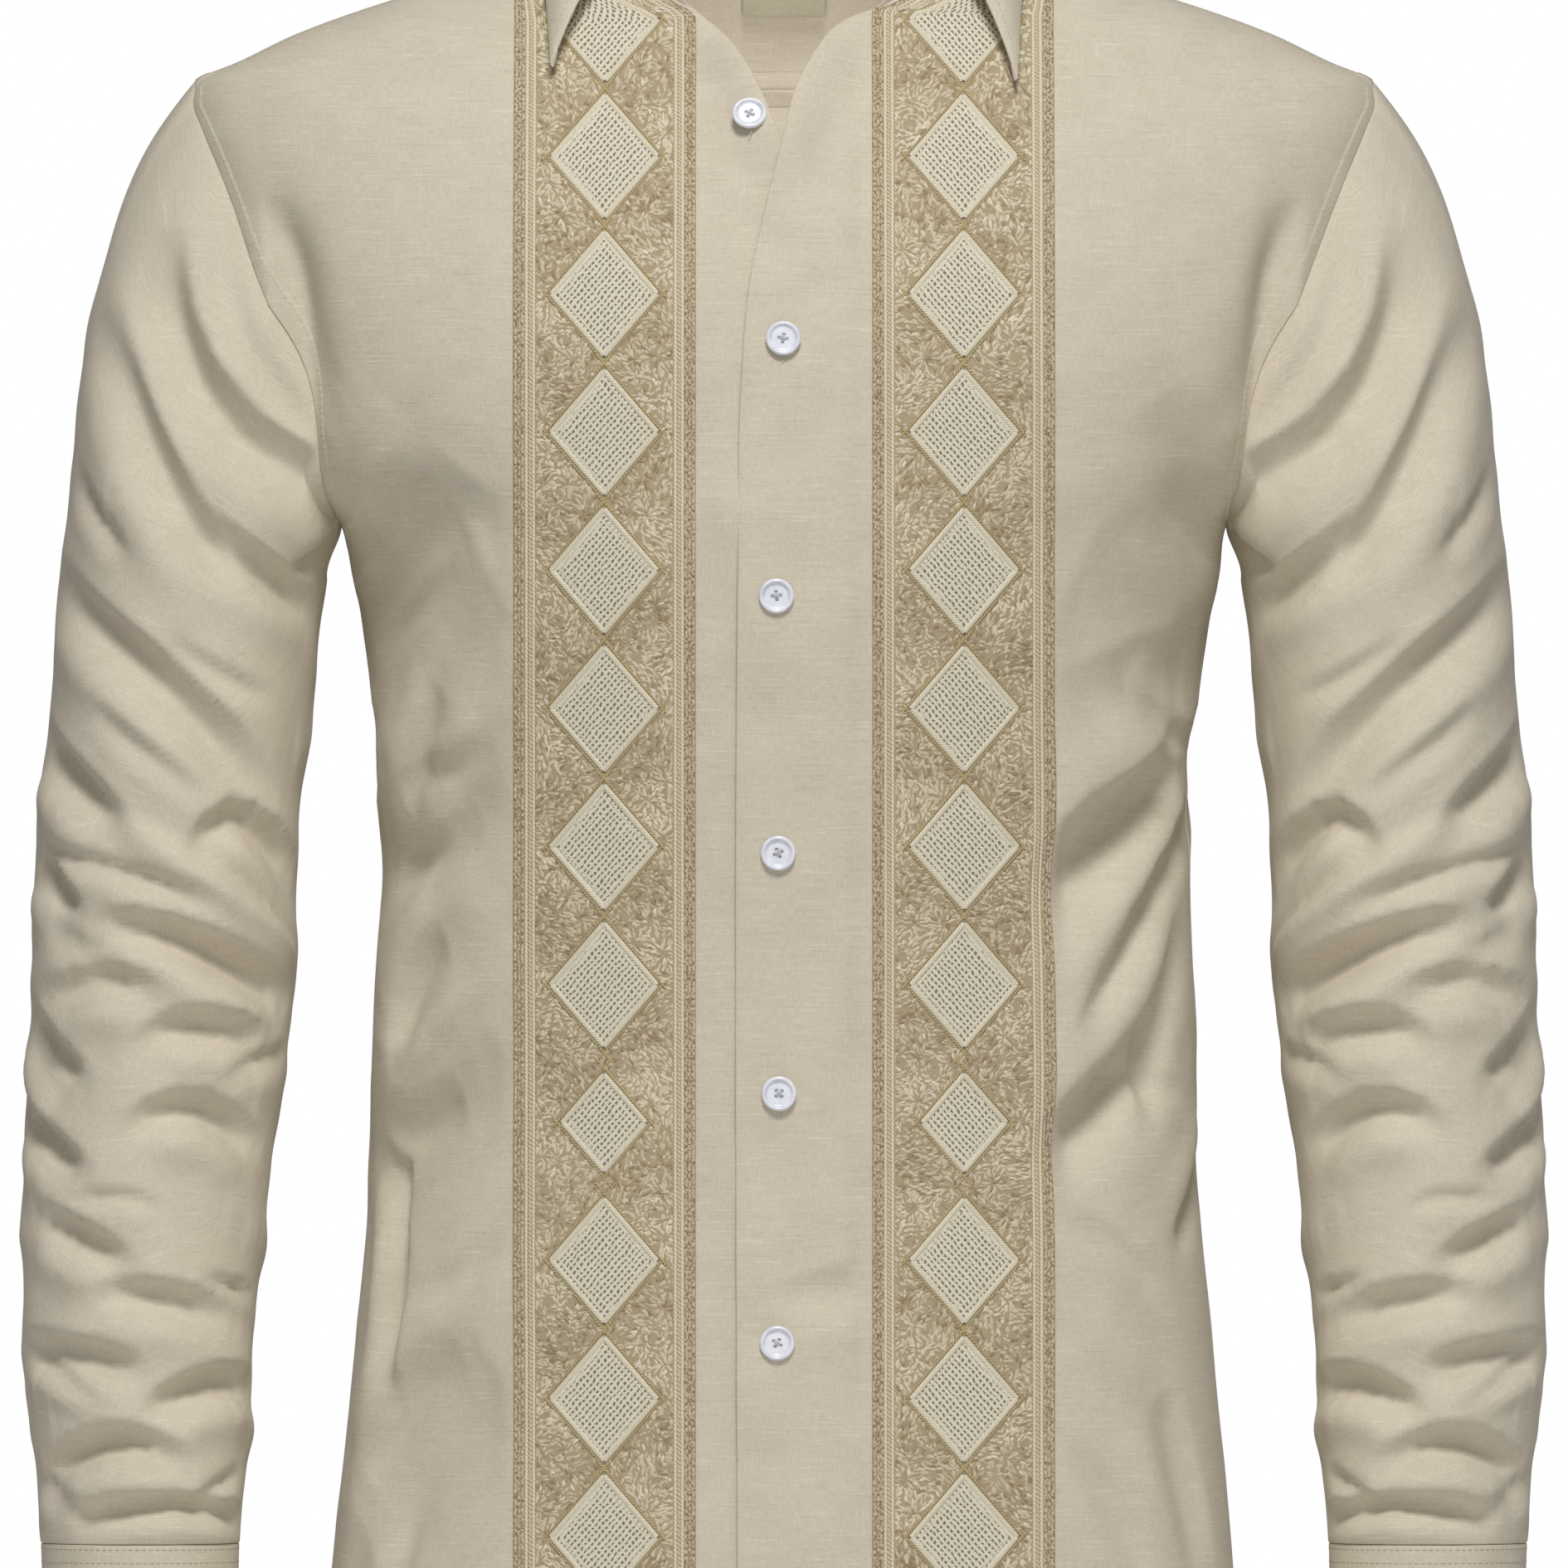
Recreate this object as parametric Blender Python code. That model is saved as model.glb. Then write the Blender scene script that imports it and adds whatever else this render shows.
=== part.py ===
"""A man's long-sleeved barong shirt, filled out as worn and empty inside, with an open collar.

Its two fronts lap left over right and each carries an embroidered band of lozenges. Every cut
piece is a thin wall of its own: a net of points on one body form or sleeve form, given a
thickness along the form's own normals, so that pieces meet at their seams with a small gap.

Sizes in the tables are in millimetres. +Z is up, the front faces -Y and the wearer's left is +X.
The origin is on the shirt's middle plane, level with the top of the shoulders at the neck.
"""

import math
from collections import namedtuple

import bmesh
import bpy
import numpy as np

MM = 0.001
CLOTH = 1.2  # wall of one layer of cloth
SEAM_GAP = 0.3  # between two pieces at a seam, and between a piece and what it lies on
SEAM_INSET = 0.23  # how far each panel stops short of its seam line
BAND_CLOTH = 1.0  # wall of an embroidered band
LOZENGE_RISE = 0.7  # the lozenges' middles over the band's ground
LABEL_CLOTH = 0.8

HEM_Z = -745.0
ARMPIT_Z = -240.0
SHOULDER_TIP_Z = -62.0
SHOULDER_SEAM_Z = -65.5  # where the front shoulder seam meets the armhole
NECK_SEAM_TOP_Z = -8.3  # where the front shoulder seam meets the neckline
FRONT_TOP_Z = -9.8  # a front's top row, just short of that corner
NECK_CORNER_Z = -36.5  # where a front's opening edge meets the neckline
YOKE_SEAM_Z = -63.0  # the yoke's back seam at the centre
YOKE_SEAM_DROP = 42.0  # how far that seam has come down at the armhole
YOKE_END_Z = YOKE_SEAM_Z - YOKE_SEAM_DROP
YOKE_ARMHOLE_Z = (-84.0, -69.0)  # the yoke's armhole edge has two more points here, behind

SIDE_SEAM = math.radians(90)
SHOULDER_SEAM_DEGREES = (72.0, 79.0)  # the front shoulder seam's angle at the neck and at the armhole
ROUNDNESS = 2 / 2.3  # power of a section's sine and cosine: 1 is an ellipse, less is squarer
BODY_RADIUS = 145.0  # millimetres round the body for each radian of a section's angle
SLEEVE_RADIUS = 54.0  # the same round a sleeve

BAND_INNER_X = 35.0
BAND_OUTER_X = 108.0
LOZENGE_X = 71.5  # middle of the lozenges
LOZENGE_HALF_WIDTH = 22.5
LOZENGE_PITCH = 55.0
FIRST_LOZENGE_Z = -41.0
BAND_SIDE_SHARE = 0.85  # of a narrow shoulder's width, where the band stops short of its end
BAND_EDGE_CLEAR = 3.0  # the band's distance from the opening edge where that cuts into it,
BAND_NARROW = 20.0  # and that distance shrinks where less than this width is left
LAP_LIFT = 2.2  # the left front stands off the right one where they lap
LAP_INNER_X = 22.0
LAP_OUTER_X = 33.0
LAP_END_Z = (-44.0, -34.0)
EDGE_ROLL = 7.0  # how far the open edges roll outwards above the first fastened button
EDGE_ROLL_WIDTH = 24.0
ROLL_START_Z = (-118.0, -85.0)  # the roll comes in between these heights
ROLL_END_Z = (-68.0, -12.0)  # and goes out between these

# Rows and columns of the panels' nets. The rows follow the lozenges' tips and middles.
WAIST_Z = (-500.0, -310.0)  # rows are twice as close between these heights
ARMHOLE_ROWS_Z = tuple(FIRST_LOZENGE_Z - LOZENGE_PITCH / 2 * number for number in range(7, 1, -1))
SEAM_ROWS_Z = (-54.0, -44.0, -36.5, -28.0, -19.0, -12.5)  # the front shoulder seam's own rows
BACK_CENTRE_ROWS_Z = (-172.0, -140.0, -104.0)  # the back's centre, beside the armhole's rows
PLACKET_SHARES = (0.0, 0.33, 0.67)  # a front's columns between its opening edge and its band
BAND_FIRST_COLUMN = 3
BAND_LAST_COLUMN = 7
FRONT_SIDE_CELLS = 6
YOKE_BACK_COLUMNS = 7  # from the centre back to the armhole
YOKE_NECK_DEGREES = (180, 166, 152, 138, 126, 115, 106, 98, 94, 90, 83, 72)

BUTTON_SIDES = 12
BUTTON_SEAT = 0.4  # a button stands this much further off, over the curve of what it is sewn to

# Horizontal sections of the body form, from the hem up: half width at the side, the middle's Y,
# and the depth before and behind it. Above the armpit the sides run out to the shoulder.
BodySection = namedtuple("BodySection", "z half_width middle_y front back")
BODY = (
    BodySection(-760, 184.5, 2, 112, 124),
    BodySection(-745, 184.0, 2, 112, 124),
    BodySection(-660, 180.5, 2, 113, 124),
    BodySection(-564, 171.5, 3, 112, 120),
    BodySection(-507, 166.5, 4, 111, 116),
    BodySection(-427, 164.5, 5, 112, 113),
    BodySection(-380, 162.0, 5, 114, 114),
    BodySection(-315, 166.5, 6, 119, 120),
    BodySection(-261, 174.3, 6, 122, 127),
    BodySection(-240, 176.8, 6, 122, 129),
    BodySection(-216, 195.0, 7, 121, 130),
    BodySection(-178, 213.0, 7, 118, 129),
    BodySection(-137, 226.5, 8, 110, 126),
    BodySection(-100, 237.5, 10, 97, 121),
    BodySection(-78, 240.8, 11, 87, 115),
    BodySection(-65.5, 238.6, 12, 80, 110),
    BodySection(-62, 236.5, 12, 78, 108),
    BodySection(-54.7, 219.7, 12, 74, 105),
    BodySection(-43.3, 196.0, 13, 67, 98),
    BodySection(-30, 158.7, 13, 57, 90),
    BodySection(-17, 113.0, 14, 47, 80),
    BodySection(-6, 80.0, 14, 37, 66),
    BodySection(4, 52.0, 14, 28, 54),
)

SHOULDER_CALM_Z = (-60.0, -110.0)  # folds fade out between these heights, going up

# The armhole seam: its distance from the middle plane, before and behind, at each height.
ArmholePoint = namedtuple("ArmholePoint", "z front_x back_x")
ARMHOLE = (
    ArmholePoint(-240, 176.8, 176.8),
    ArmholePoint(-233.5, 178.5, 180.0),
    ArmholePoint(-216, 184.0, 188.0),
    ArmholePoint(-178.7, 196.0, 201.0),
    ArmholePoint(-137, 211.0, 215.0),
    ArmholePoint(-100, 225.7, 227.0),
    ArmholePoint(-80, 234.0, 235.0),
    ArmholePoint(-71.7, 237.0, 237.5),
    ArmholePoint(-65.5, 236.3, 238.0),
    ArmholePoint(-62, 236.5, 236.5),
)

# The neckline in a section's angle: 0 is the centre front, 180 the centre back.
NeckPoint = namedtuple("NeckPoint", "degrees z")
NECKLINE = (
    NeckPoint(9, -36.5),
    NeckPoint(16, -28),
    NeckPoint(30, -18),
    NeckPoint(50, -11),
    NeckPoint(72, -8.3),
    NeckPoint(90, -6.5),
    NeckPoint(110, -7),
    NeckPoint(135, -9.5),
    NeckPoint(160, -14),
    NeckPoint(180, -16),
)

# Opening edges of the fronts. The left front laps over, and its edge crosses the middle plane.
EdgePoint = namedtuple("EdgePoint", "z x")
OVER_EDGE = (
    EdgePoint(-760, -18.3),
    EdgePoint(-260, -18.3),
    EdgePoint(-190, -17.3),
    EdgePoint(-143, -13.3),
    EdgePoint(-113, -6.7),
    EdgePoint(-91.7, -0.7),
    EdgePoint(-70, 5.0),
    EdgePoint(-53.3, 13.3),
    EdgePoint(-43, 22.0),
    EdgePoint(-36.5, 33.0),
)
UNDER_EDGE = (
    EdgePoint(-760, 16.5),
    EdgePoint(-220, 16.5),
    EdgePoint(-150, 14.0),
    EdgePoint(-113, 6.0),
    EdgePoint(-91.7, -0.7),
    EdgePoint(-73.3, -8.3),
    EdgePoint(-50, -21.7),
    EdgePoint(-36.5, -36.0),
)

# The sleeve's level sections, from under the armhole down to the cuff, and then the cuff's own.
SleeveSection = namedtuple("SleeveSection", "z middle_x middle_y half_width half_depth")
SLEEVE = (
    SleeveSection(-714, 257.0, -19, 37.5, 37),
    SleeveSection(-649, 258.3, -18, 39.8, 39),
    SleeveSection(-617, 258.0, -16, 42.0, 42),
    SleeveSection(-572, 258.8, -12, 45.3, 45.5),
    SleeveSection(-530, 257.5, -8, 48.0, 49),
    SleeveSection(-480, 254.0, -3, 50.0, 53),
    SleeveSection(-430, 250.0, 2, 52.0, 56),
    SleeveSection(-368, 248.0, 5.3, 52.0, 57),
    SleeveSection(-310, 242.0, 7.2, 52.5, 59),
    SleeveSection(-263, 237.5, 8.3, 53.0, 61),
    SleeveSection(-178, 223.0, 8, 53.0, 62),
    SleeveSection(-100, 203.0, 8, 53.0, 60),
    SleeveSection(-62, 190.0, 8, 53.0, 58),
)
CAP_BOTTOM_Z = -263.0
CUFF_TOP_Z = -649.3
CUFF_BOTTOM_Z = -714.0
CUFF_LAP = 1.9  # how far the cuff's outer end stands off the end under it
SLEEVE_COLUMNS = 24
CAP_ROWS = 6
SLEEVE_ROWS = 18
LEAVE_OUT_TOP = 0.62  # how the sleeve's cloth leaves the armhole: outwards, most at the shoulder
LEAVE_OUT = 0.03
LEAVE_DOWN_TOP = 0.75  # downwards at the shoulder, and straight down under the arm
LEAVE_FORWARD = 0.35  # to the front and the back beside it
ARRIVE_OUT = 0.1  # how far it still spreads at the cap's bottom
CUFF_COLUMNS = 25
CUFF_BUTTON_DEGREES = 292.0
CUFF_START_DEGREES = CUFF_BUTTON_DEGREES - 18  # where the cuff's inner end lies
CUFF_TURN_DEGREES = 360 + 34  # once round and over its own end
CUFF_LAP_DEGREES = (300, 350)  # from its start, where its outer end comes off the sleeve's line

# Folds, as soft troughs along a bent path of three points. "x" is the distance from the middle
# plane on that side, "ridge" the rise beside the trough as a share of its depth, and a trough
# with a depth below zero is a raised ridge.
Fold = namedtuple("Fold", "x0 z0 x1 z1 x2 z2 half_width depth ridge")
FRONT_FOLDS_RIGHT = (
    Fold(203, -118, 197, -165, 183, -217, 9, 4.5, 0.2),
    Fold(128, -220, 152, -247, 173, -270, 20, 6, 0.3),
    Fold(142, -307, 148, -330, 155, -353, 11, 4, 0.4),
    Fold(125, -357, 142, -373, 160, -380, 11, 4, 0.4),
    Fold(136, -407, 150, -430, 152, -452, 12, 5, 0.3),
    Fold(133, -469, 148, -481, 160, -487, 13, 4, 0.3),
    Fold(163, -496, 155, -525, 160, -590, 9, 6, 0.3),
    Fold(130, -571, 151, -590, 168, -623, 12, 5, 0.3),
)
FRONT_FOLDS_LEFT = (
    Fold(203, -118, 197, -165, 183, -217, 9, 4.5, 0.2),
    Fold(150, -190, 163, -225, 172, -265, 16, 4, 0.3),
    Fold(162, -338, 128, -367, 85, -413, 18, 9, 0.25),
    Fold(163, -358, 147, -392, 118, -450, 9, 6, 0.5),
    Fold(158, -410, 143, -453, 95, -500, 13, 7, 0.4),
    Fold(153, -433, 151, -455, 148, -480, 8, 3, 0.3),
    Fold(166, -492, 164, -510, 158, -530, 9, 4, 0.3),
    Fold(-2, -553, 16, -549, 36, -541, 9, 2.5, 0.2),
    Fold(150, -590, 160, -620, 168, -660, 13, 4, 0.3),
)
BACK_FOLDS = (
    Fold(200, -140, 192, -180, 184, -225, 10, 5, 0.3),
    Fold(120, -205, 148, -240, 170, -275, 17, 5, 0.3),
    Fold(165, -330, 130, -360, 80, -392, 16, 7, 0.3),
    Fold(160, -375, 138, -410, 100, -455, 12, 6, 0.4),
    Fold(20, -352, 55, -368, 92, -372, 14, 5, 0.3),
    Fold(160, -440, 140, -475, 105, -515, 13, 5, 0.3),
    Fold(30, -430, 42, -490, 46, -560, 14, 4, 0.3),
    Fold(120, -560, 140, -600, 150, -660, 13, 4, 0.3),
)
SLEEVE_FRONT_FOLDS = (
    Fold(251, -131, 226, -194, 183, -236, 10, 6.0, 0.4),
    Fold(267, -164, 251, -216, 219, -273, 9, 4.5, 0.4),
    Fold(233, -240, 212, -257, 190, -276, 8, 4.5, 0.4),
    Fold(288, -265, 251, -302, 210, -350, 10, 6.0, 0.4),
    Fold(295, -328, 281, -347, 268, -363, 9, 5.0, 0.4),
    Fold(234, -372, 218, -358, 200, -379, 8, 5.0, 0.3),
    Fold(262, -363, 223, -390, 199, -416, 7, -4.0, 0.0),
    Fold(272, -403, 241, -407, 202, -431, 9, 7.0, 0.4),
    Fold(300, -374, 292, -386, 284, -397, 8, 4.0, 0.4),
    Fold(293, -430, 272, -423, 249, -429, 8, 4.5, 0.4),
    Fold(257, -452, 238, -441, 210, -448, 8, 4.5, 0.4),
    Fold(301, -440, 293, -452, 283, -465, 9, 4.5, 0.4),
    Fold(262, -485, 238, -474, 213, -491, 8, 5.0, 0.4),
    Fold(303, -476, 293, -490, 281, -500, 8, 4.5, 0.4),
    Fold(297, -518, 280, -527, 263, -538, 8, 4.5, 0.4),
    Fold(278, -551, 250, -550, 222, -560, 8, 4.5, 0.4),
    Fold(302, -571, 276, -574, 258, -582, 8, 4.5, 0.4),
    Fold(255, -598, 232, -585, 216, -587, 8, 5.0, 0.4),
    Fold(294, -621, 268, -608, 241, -617, 8, 6.0, 0.5),
    Fold(281, -641, 251, -633, 219, -640, 6, 5.0, 0.5),
)
SLEEVE_BACK_FOLDS = (
    Fold(255, -131, 230, -186, 188, -234, 13, 4.5, 0.3),
    Fold(280, -205, 262, -250, 225, -290, 10, 5.0, 0.4),
    Fold(286, -300, 255, -322, 205, -338, 10, 6.0, 0.4),
    Fold(205, -365, 240, -372, 290, -352, 10, 6.5, 0.4),
    Fold(203, -398, 246, -410, 292, -398, 9, 6.0, 0.4),
    Fold(210, -440, 250, -436, 288, -446, 9, 5.0, 0.4),
    Fold(298, -478, 262, -486, 222, -476, 9, 5.0, 0.4),
    Fold(215, -520, 248, -528, 286, -516, 9, 5.0, 0.4),
    Fold(295, -556, 262, -566, 228, -560, 8, 5.0, 0.4),
    Fold(222, -596, 252, -604, 286, -594, 8, 5.0, 0.5),
    Fold(290, -628, 260, -634, 226, -626, 7, 5.0, 0.5),
)

# The collar stand leans with the neckline: how far its top edge lies out, back and up from it.
StandLean = namedtuple("StandLean", "degrees out back up")
STAND_LEAN = (
    StandLean(9, 24, 10, 23),
    StandLean(16, 17, 8, 28),
    StandLean(30, 8, 5, 32),
    StandLean(50, 1, 2, 34),
    StandLean(90, -4, 0, 35),
    StandLean(135, -3, -3, 35),
    StandLean(180, 0, -6, 34),
)
NECK_MIDDLE = np.array([0.0, 20.0, 0.0])  # inside the neck, for telling out from in
STAND_ROWS = (0.0, 0.33, 0.67, 1.0)  # shares of its height
STAND_BOW = 0.9  # the stand's middle rows lie this much further out
STAND_COLUMNS = 26
STAND_SEAT = 0.95  # the stand's foot lies this far inside and above the neckline

# The collar leaf's free edge lies on the shirt: its place on the body form, and how far off it.
LeafEdge = namedtuple("LeafEdge", "degrees x z off")
LEAF_START_DEGREES = 12.0
LEAF_EDGE = (
    LeafEdge(12, 92.5, -61.5, 9.0),
    LeafEdge(20, 93.8, -46.0, 6.0),
    LeafEdge(32, 95.0, -32.0, 4.6),
    LeafEdge(50, 98.0, -22.0, 4.2),
)
LEFT_POINT_DROP = 5.5  # the left collar point hangs this much lower than the right one
LEFT_DROP_DEGREES = (LEAF_START_DEGREES, 32.0)  # easing out between these
LeafBackEdge = namedtuple("LeafBackEdge", "degrees z off")
LEAF_BACK_EDGE = (
    LeafBackEdge(90, -13.0, 4.0),
    LeafBackEdge(110, -16.0, 4.0),
    LeafBackEdge(135, -21.0, 4.0),
    LeafBackEdge(160, -25.0, 4.0),
    LeafBackEdge(180, -27.0, 4.0),
)
# The leaf rolls over the stand: out from the stand's inner face, and up from its top.
RollPoint = namedtuple("RollPoint", "out up")
LEAF_ROLL = (RollPoint(0, 0.9), RollPoint(0.1, 2.9), RollPoint(1.9, 4.6), RollPoint(4.3, 3.4))
LEAF_FALL_ROWS = 4
LEAF_BULGE = 4.0
LEAF_COLUMNS = 24

# Front buttons from the top down. The first is on the right front alone, and open.
ButtonPlace = namedtuple("ButtonPlace", "x z on_over_front")
FRONT_BUTTONS = (
    ButtonPlace(-13.7, -80.7, False),
    ButtonPlace(-0.3, -168.3, True),
    ButtonPlace(-3.0, -270.0, True),
    ButtonPlace(-2.3, -372.3, True),
    ButtonPlace(-2.0, -468.3, True),
    ButtonPlace(-2.7, -567.7, True),
    ButtonPlace(-2.7, -667.0, True),
)
STAND_BUTTON_DEGREES = -14.5
LABEL_HALF_WIDTH = 17.0
LABEL_TOP_Z = -18.5
LABEL_BOTTOM_Z = -33.0
LABEL_OFF = 0.9  # the label lies this far inside the yoke's inner face

# Half profile of a button with a raised rim and a hollow face, from its axis out and round.
ButtonPoint = namedtuple("ButtonPoint", "radius height")
BUTTON_PROFILE = (
    ButtonPoint(4.6, 1.3),
    ButtonPoint(5.2, 2.5),
    ButtonPoint(6.2, 2.6),
    ButtonPoint(7.0, 1.7),
    ButtonPoint(6.6, 0.6),
    ButtonPoint(5.0, 0.0),
)

CLOTH_COLOUR = (0.62, 0.55, 0.43, 1.0)
BAND_COLOUR = (0.55, 0.46, 0.29, 1.0)
BUTTON_COLOUR = (0.78, 0.79, 0.86, 1.0)
LABEL_COLOUR = (0.60, 0.55, 0.44, 1.0)
CLOTH_ROUGHNESS = 0.85
BUTTON_ROUGHNESS = 0.25


# ---- forms -------------------------------------------------------------------------------------


def smooth(x, xs, ys):
    """A smooth curve through the points (xs, ys), with xs rising, level beyond its ends."""
    xs = np.asarray(xs, float)
    ys = np.asarray(ys, float)
    step = np.diff(xs)
    rise = np.diff(ys) / step
    inner = (rise[:-1] * step[1:] + rise[1:] * step[:-1]) / (step[1:] + step[:-1])
    slope = np.concatenate([rise[:1], inner, rise[-1:]])
    k = np.clip(np.searchsorted(xs, x, side="right") - 1, 0, len(step) - 1)
    t = np.clip((x - xs[k]) / step[k], 0, 1)
    start = (1 + 2 * t) * (1 - t) ** 2 * ys[k] + t * (1 - t) ** 2 * step[k] * slope[k]
    end = t * t * (3 - 2 * t) * ys[k + 1] + t * t * (t - 1) * step[k] * slope[k + 1]
    return start + end


def column(table, name):
    """One named column of a table."""
    return np.array([getattr(row, name) for row in table], float)


def from_table(x, table, key, value):
    """The value column of a table, read smoothly at x along its key column."""
    return smooth(np.asarray(x, float), column(table, key), column(table, value))


def ramp(x, start, end):
    """0 at start, 1 at end, easing in and out between them."""
    t = np.clip((np.asarray(x, float) - start) / (end - start), 0, 1)
    return t * t * (3 - 2 * t)


def bent_power(x):
    """The section's rounded sine or cosine."""
    return np.sign(x) * np.abs(x) ** ROUNDNESS


def body_base(angle, z):
    """Point of the plain body form: angle 0 is the centre front, and grows to the wearer's left."""
    front = np.cos(angle) > 0
    depth = np.where(front, from_table(z, BODY, "z", "front"), from_table(z, BODY, "z", "back"))
    x = from_table(z, BODY, "z", "half_width") * bent_power(np.sin(angle))
    y = from_table(z, BODY, "z", "middle_y") - depth * bent_power(np.cos(angle))
    return np.stack([x, y, z + 0 * x], axis=-1)


def unit(vector):
    """Vectors scaled to length 1."""
    return vector / np.linalg.norm(vector, axis=-1, keepdims=True)


def body_normal(angle, z):
    """The plain body form's outward normal."""
    turn = 0.015
    rise = 1.5
    around = body_base(angle + turn, z) - body_base(angle - turn, z)
    up = body_base(angle, z + rise) - body_base(angle, z - rise)
    return unit(np.cross(around, up))


def angle_at(x, z, back=False):
    """The section angle of the point at this x and height, on the front or on the back."""
    share = np.clip(np.abs(x) / from_table(z, BODY, "z", "half_width"), 0, 1)
    angle = np.arcsin(share ** (1 / ROUNDNESS))
    angle = np.pi - angle if back else angle
    return np.where(np.asarray(x) < 0, -angle, angle)


def trough(across, along, path, half_width, depth, ridge):
    """Depth of one fold at points (across, along), with its path's three points in the same plane."""
    result = np.zeros(np.broadcast(across, along).shape)
    nearest = np.full(result.shape, 1e9)
    lengths = [math.dist(path[0], path[1]), math.dist(path[1], path[2])]
    total = sum(lengths)
    for number in (0, 1):
        (x0, z0), (x1, z1) = path[number], path[number + 1]
        dx, dz = (x1 - x0) / lengths[number], (z1 - z0) / lengths[number]
        run = np.clip((across - x0) * dx + (along - z0) * dz, 0, lengths[number])
        off_x = across - x0 - run * dx
        off_z = along - z0 - run * dz
        distance = np.hypot(off_x, off_z)
        side = np.where(off_x * dz - off_z * dx > 0, 1.0, -1.0) * distance
        share = (run + sum(lengths[:number])) / total
        taper = np.clip(1 - np.abs(2 * share - 1) ** 2.5, 0, 1) * 0.8 + 0.2
        shape = -np.exp(-((distance / half_width) ** 2))
        shape = shape + ridge * np.exp(-((side / half_width - 1.9) ** 2))
        closer = distance < nearest
        result = np.where(closer, depth * taper * shape, result)
        nearest = np.minimum(nearest, distance)
    return result


def body_fold(angle, z):
    """How far the folds move the body's cloth out at a place on the form."""
    across = angle * BODY_RADIUS
    total = np.zeros(np.broadcast(angle, z).shape)
    for folds, side, back in (
        (FRONT_FOLDS_RIGHT, -1, False),
        (FRONT_FOLDS_LEFT, 1, False),
        (BACK_FOLDS, -1, True),
        (BACK_FOLDS, 1, True),
    ):
        for fold in folds:
            points = ((fold.x0, fold.z0), (fold.x1, fold.z1), (fold.x2, fold.z2))
            path = [(float(angle_at(side * px, pz, back)) * BODY_RADIUS, pz) for px, pz in points]
            total += trough(across, z, path, fold.half_width, fold.depth, fold.ridge)
    return total * ramp(z, *SHOULDER_CALM_Z)


def body_point(angle, z, lift=0.0):
    """Point of the body's cloth, its outer face when lift is 0."""
    return body_base(angle, z) + body_normal(angle, z) * (body_fold(angle, z) + lift)[..., None]


# ---- walls -------------------------------------------------------------------------------------


def mesh_object(name, points, faces, colour, roughness):
    """A closed mesh object with its own material, from points in millimetres."""
    mesh = bpy.data.meshes.new(name)
    mesh.from_pydata([tuple(p) for p in np.asarray(points) * MM], [], faces)
    shaped = bmesh.new()
    shaped.from_mesh(mesh)
    bmesh.ops.recalc_face_normals(shaped, faces=shaped.faces)
    bmesh.ops.triangulate(shaped, faces=shaped.faces)
    if shaped.calc_volume(signed=True) < 0:
        bmesh.ops.reverse_faces(shaped, faces=shaped.faces)
    shaped.to_mesh(mesh)
    shaped.free()
    mesh.shade_smooth()
    mesh.set_sharp_from_angle(angle=math.radians(50))
    obj = bpy.data.objects.new(name, mesh)
    bpy.context.scene.collection.objects.link(obj)
    material = bpy.data.materials.new(name)
    material.use_nodes = True
    shader = material.node_tree.nodes["Principled BSDF"]
    shader.inputs["Base Color"].default_value = colour
    shader.inputs["Roughness"].default_value = roughness
    mesh.materials.append(material)
    return obj


def drawn_in(grid):
    """The net with its boundary points drawn in from the seam line."""
    grid = grid.copy()
    first = unit(grid[:, 1] - grid[:, 0])
    last = unit(grid[:, -2] - grid[:, -1])
    grid[:, 0] += SEAM_INSET * first
    grid[:, -1] += SEAM_INSET * last
    bottom = unit(grid[1] - grid[0])
    top = unit(grid[-2] - grid[-1])
    grid[0] += SEAM_INSET * bottom
    grid[-1] += SEAM_INSET * top
    return grid


def cloth_wall(name, outer, inner, colour, wraps=False):
    """A closed wall between two nets of the same size, as one object."""
    rows, columns = outer.shape[:2]
    points = np.concatenate([outer.reshape(-1, 3), inner.reshape(-1, 3)])
    shift = rows * columns

    def at(row, place):
        return row * columns + place % columns

    faces = []
    last_column = columns if wraps else columns - 1
    for row in range(rows - 1):
        for place in range(last_column):
            a, b = at(row, place), at(row, place + 1)
            c, d = at(row + 1, place + 1), at(row + 1, place)
            faces.append((a, b, c, d))
            faces.append((d + shift, c + shift, b + shift, a + shift))
    for place in range(last_column):
        for row, flip in ((0, True), (rows - 1, False)):
            a, b = at(row, place), at(row, place + 1)
            quad = (a, a + shift, b + shift, b)
            faces.append(quad if flip else quad[::-1])
    if not wraps:
        for row in range(rows - 1):
            for place, flip in ((0, False), (columns - 1, True)):
                a, b = at(row, place), at(row + 1, place)
                quad = (a, a + shift, b + shift, b)
                faces.append(quad if flip else quad[::-1])
    return mesh_object(name, points, faces, colour, CLOTH_ROUGHNESS)


def net_normals(grid, wraps=False):
    """Normals of a net of points, by the differences between neighbours."""
    if wraps:
        around = np.roll(grid, -1, axis=1) - np.roll(grid, 1, axis=1)
    else:
        around = np.gradient(grid, axis=1)
    return unit(np.cross(around, np.gradient(grid, axis=0)))


# ---- armhole -----------------------------------------------------------------------------------


def armhole_x(z, back):
    """Distance of the armhole seam from the middle plane at a height."""
    return from_table(z, ARMHOLE, "z", "back_x" if back else "front_x")


def armhole_angle(z, back):
    """Section angle of the armhole seam on the wearer's left."""
    return angle_at(armhole_x(z, back), z, back)


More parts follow.
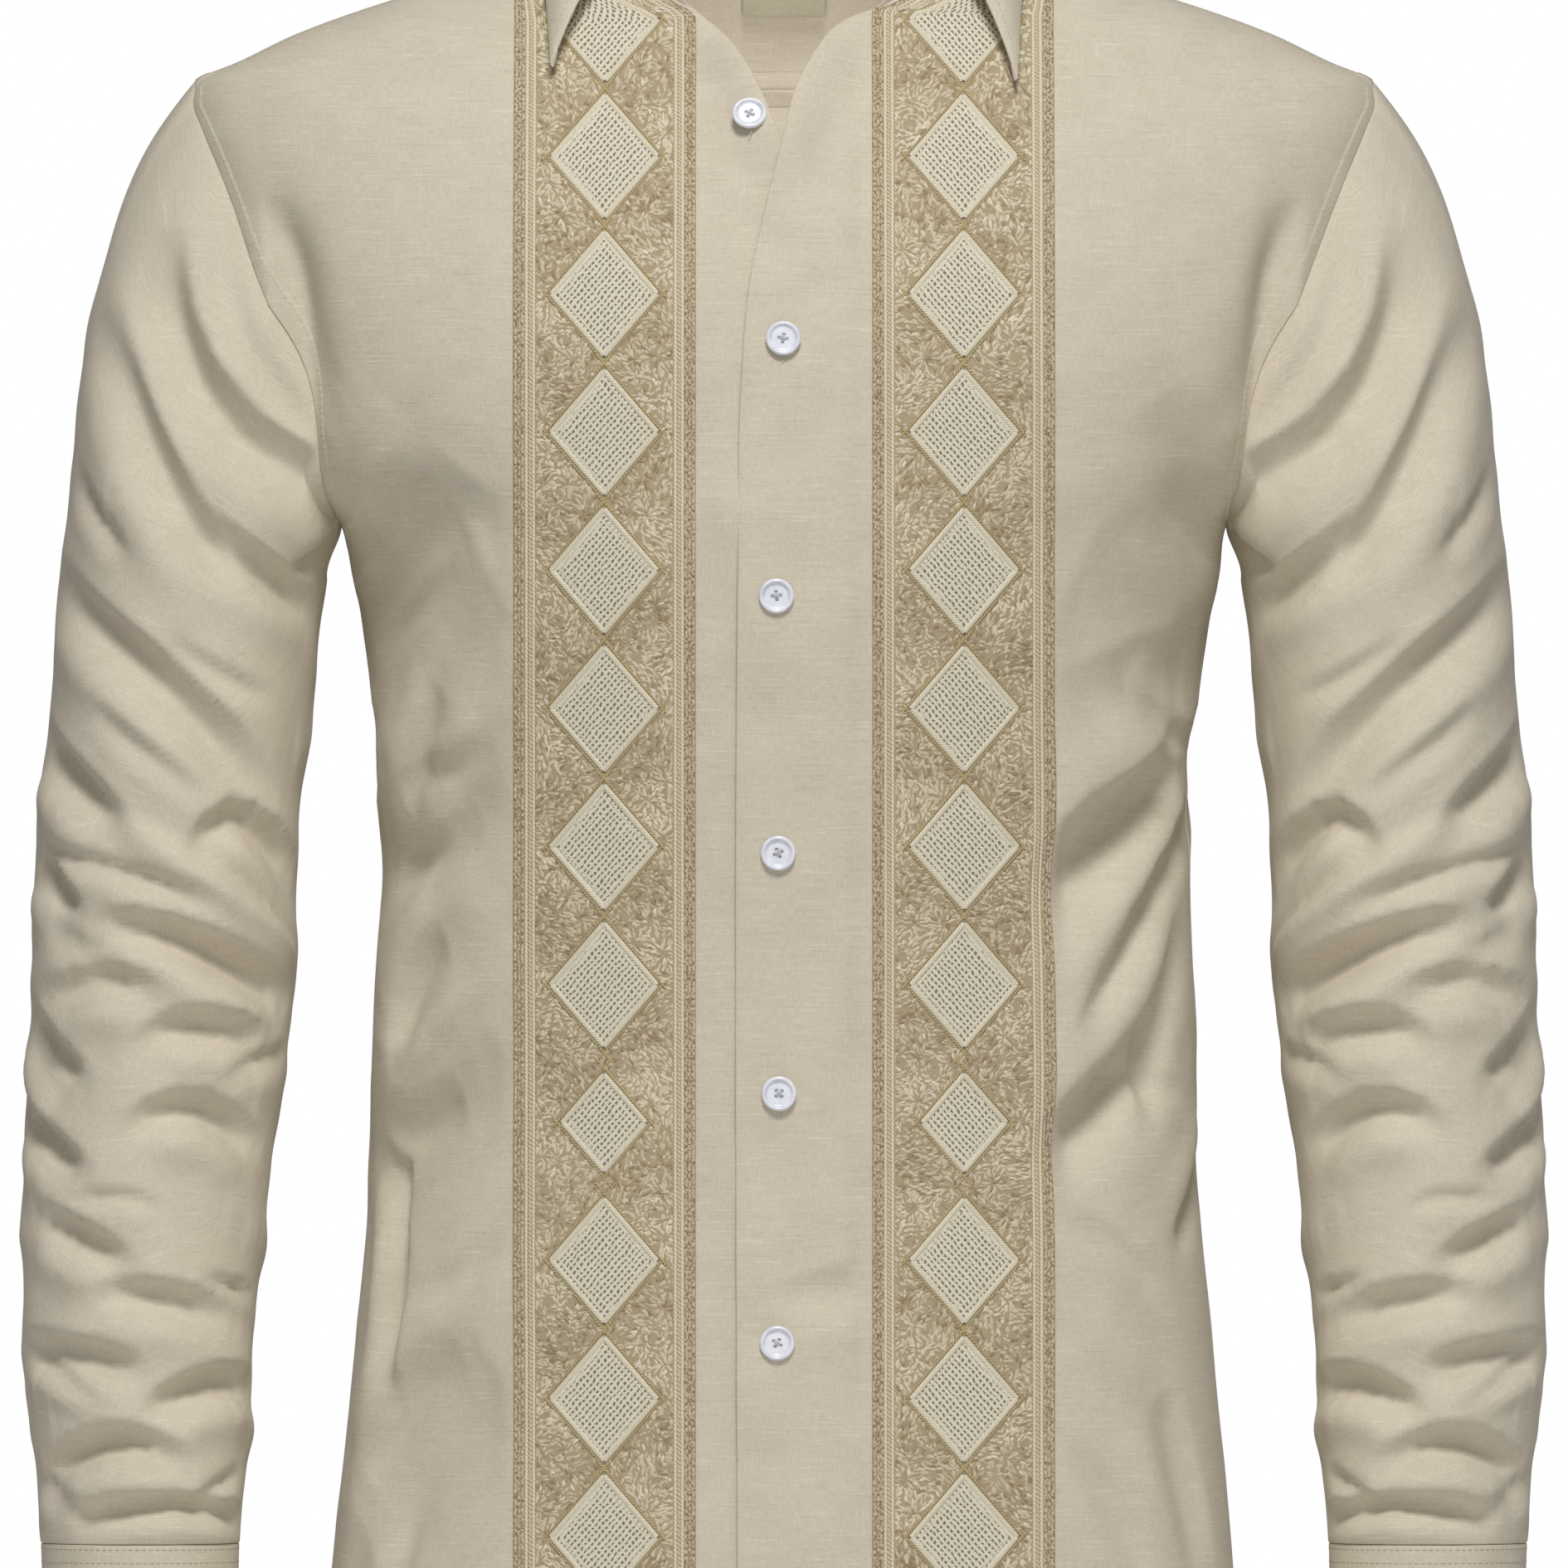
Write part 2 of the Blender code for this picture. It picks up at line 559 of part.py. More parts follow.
def armhole_places():
    """(section angle, z) of the seam's points on the wearer's left, from the tip by the front."""
    places = [(SIDE_SEAM, SHOULDER_TIP_Z)]
    places += [(float(armhole_angle(SHOULDER_SEAM_Z, False)), SHOULDER_SEAM_Z)]
    places += [(float(armhole_angle(z, False)), z) for z in reversed(ARMHOLE_ROWS_Z)]
    places += [(SIDE_SEAM, ARMPIT_Z)]
    places += [(float(armhole_angle(z, True)), z) for z in ARMHOLE_ROWS_Z[:5]]
    places += [(float(armhole_angle(z, True)), z) for z in (YOKE_END_Z,) + YOKE_ARMHOLE_Z]
    return places


def leaving(turns):
    """Directions in which the left sleeve's cloth leaves the armhole seam."""
    top = (1 + np.cos(turns)) / 2
    out = LEAVE_OUT_TOP * top + LEAVE_OUT
    down = LEAVE_DOWN_TOP * top + (1 - top)
    return unit(np.stack([out, -LEAVE_FORWARD * np.sin(turns), -down], -1))


def armhole_seam(side):
    """(places, points, thickness directions) round an armhole, given as the left one's mirror image.

    At each point the wall's thickness halves the angle between the body's cloth and the sleeve's.
    """
    places = armhole_places()
    angles, heights = np.array(places).T
    mirror = np.array([side, 1.0, 1.0])
    points = body_point(side * angles, heights) * mirror
    tangents = unit(np.roll(points, -1, axis=0) - np.roll(points, 1, axis=0))
    body_ways = body_normal(side * angles, heights) * mirror
    body_ways = unit(body_ways - tangents * np.sum(body_ways * tangents, axis=-1, keepdims=True))
    onward = np.cross(body_ways, tangents)
    turns = np.arange(len(places)) * 2 * math.pi / len(places)
    sleeve_ways = leaving(turns)
    bend = np.arctan2(np.sum(sleeve_ways * body_ways, -1), np.sum(sleeve_ways * onward, -1))
    bend = np.where(bend < -math.pi / 2, bend + 2 * math.pi, bend)[:, None] / 2
    return places, points, unit(body_ways * np.cos(bend) - onward * np.sin(bend))


def is_behind(angle):
    """Whether a place on the wearer's left lies behind the side seam."""
    return angle > SIDE_SEAM + 1e-6


def seam_ways(side):
    """Thickness direction at each point of an armhole seam, by its height and whether it is behind."""
    places, _, ways = armhole_seam(side)
    mirror = np.array([side, 1.0, 1.0])
    found = {}
    for (angle, z), way in zip(places, ways):
        found[round(z, 2), is_behind(angle)] = way * mirror
    return found


# ---- rows and columns of the panels ------------------------------------------------------------


def side_rows():
    """Heights of the side seam's rows, from the hem to the armpit: closer together at the waist."""
    half_pitch = LOZENGE_PITCH / 2
    count = int((FIRST_LOZENGE_Z - HEM_Z) / half_pitch)
    heights = {FIRST_LOZENGE_Z - half_pitch * number for number in range(8, count + 1)}
    heights |= {z - half_pitch / 2 for z in heights if WAIST_Z[0] < z < WAIST_Z[1]}
    return [HEM_Z] + sorted(heights) + [ARMPIT_Z]


def shoulder_seam_angle(z):
    """Section angle of the front shoulder seam."""
    at_neck, at_armhole = SHOULDER_SEAM_DEGREES
    share = (NECK_SEAM_TOP_Z - z) / (NECK_SEAM_TOP_Z - SHOULDER_SEAM_Z)
    return math.radians(at_neck + (at_armhole - at_neck) * share)


def front_rows():
    """(z, angle at the outer boundary) for each row of a front, from the hem to the neck."""
    rows = [(z, SIDE_SEAM) for z in side_rows()]
    rows += [(z, float(armhole_angle(z, False))) for z in ARMHOLE_ROWS_Z]
    rows += [(SHOULDER_SEAM_Z, float(armhole_angle(SHOULDER_SEAM_Z, False)))]
    rows += [(z, shoulder_seam_angle(z)) for z in SEAM_ROWS_Z + (FRONT_TOP_Z,)]
    return rows


def front_columns(side, z, outer_angle, edge):
    """Angles of a front's columns at one row, from its opening edge to its outer boundary."""
    width = float(from_table(z, BODY, "z", "half_width"))
    outer_x = width * math.sin(outer_angle) ** ROUNDNESS
    neck_angle = math.radians(float(from_table(-abs(z), NECKLINE[:5], "z", "degrees")))
    if z < NECK_CORNER_Z:
        edge_x = float(from_table(z, edge, "z", "x")) * side
    else:
        edge_x = width * math.sin(neck_angle) ** ROUNDNESS
    band_outer = min(BAND_OUTER_X, edge_x + BAND_SIDE_SHARE * (outer_x - edge_x))
    clear = BAND_EDGE_CLEAR * min(1.0, (band_outer - edge_x) / BAND_NARROW)
    band_inner = max(BAND_INNER_X, edge_x + clear)
    placket = [edge_x + (band_inner - edge_x) * share for share in PLACKET_SHARES]
    lozenge = [LOZENGE_X + LOZENGE_HALF_WIDTH * part for part in (-1, 0, 1)]
    stretch = (band_outer - band_inner) / (BAND_OUTER_X - BAND_INNER_X)
    spots = [BAND_INNER_X] + lozenge + [BAND_OUTER_X]
    band = [band_inner + (spot - BAND_INNER_X) * stretch for spot in spots]
    angles = [float(angle_at(x, z)) for x in placket + band]
    step = (outer_angle - angles[-1]) / FRONT_SIDE_CELLS
    angles += [angles[-1] + step * number for number in range(1, FRONT_SIDE_CELLS + 1)]
    return [side * angle for angle in angles]


def edge_lift(angle, z, side, edge):
    """Lift of a front over the form: the lap of the left front, and both open edges' soft roll."""
    x = body_base(angle, z)[..., 0] * side
    edge_x = from_table(z, edge, "z", "x") * side
    away = np.clip(x - edge_x, 0, None)
    roll = EDGE_ROLL * ramp(z, *ROLL_START_Z) * (1 - ramp(z, *ROLL_END_Z))
    lift = roll * (1 - ramp(away, 0, EDGE_ROLL_WIDTH))
    if side > 0:
        lapping = (1 - ramp(x, LAP_INNER_X, LAP_OUTER_X)) * (1 - ramp(z, *LAP_END_Z))
        lift = lift + LAP_LIFT * lapping
    return lift


def front_net(side, edge):
    """(angles, heights, lifts, thickness directions) of a front's net."""
    rows = front_rows()
    angles = np.array([front_columns(side, z, outer, edge) for z, outer in rows])
    heights = np.array([[z] * angles.shape[1] for z, _ in rows])
    normals = body_normal(angles, heights)
    ways = seam_ways(side)
    for number, (z, _) in enumerate(rows):
        if ARMPIT_Z <= z <= SHOULDER_SEAM_Z:
            normals[number, -1] = ways[round(z, 2), False]
    return angles, heights, edge_lift(angles, heights, side, edge), normals


def make_front(name, side, edge):
    """A front, and the embroidered band that lies on it."""
    angles, heights, lifts, normals = front_net(side, edge)
    outer = drawn_in(body_point(angles, heights) + body_normal(angles, heights) * lifts[..., None])
    front = cloth_wall(name, outer, outer - normals * CLOTH, CLOTH_COLOUR)
    columns = slice(BAND_FIRST_COLUMN, BAND_LAST_COLUMN + 1)
    rows = slice(0, len(heights) - 1)
    ground = outer[rows, columns]
    ways = body_normal(angles, heights)[rows, columns]
    rise = np.zeros(ground.shape[:2])
    pitch_share = (FIRST_LOZENGE_Z - heights[rows, columns]) / LOZENGE_PITCH
    from_middle = np.abs(pitch_share - np.round(pitch_share)) * 2
    middle = (BAND_LAST_COLUMN - BAND_FIRST_COLUMN) // 2
    rise[:, middle] = LOZENGE_RISE * (1 - from_middle[:, middle])
    under = ground + ways * SEAM_GAP
    top = under + ways * (BAND_CLOTH + rise)[..., None]
    band = cloth_wall(name.replace("front", "band"), top, under, BAND_COLOUR)
    return front, band


# ---- yoke and back -----------------------------------------------------------------------------

def yoke_seam(share):
    """(angle, z) of the back yoke seam: share 0 is the centre back, 1 the left armhole."""
    end_angle = float(armhole_angle(YOKE_END_Z, True))
    angle = math.pi - abs(share) * (math.pi - end_angle)
    return math.copysign(angle, share), YOKE_SEAM_Z - YOKE_SEAM_DROP * share * share


def yoke_outline():
    """(outer, inner) ends of the yoke's rays, from the centre back to the front shoulder seam."""
    outer = [yoke_seam(number / YOKE_BACK_COLUMNS) for number in range(YOKE_BACK_COLUMNS + 1)]
    outer += [(float(armhole_angle(z, True)), z) for z in YOKE_ARMHOLE_Z]
    outer.append((SIDE_SEAM, SHOULDER_TIP_Z))
    outer.append((float(armhole_angle(SHOULDER_SEAM_Z, False)), SHOULDER_SEAM_Z))
    neck = []
    for degrees in YOKE_NECK_DEGREES:
        neck.append((math.radians(degrees), float(from_table(degrees, NECKLINE, "degrees", "z"))))
    return outer, neck


def make_yoke():
    """The yoke, over both shoulders, on rays from the neckline to its outer seams."""
    outer, neck = yoke_outline()
    span = NECK_SEAM_TOP_Z - SHOULDER_SEAM_Z
    shares = [0.0] + [(NECK_SEAM_TOP_Z - z) / span for z in reversed(SEAM_ROWS_Z)] + [1.0]
    outer, neck = np.array(outer), np.array(neck)
    left = neck[:, None] + (outer - neck)[:, None] * np.array(shares)[:, None]
    left[-1, :-1, 0] = [shoulder_seam_angle(z) for z in (NECK_SEAM_TOP_Z,) + SEAM_ROWS_Z[::-1]]
    right = left[:0:-1] * np.array([-1.0, 1.0])
    rays = np.concatenate([right, left])
    angles, heights = rays[..., 0].T, rays[..., 1].T
    normals = body_normal(angles, heights)
    for side in (-1, 1):
        ways = seam_ways(side)
        for number in range(YOKE_BACK_COLUMNS, len(outer)):
            place = side * number + len(outer) - 1
            behind = is_behind(outer[number][0])
            normals[-1, place] = ways[round(outer[number][1], 2), behind]
    points = drawn_in(body_point(angles, heights))
    return cloth_wall("yoke", points, points - normals * CLOTH, CLOTH_COLOUR)


def back_rows():
    """(height at the centre, height at the armhole or side) of the back's rows, from the hem up."""
    rows = [(z, z) for z in side_rows()]
    rows += [(z, z) for z in ARMHOLE_ROWS_Z[:2]]
    rows += list(zip(BACK_CENTRE_ROWS_Z, ARMHOLE_ROWS_Z[2:5]))
    return rows + [(YOKE_SEAM_Z, YOKE_SEAM_Z - YOKE_SEAM_DROP)]


def make_back():
    """The back, from its yoke seam to the hem."""
    cells = 2 * YOKE_BACK_COLUMNS
    shares = [number / YOKE_BACK_COLUMNS - 1 for number in range(cells + 1)]
    angles, heights = [], []
    for centre_z, end_z in back_rows():
        end = SIDE_SEAM if end_z <= ARMPIT_Z else float(armhole_angle(end_z, True))
        turns = [math.pi - abs(share) * (math.pi - end) for share in shares]
        angles.append([math.copysign(turn, -share) for turn, share in zip(turns, shares)])
        heights.append([centre_z + (end_z - centre_z) * share * share for share in shares])
    angles, heights = np.array(angles), np.array(heights)
    normals = body_normal(angles, heights)
    for place, side in ((0, 1), (-1, -1)):
        ways = seam_ways(side)
        for number, (_, end_z) in enumerate(back_rows()):
            if end_z >= ARMPIT_Z:
                normals[number, place] = ways[round(end_z, 2), end_z > ARMPIT_Z]
    points = drawn_in(body_point(angles, heights))
    return cloth_wall("back", points, points - normals * CLOTH, CLOTH_COLOUR)


# ---- sleeves and cuffs -------------------------------------------------------------------------


def halved(points, ways, count):
    """A run of points with its longest stretches halved until it has this many stretches."""
    points, ways = list(points), list(ways)
    while len(points) - 1 < count:
        lengths = [np.linalg.norm(b - a) for a, b in zip(points, points[1:])]
        place = int(np.argmax(lengths))
        points.insert(place + 1, (points[place] + points[place + 1]) / 2)
        ways.insert(place + 1, unit(ways[place] + ways[place + 1]))
    return points, ways


def armhole_loop(side):
    """(points, thickness directions) for the sleeve's columns round an armhole, from the tip."""
    _, points, ways = armhole_seam(side)
    points, ways = list(points), list(ways)
    half = len(points) // 2
    front = halved(points[: half + 1], ways[: half + 1], SLEEVE_COLUMNS // 2)
    back = halved(points[half:] + points[:1], ways[half:] + ways[:1], SLEEVE_COLUMNS // 2)
    return np.array(front[0][:-1] + back[0][:-1]), np.array(front[1][:-1] + back[1][:-1])


def sleeve_ring(z, turns):
    """Level ring of the left sleeve at a height: turn 0 is its outer side, a quarter its front."""
    middle_x = from_table(z, SLEEVE, "z", "middle_x")
    middle_y = from_table(z, SLEEVE, "z", "middle_y")
    half_width = from_table(z, SLEEVE, "z", "half_width")
    half_depth = from_table(z, SLEEVE, "z", "half_depth")
    x = middle_x + half_width * np.cos(turns)
    y = middle_y - half_depth * np.sin(turns)
    return np.stack([x, y, z + 0 * x], axis=-1)


def sleeve_turn(x, y, z):
    """Turn of a point round the sleeve's middle line."""
    across = (x - from_table(z, SLEEVE, "z", "middle_x")) / from_table(z, SLEEVE, "z", "half_width")
    depth = (from_table(z, SLEEVE, "z", "middle_y") - y) / from_table(z, SLEEVE, "z", "half_depth")
    return np.arctan2(depth, across)


def sleeve_fold(points):
    """How far the folds move the sleeve's cloth out at points of its plain form."""
    turn = sleeve_turn(points[..., 0], points[..., 1], points[..., 2])
    z = points[..., 2]
    total = np.zeros(z.shape)
    for folds, front in ((SLEEVE_FRONT_FOLDS, 1), (SLEEVE_BACK_FOLDS, -1)):
        for fold in folds:
            path = []
            for px, pz in ((fold.x0, fold.z0), (fold.x1, fold.z1), (fold.x2, fold.z2)):
                middle = float(from_table(pz, SLEEVE, "z", "middle_x"))
                half = float(from_table(pz, SLEEVE, "z", "half_width"))
                share = min(max((px - middle) / half, -0.98), 0.98)
                path.append((front * math.acos(share) * SLEEVE_RADIUS, pz))
            for lap in (-2 * math.pi, 0, 2 * math.pi):
                across = (turn + lap) * SLEEVE_RADIUS
                near = np.abs(across - path[1][0]) < 2.2 * SLEEVE_RADIUS
                depth = trough(across, z, path, fold.half_width, fold.depth, fold.ridge)
                total += np.where(near, depth, 0)
    return total * ramp(z, CUFF_TOP_Z - 4, CUFF_TOP_Z + 14)


def sleeve_net(side):
    """(outer points, thickness directions) of a sleeve, as the left one's mirror image if right."""
    loop, ways = armhole_loop(side)
    turns = np.arange(SLEEVE_COLUMNS) * 2 * math.pi / SLEEVE_COLUMNS
    bottom = sleeve_ring(np.float64(CAP_BOTTOM_Z), turns)
    arrive = np.stack([ARRIVE_OUT * np.cos(turns), 0 * turns, -1 + 0 * turns], -1)
    reach = np.linalg.norm(bottom - loop, axis=-1, keepdims=True)
    rings = []
    for number in range(CAP_ROWS):
        t = number / CAP_ROWS
        start = (1 + 2 * t) * (1 - t) ** 2 * loop + t * (1 - t) ** 2 * reach * leaving(turns)
        end = t * t * (3 - 2 * t) * bottom + t * t * (t - 1) * reach * unit(arrive)
        rings.append(start + end)
    levels = np.linspace(CAP_BOTTOM_Z, CUFF_TOP_Z + SEAM_GAP, SLEEVE_ROWS + 1)
    rings += [sleeve_ring(z, turns) for z in levels]
    base = np.array(rings)
    normals = net_normals(base, wraps=True)
    normals[0] = ways
    fold = sleeve_fold(base)
    fold[0] = 0
    shaped = base + normals * fold[..., None]
    shaped[0] = loop + SEAM_INSET * unit(shaped[1] - loop)
    return shaped, normals


def cuff_net():
    """Outer points and thickness directions of the left cuff: a strip that laps over its own end."""
    degrees = np.linspace(0, CUFF_TURN_DEGREES, CUFF_COLUMNS)
    lap = CUFF_LAP * ramp(degrees, *CUFF_LAP_DEGREES)
    turns = np.radians(CUFF_START_DEGREES + degrees)
    rings, normals = [], []
    for z in (CUFF_TOP_Z - SEAM_GAP, (CUFF_TOP_Z + CUFF_BOTTOM_Z) / 2, CUFF_BOTTOM_Z):
        ring = sleeve_ring(np.float64(z), turns)
        way = np.stack([np.cos(turns), -np.sin(turns), 0 * turns], -1)
        rings.append(ring + way * lap[:, None])
        normals.append(way)
    return np.array(rings), np.array(normals)


def make_sleeves():
    """Both sleeves and both cuffs."""
    for side, sign in (("left", 1), ("right", -1)):
        mirror = np.array([sign, 1.0, 1.0])
        for name, net, wraps in (("sleeve", sleeve_net(sign), True), ("cuff", cuff_net(), False)):
            outer, ways = net
            inner = outer - ways * CLOTH
            walls = [wall[:, ::sign] * mirror for wall in (outer, inner)]
            cloth_wall(f"{name}_{side}", *walls, CLOTH_COLOUR, wraps)


# ---- collar ------------------------------------------------------------------------------------


def neck_loop(degrees):
    """(points, the stand's rise, outward directions) at section angles, right side below zero."""
    size = np.abs(degrees)
    z = from_table(size, NECKLINE, "degrees", "z")
    points = body_base(np.radians(degrees), z)
    out, back, up = (from_table(size, STAND_LEAN, "degrees", name) for name in ("out", "back", "up"))
    rise = np.stack([np.sign(degrees) * out, back, up], -1)
    outwards = unit(np.cross(rise, np.gradient(points, axis=0)))
    from_middle = (points - NECK_MIDDLE) * np.array([1.0, 1.0, 0.0])
    turned = np.sign(np.sum(outwards * from_middle, axis=-1))
    return points, rise, outwards * turned[:, None]


def neck_degrees(start, columns):
    """Section angles round the neck from the left front by the back to the right front."""
    half = columns // 2
    share = np.arange(half + 1) / half
    left = start + (180 - start) * share
    return np.concatenate([left, -left[-2::-1]])


def make_stand():
    """The collar stand, on the neckline and open at the front."""
    degrees = neck_degrees(NECKLINE[0].degrees + 0.5, STAND_COLUMNS)
    points, rise, outwards = neck_loop(degrees)
    foot = points - outwards * STAND_SEAT + np.array([0, 0, STAND_SEAT])
    rows = np.array([foot + rise * share for share in STAND_ROWS])
    bow = STAND_BOW * np.array([0.0, 1.0, 1.0, 0.0])[:, None, None] * outwards
    outer = rows + bow
    return cloth_wall("collar_stand", outer, outer - outwards * CLOTH, CLOTH_COLOUR)


def leaf_edge(degrees):
    """Points of the collar leaf's free edge."""
    size = np.abs(degrees)
    side = np.sign(degrees)
    join = LEAF_EDGE[-1]
    behind = ramp(size, join.degrees, LEAF_BACK_EDGE[0].degrees)
    z = from_table(size, LEAF_EDGE, "degrees", "z") * (1 - behind)
    z += from_table(size, LEAF_BACK_EDGE, "degrees", "z") * behind
    z -= np.where(degrees > 0, LEFT_POINT_DROP * (1 - ramp(size, *LEFT_DROP_DEGREES)), 0.0)
    off = from_table(size, LEAF_EDGE, "degrees", "off") * (1 - behind)
    off += from_table(size, LEAF_BACK_EDGE, "degrees", "off") * behind
    front_angle = angle_at(from_table(size, LEAF_EDGE, "degrees", "x"), z)
    join_angle = float(angle_at(join.x, join.z))
    share = (size - join.degrees) / (180 - join.degrees)
    back_angle = join_angle + (math.pi - join_angle) * share
    angle = side * np.where(size < join.degrees, front_angle, back_angle)
    return body_base(angle, z) + body_normal(angle, z) * off[:, None]


def make_leaf():
    """The collar leaf: up from the stand, over its roll and down to its free edge."""
    degrees = neck_degrees(LEAF_START_DEGREES, LEAF_COLUMNS)
    points, rise, outwards = neck_loop(degrees)
    out = unit(outwards * np.array([1.0, 1.0, 0.0]))
    up = np.array([0, 0, 1.0])
    inner_top = points - outwards * (STAND_SEAT + CLOTH) + rise + up * STAND_SEAT
    rows = [inner_top + out * roll.out + up * roll.up for roll in LEAF_ROLL]
    edge = leaf_edge(degrees)
    start = rows[-1]
    for number in range(1, LEAF_FALL_ROWS + 1):
        t = number / LEAF_FALL_ROWS
        rows.append(start + (edge - start) * t + out * LEAF_BULGE * math.sin(math.pi * t))
    seen = np.array(rows)
    normals = net_normals(seen)
    normals[0] = -out
    facing = np.sum(normals[-1] * out, axis=-1, keepdims=True)
    normals[1:] *= np.sign(facing)
    return cloth_wall("collar_leaf", seen, seen - normals * CLOTH, CLOTH_COLOUR)


# ---- buttons and label -------------------------------------------------------------------------

def make_button(name, seat, facing):
    """A turned button whose back rests a seam gap off its seat."""
    facing = unit(np.asarray(facing, float))
    side = unit(np.cross(np.array([0.0, 0.0, 1.0]), facing))
    up = np.cross(facing, side)
    points, faces = [], []
    for spot in BUTTON_PROFILE:
        level = seat + facing * (SEAM_GAP + spot.height)
        for number in range(BUTTON_SIDES):
            turn = 2 * math.pi * number / BUTTON_SIDES
            points.append(level + (side * math.cos(turn) + up * math.sin(turn)) * spot.radius)
    rings = len(BUTTON_PROFILE)
    for ring in range(rings - 1):
        for number in range(BUTTON_SIDES):
            after = (number + 1) % BUTTON_SIDES
            a, b = ring * BUTTON_SIDES + number, ring * BUTTON_SIDES + after
            faces.append((a, b, b + BUTTON_SIDES, a + BUTTON_SIDES))
    faces.append(tuple(range(BUTTON_SIDES)))
    faces.append(tuple(reversed(range((rings - 1) * BUTTON_SIDES, rings * BUTTON_SIDES))))
    return mesh_object(name, points, faces, BUTTON_COLOUR, BUTTON_ROUGHNESS)


def make_buttons():
    """Front, collar stand and cuff buttons."""
    for number, place in enumerate(FRONT_BUTTONS, start=1):
        z = np.float64(place.z)
        angle = np.float64(angle_at(place.x, z))
        edge, side = (OVER_EDGE, 1) if place.on_over_front else (UNDER_EDGE, -1)
        lift = float(edge_lift(angle, z, side, edge)) + BUTTON_SEAT
        make_button(f"button_{number}", body_point(angle, z, lift), body_normal(angle, z))
    near = STAND_BUTTON_DEGREES + np.array([1.5, 0.0, -1.5])
    points, rise, outwards = (found[1] for found in neck_loop(near))
    make_button("button_stand", points + rise * 0.5 + outwards * (STAND_BOW + BUTTON_SEAT), outwards)
    for side, sign in (("left", 1), ("right", -1)):
        turn = math.radians(CUFF_BUTTON_DEGREES)
        z = (CUFF_TOP_Z + CUFF_BOTTOM_Z) / 2
        way = np.array([sign * math.cos(turn), -math.sin(turn), 0.0])
        seat = sleeve_ring(np.float64(z), np.float64(turn)) * np.array([sign, 1, 1])
        make_button(f"button_cuff_{side}", seat + way * (CUFF_LAP + BUTTON_SEAT), way)


def make_label():
    """A blank woven label inside the back of the neck."""
    rows = []
    for z in (LABEL_BOTTOM_Z, (LABEL_BOTTOM_Z + LABEL_TOP_Z) / 2, LABEL_TOP_Z):
        rows.append([(x, z) for x in (-LABEL_HALF_WIDTH, 0.0, LABEL_HALF_WIDTH)])
    spots = np.array(rows)
    heights = spots[..., 1]
    angles = np.pi - angle_at(spots[..., 0], heights)
    base = body_base(angles, heights)
    ways = body_normal(angles, heights)
    outer = base - ways * (CLOTH + LABEL_OFF)
    return cloth_wall("neck_label", outer, outer - ways * LABEL_CLOTH, LABEL_COLOUR)


def main():
    """Clears the scene and makes every piece."""
    for obj in list(bpy.data.objects):
        bpy.data.objects.remove(obj)
    make_front("front_right", -1, UNDER_EDGE)
    make_front("front_left", 1, OVER_EDGE)
    make_back()
    make_yoke()
    make_sleeves()
    make_stand()
    make_leaf()
    make_buttons()
    make_label()


main()
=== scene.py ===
"""Dresses the barong shirt: woven cloth, embroidered bands, sewing and buttons on its fixed frame.

Tables and forms are in millimetres, and meshes in metres. +Z is up, the front faces -Y and the
wearer's left is +X. Each cut piece is a thin shell on the same form as its solid, with the finer
folds added, and everything sewn on it lies on that same form.
"""

import logging
import math
from dataclasses import dataclass
from enum import Enum
from functools import cache, cached_property
from typing import Callable, NamedTuple, Sequence

import bpy
import numpy as np
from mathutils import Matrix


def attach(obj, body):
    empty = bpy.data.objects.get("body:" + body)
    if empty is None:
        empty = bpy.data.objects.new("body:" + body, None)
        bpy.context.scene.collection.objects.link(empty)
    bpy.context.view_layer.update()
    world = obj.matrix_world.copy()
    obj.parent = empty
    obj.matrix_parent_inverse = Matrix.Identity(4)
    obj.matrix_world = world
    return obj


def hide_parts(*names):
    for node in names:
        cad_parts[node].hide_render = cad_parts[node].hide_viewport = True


for startup_name in ("Cube", "Light", "Camera"):
    if startup_name in bpy.data.objects:
        bpy.data.objects.remove(bpy.data.objects[startup_name])

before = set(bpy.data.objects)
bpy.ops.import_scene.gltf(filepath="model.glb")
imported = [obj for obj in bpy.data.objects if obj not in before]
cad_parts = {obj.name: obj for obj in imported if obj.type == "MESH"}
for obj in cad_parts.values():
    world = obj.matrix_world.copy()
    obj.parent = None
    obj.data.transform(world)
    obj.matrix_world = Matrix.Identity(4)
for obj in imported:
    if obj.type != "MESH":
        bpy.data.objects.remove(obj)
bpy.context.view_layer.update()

Array = np.ndarray
Shader = bpy.types.ShaderNodeTree
Socket = bpy.types.NodeSocket
Node = bpy.types.ShaderNode
Piece = bpy.types.Object
Material = bpy.types.Material
LOG = logging.getLogger("shirt")

MM = 0.001
BODY = "root"
SEED = 20

HEM_Z = -745.0
ARMPIT_Z = -240.0
SHOULDER_TIP_Z = -62.0
SHOULDER_SEAM_Z = -65.5  # where the front shoulder seam meets the armhole
NECK_SEAM_TOP_Z = -8.3  # where the front shoulder seam meets the neckline
FRONT_TOP_Z = -9.8  # a front's top row, just short of that corner
NECK_CORNER_Z = -36.5  # where a front's opening edge meets the neckline
YOKE_SEAM_Z = -63.0
YOKE_SEAM_DROP = 42.0
SIDE_SEAM = math.radians(90)
SHOULDER_SEAM_START = 72.0  # where the front shoulder seam meets the neckline
ROUNDNESS = 2 / 2.3  # power of a section's sine and cosine: 1 is an ellipse, less is squarer
BODY_RADIUS = 145.0  # millimetres round the body for each radian of a section's angle
SLEEVE_RADIUS = 54.0
SEAM_SHARE = 0.46  # each panel stops this short of its seam line, and turns under from there
CLOTH = 1.2  # wall of one solid
SEAM_GAP = 0.3
SEAM_PROBE = 0.05  # radians beside a seam over which the form is measured
WAY_PROBE = (0.015, 1.5)  # radians and millimetres over which its direction is measured
MOST_TURNED_ROWS = 12
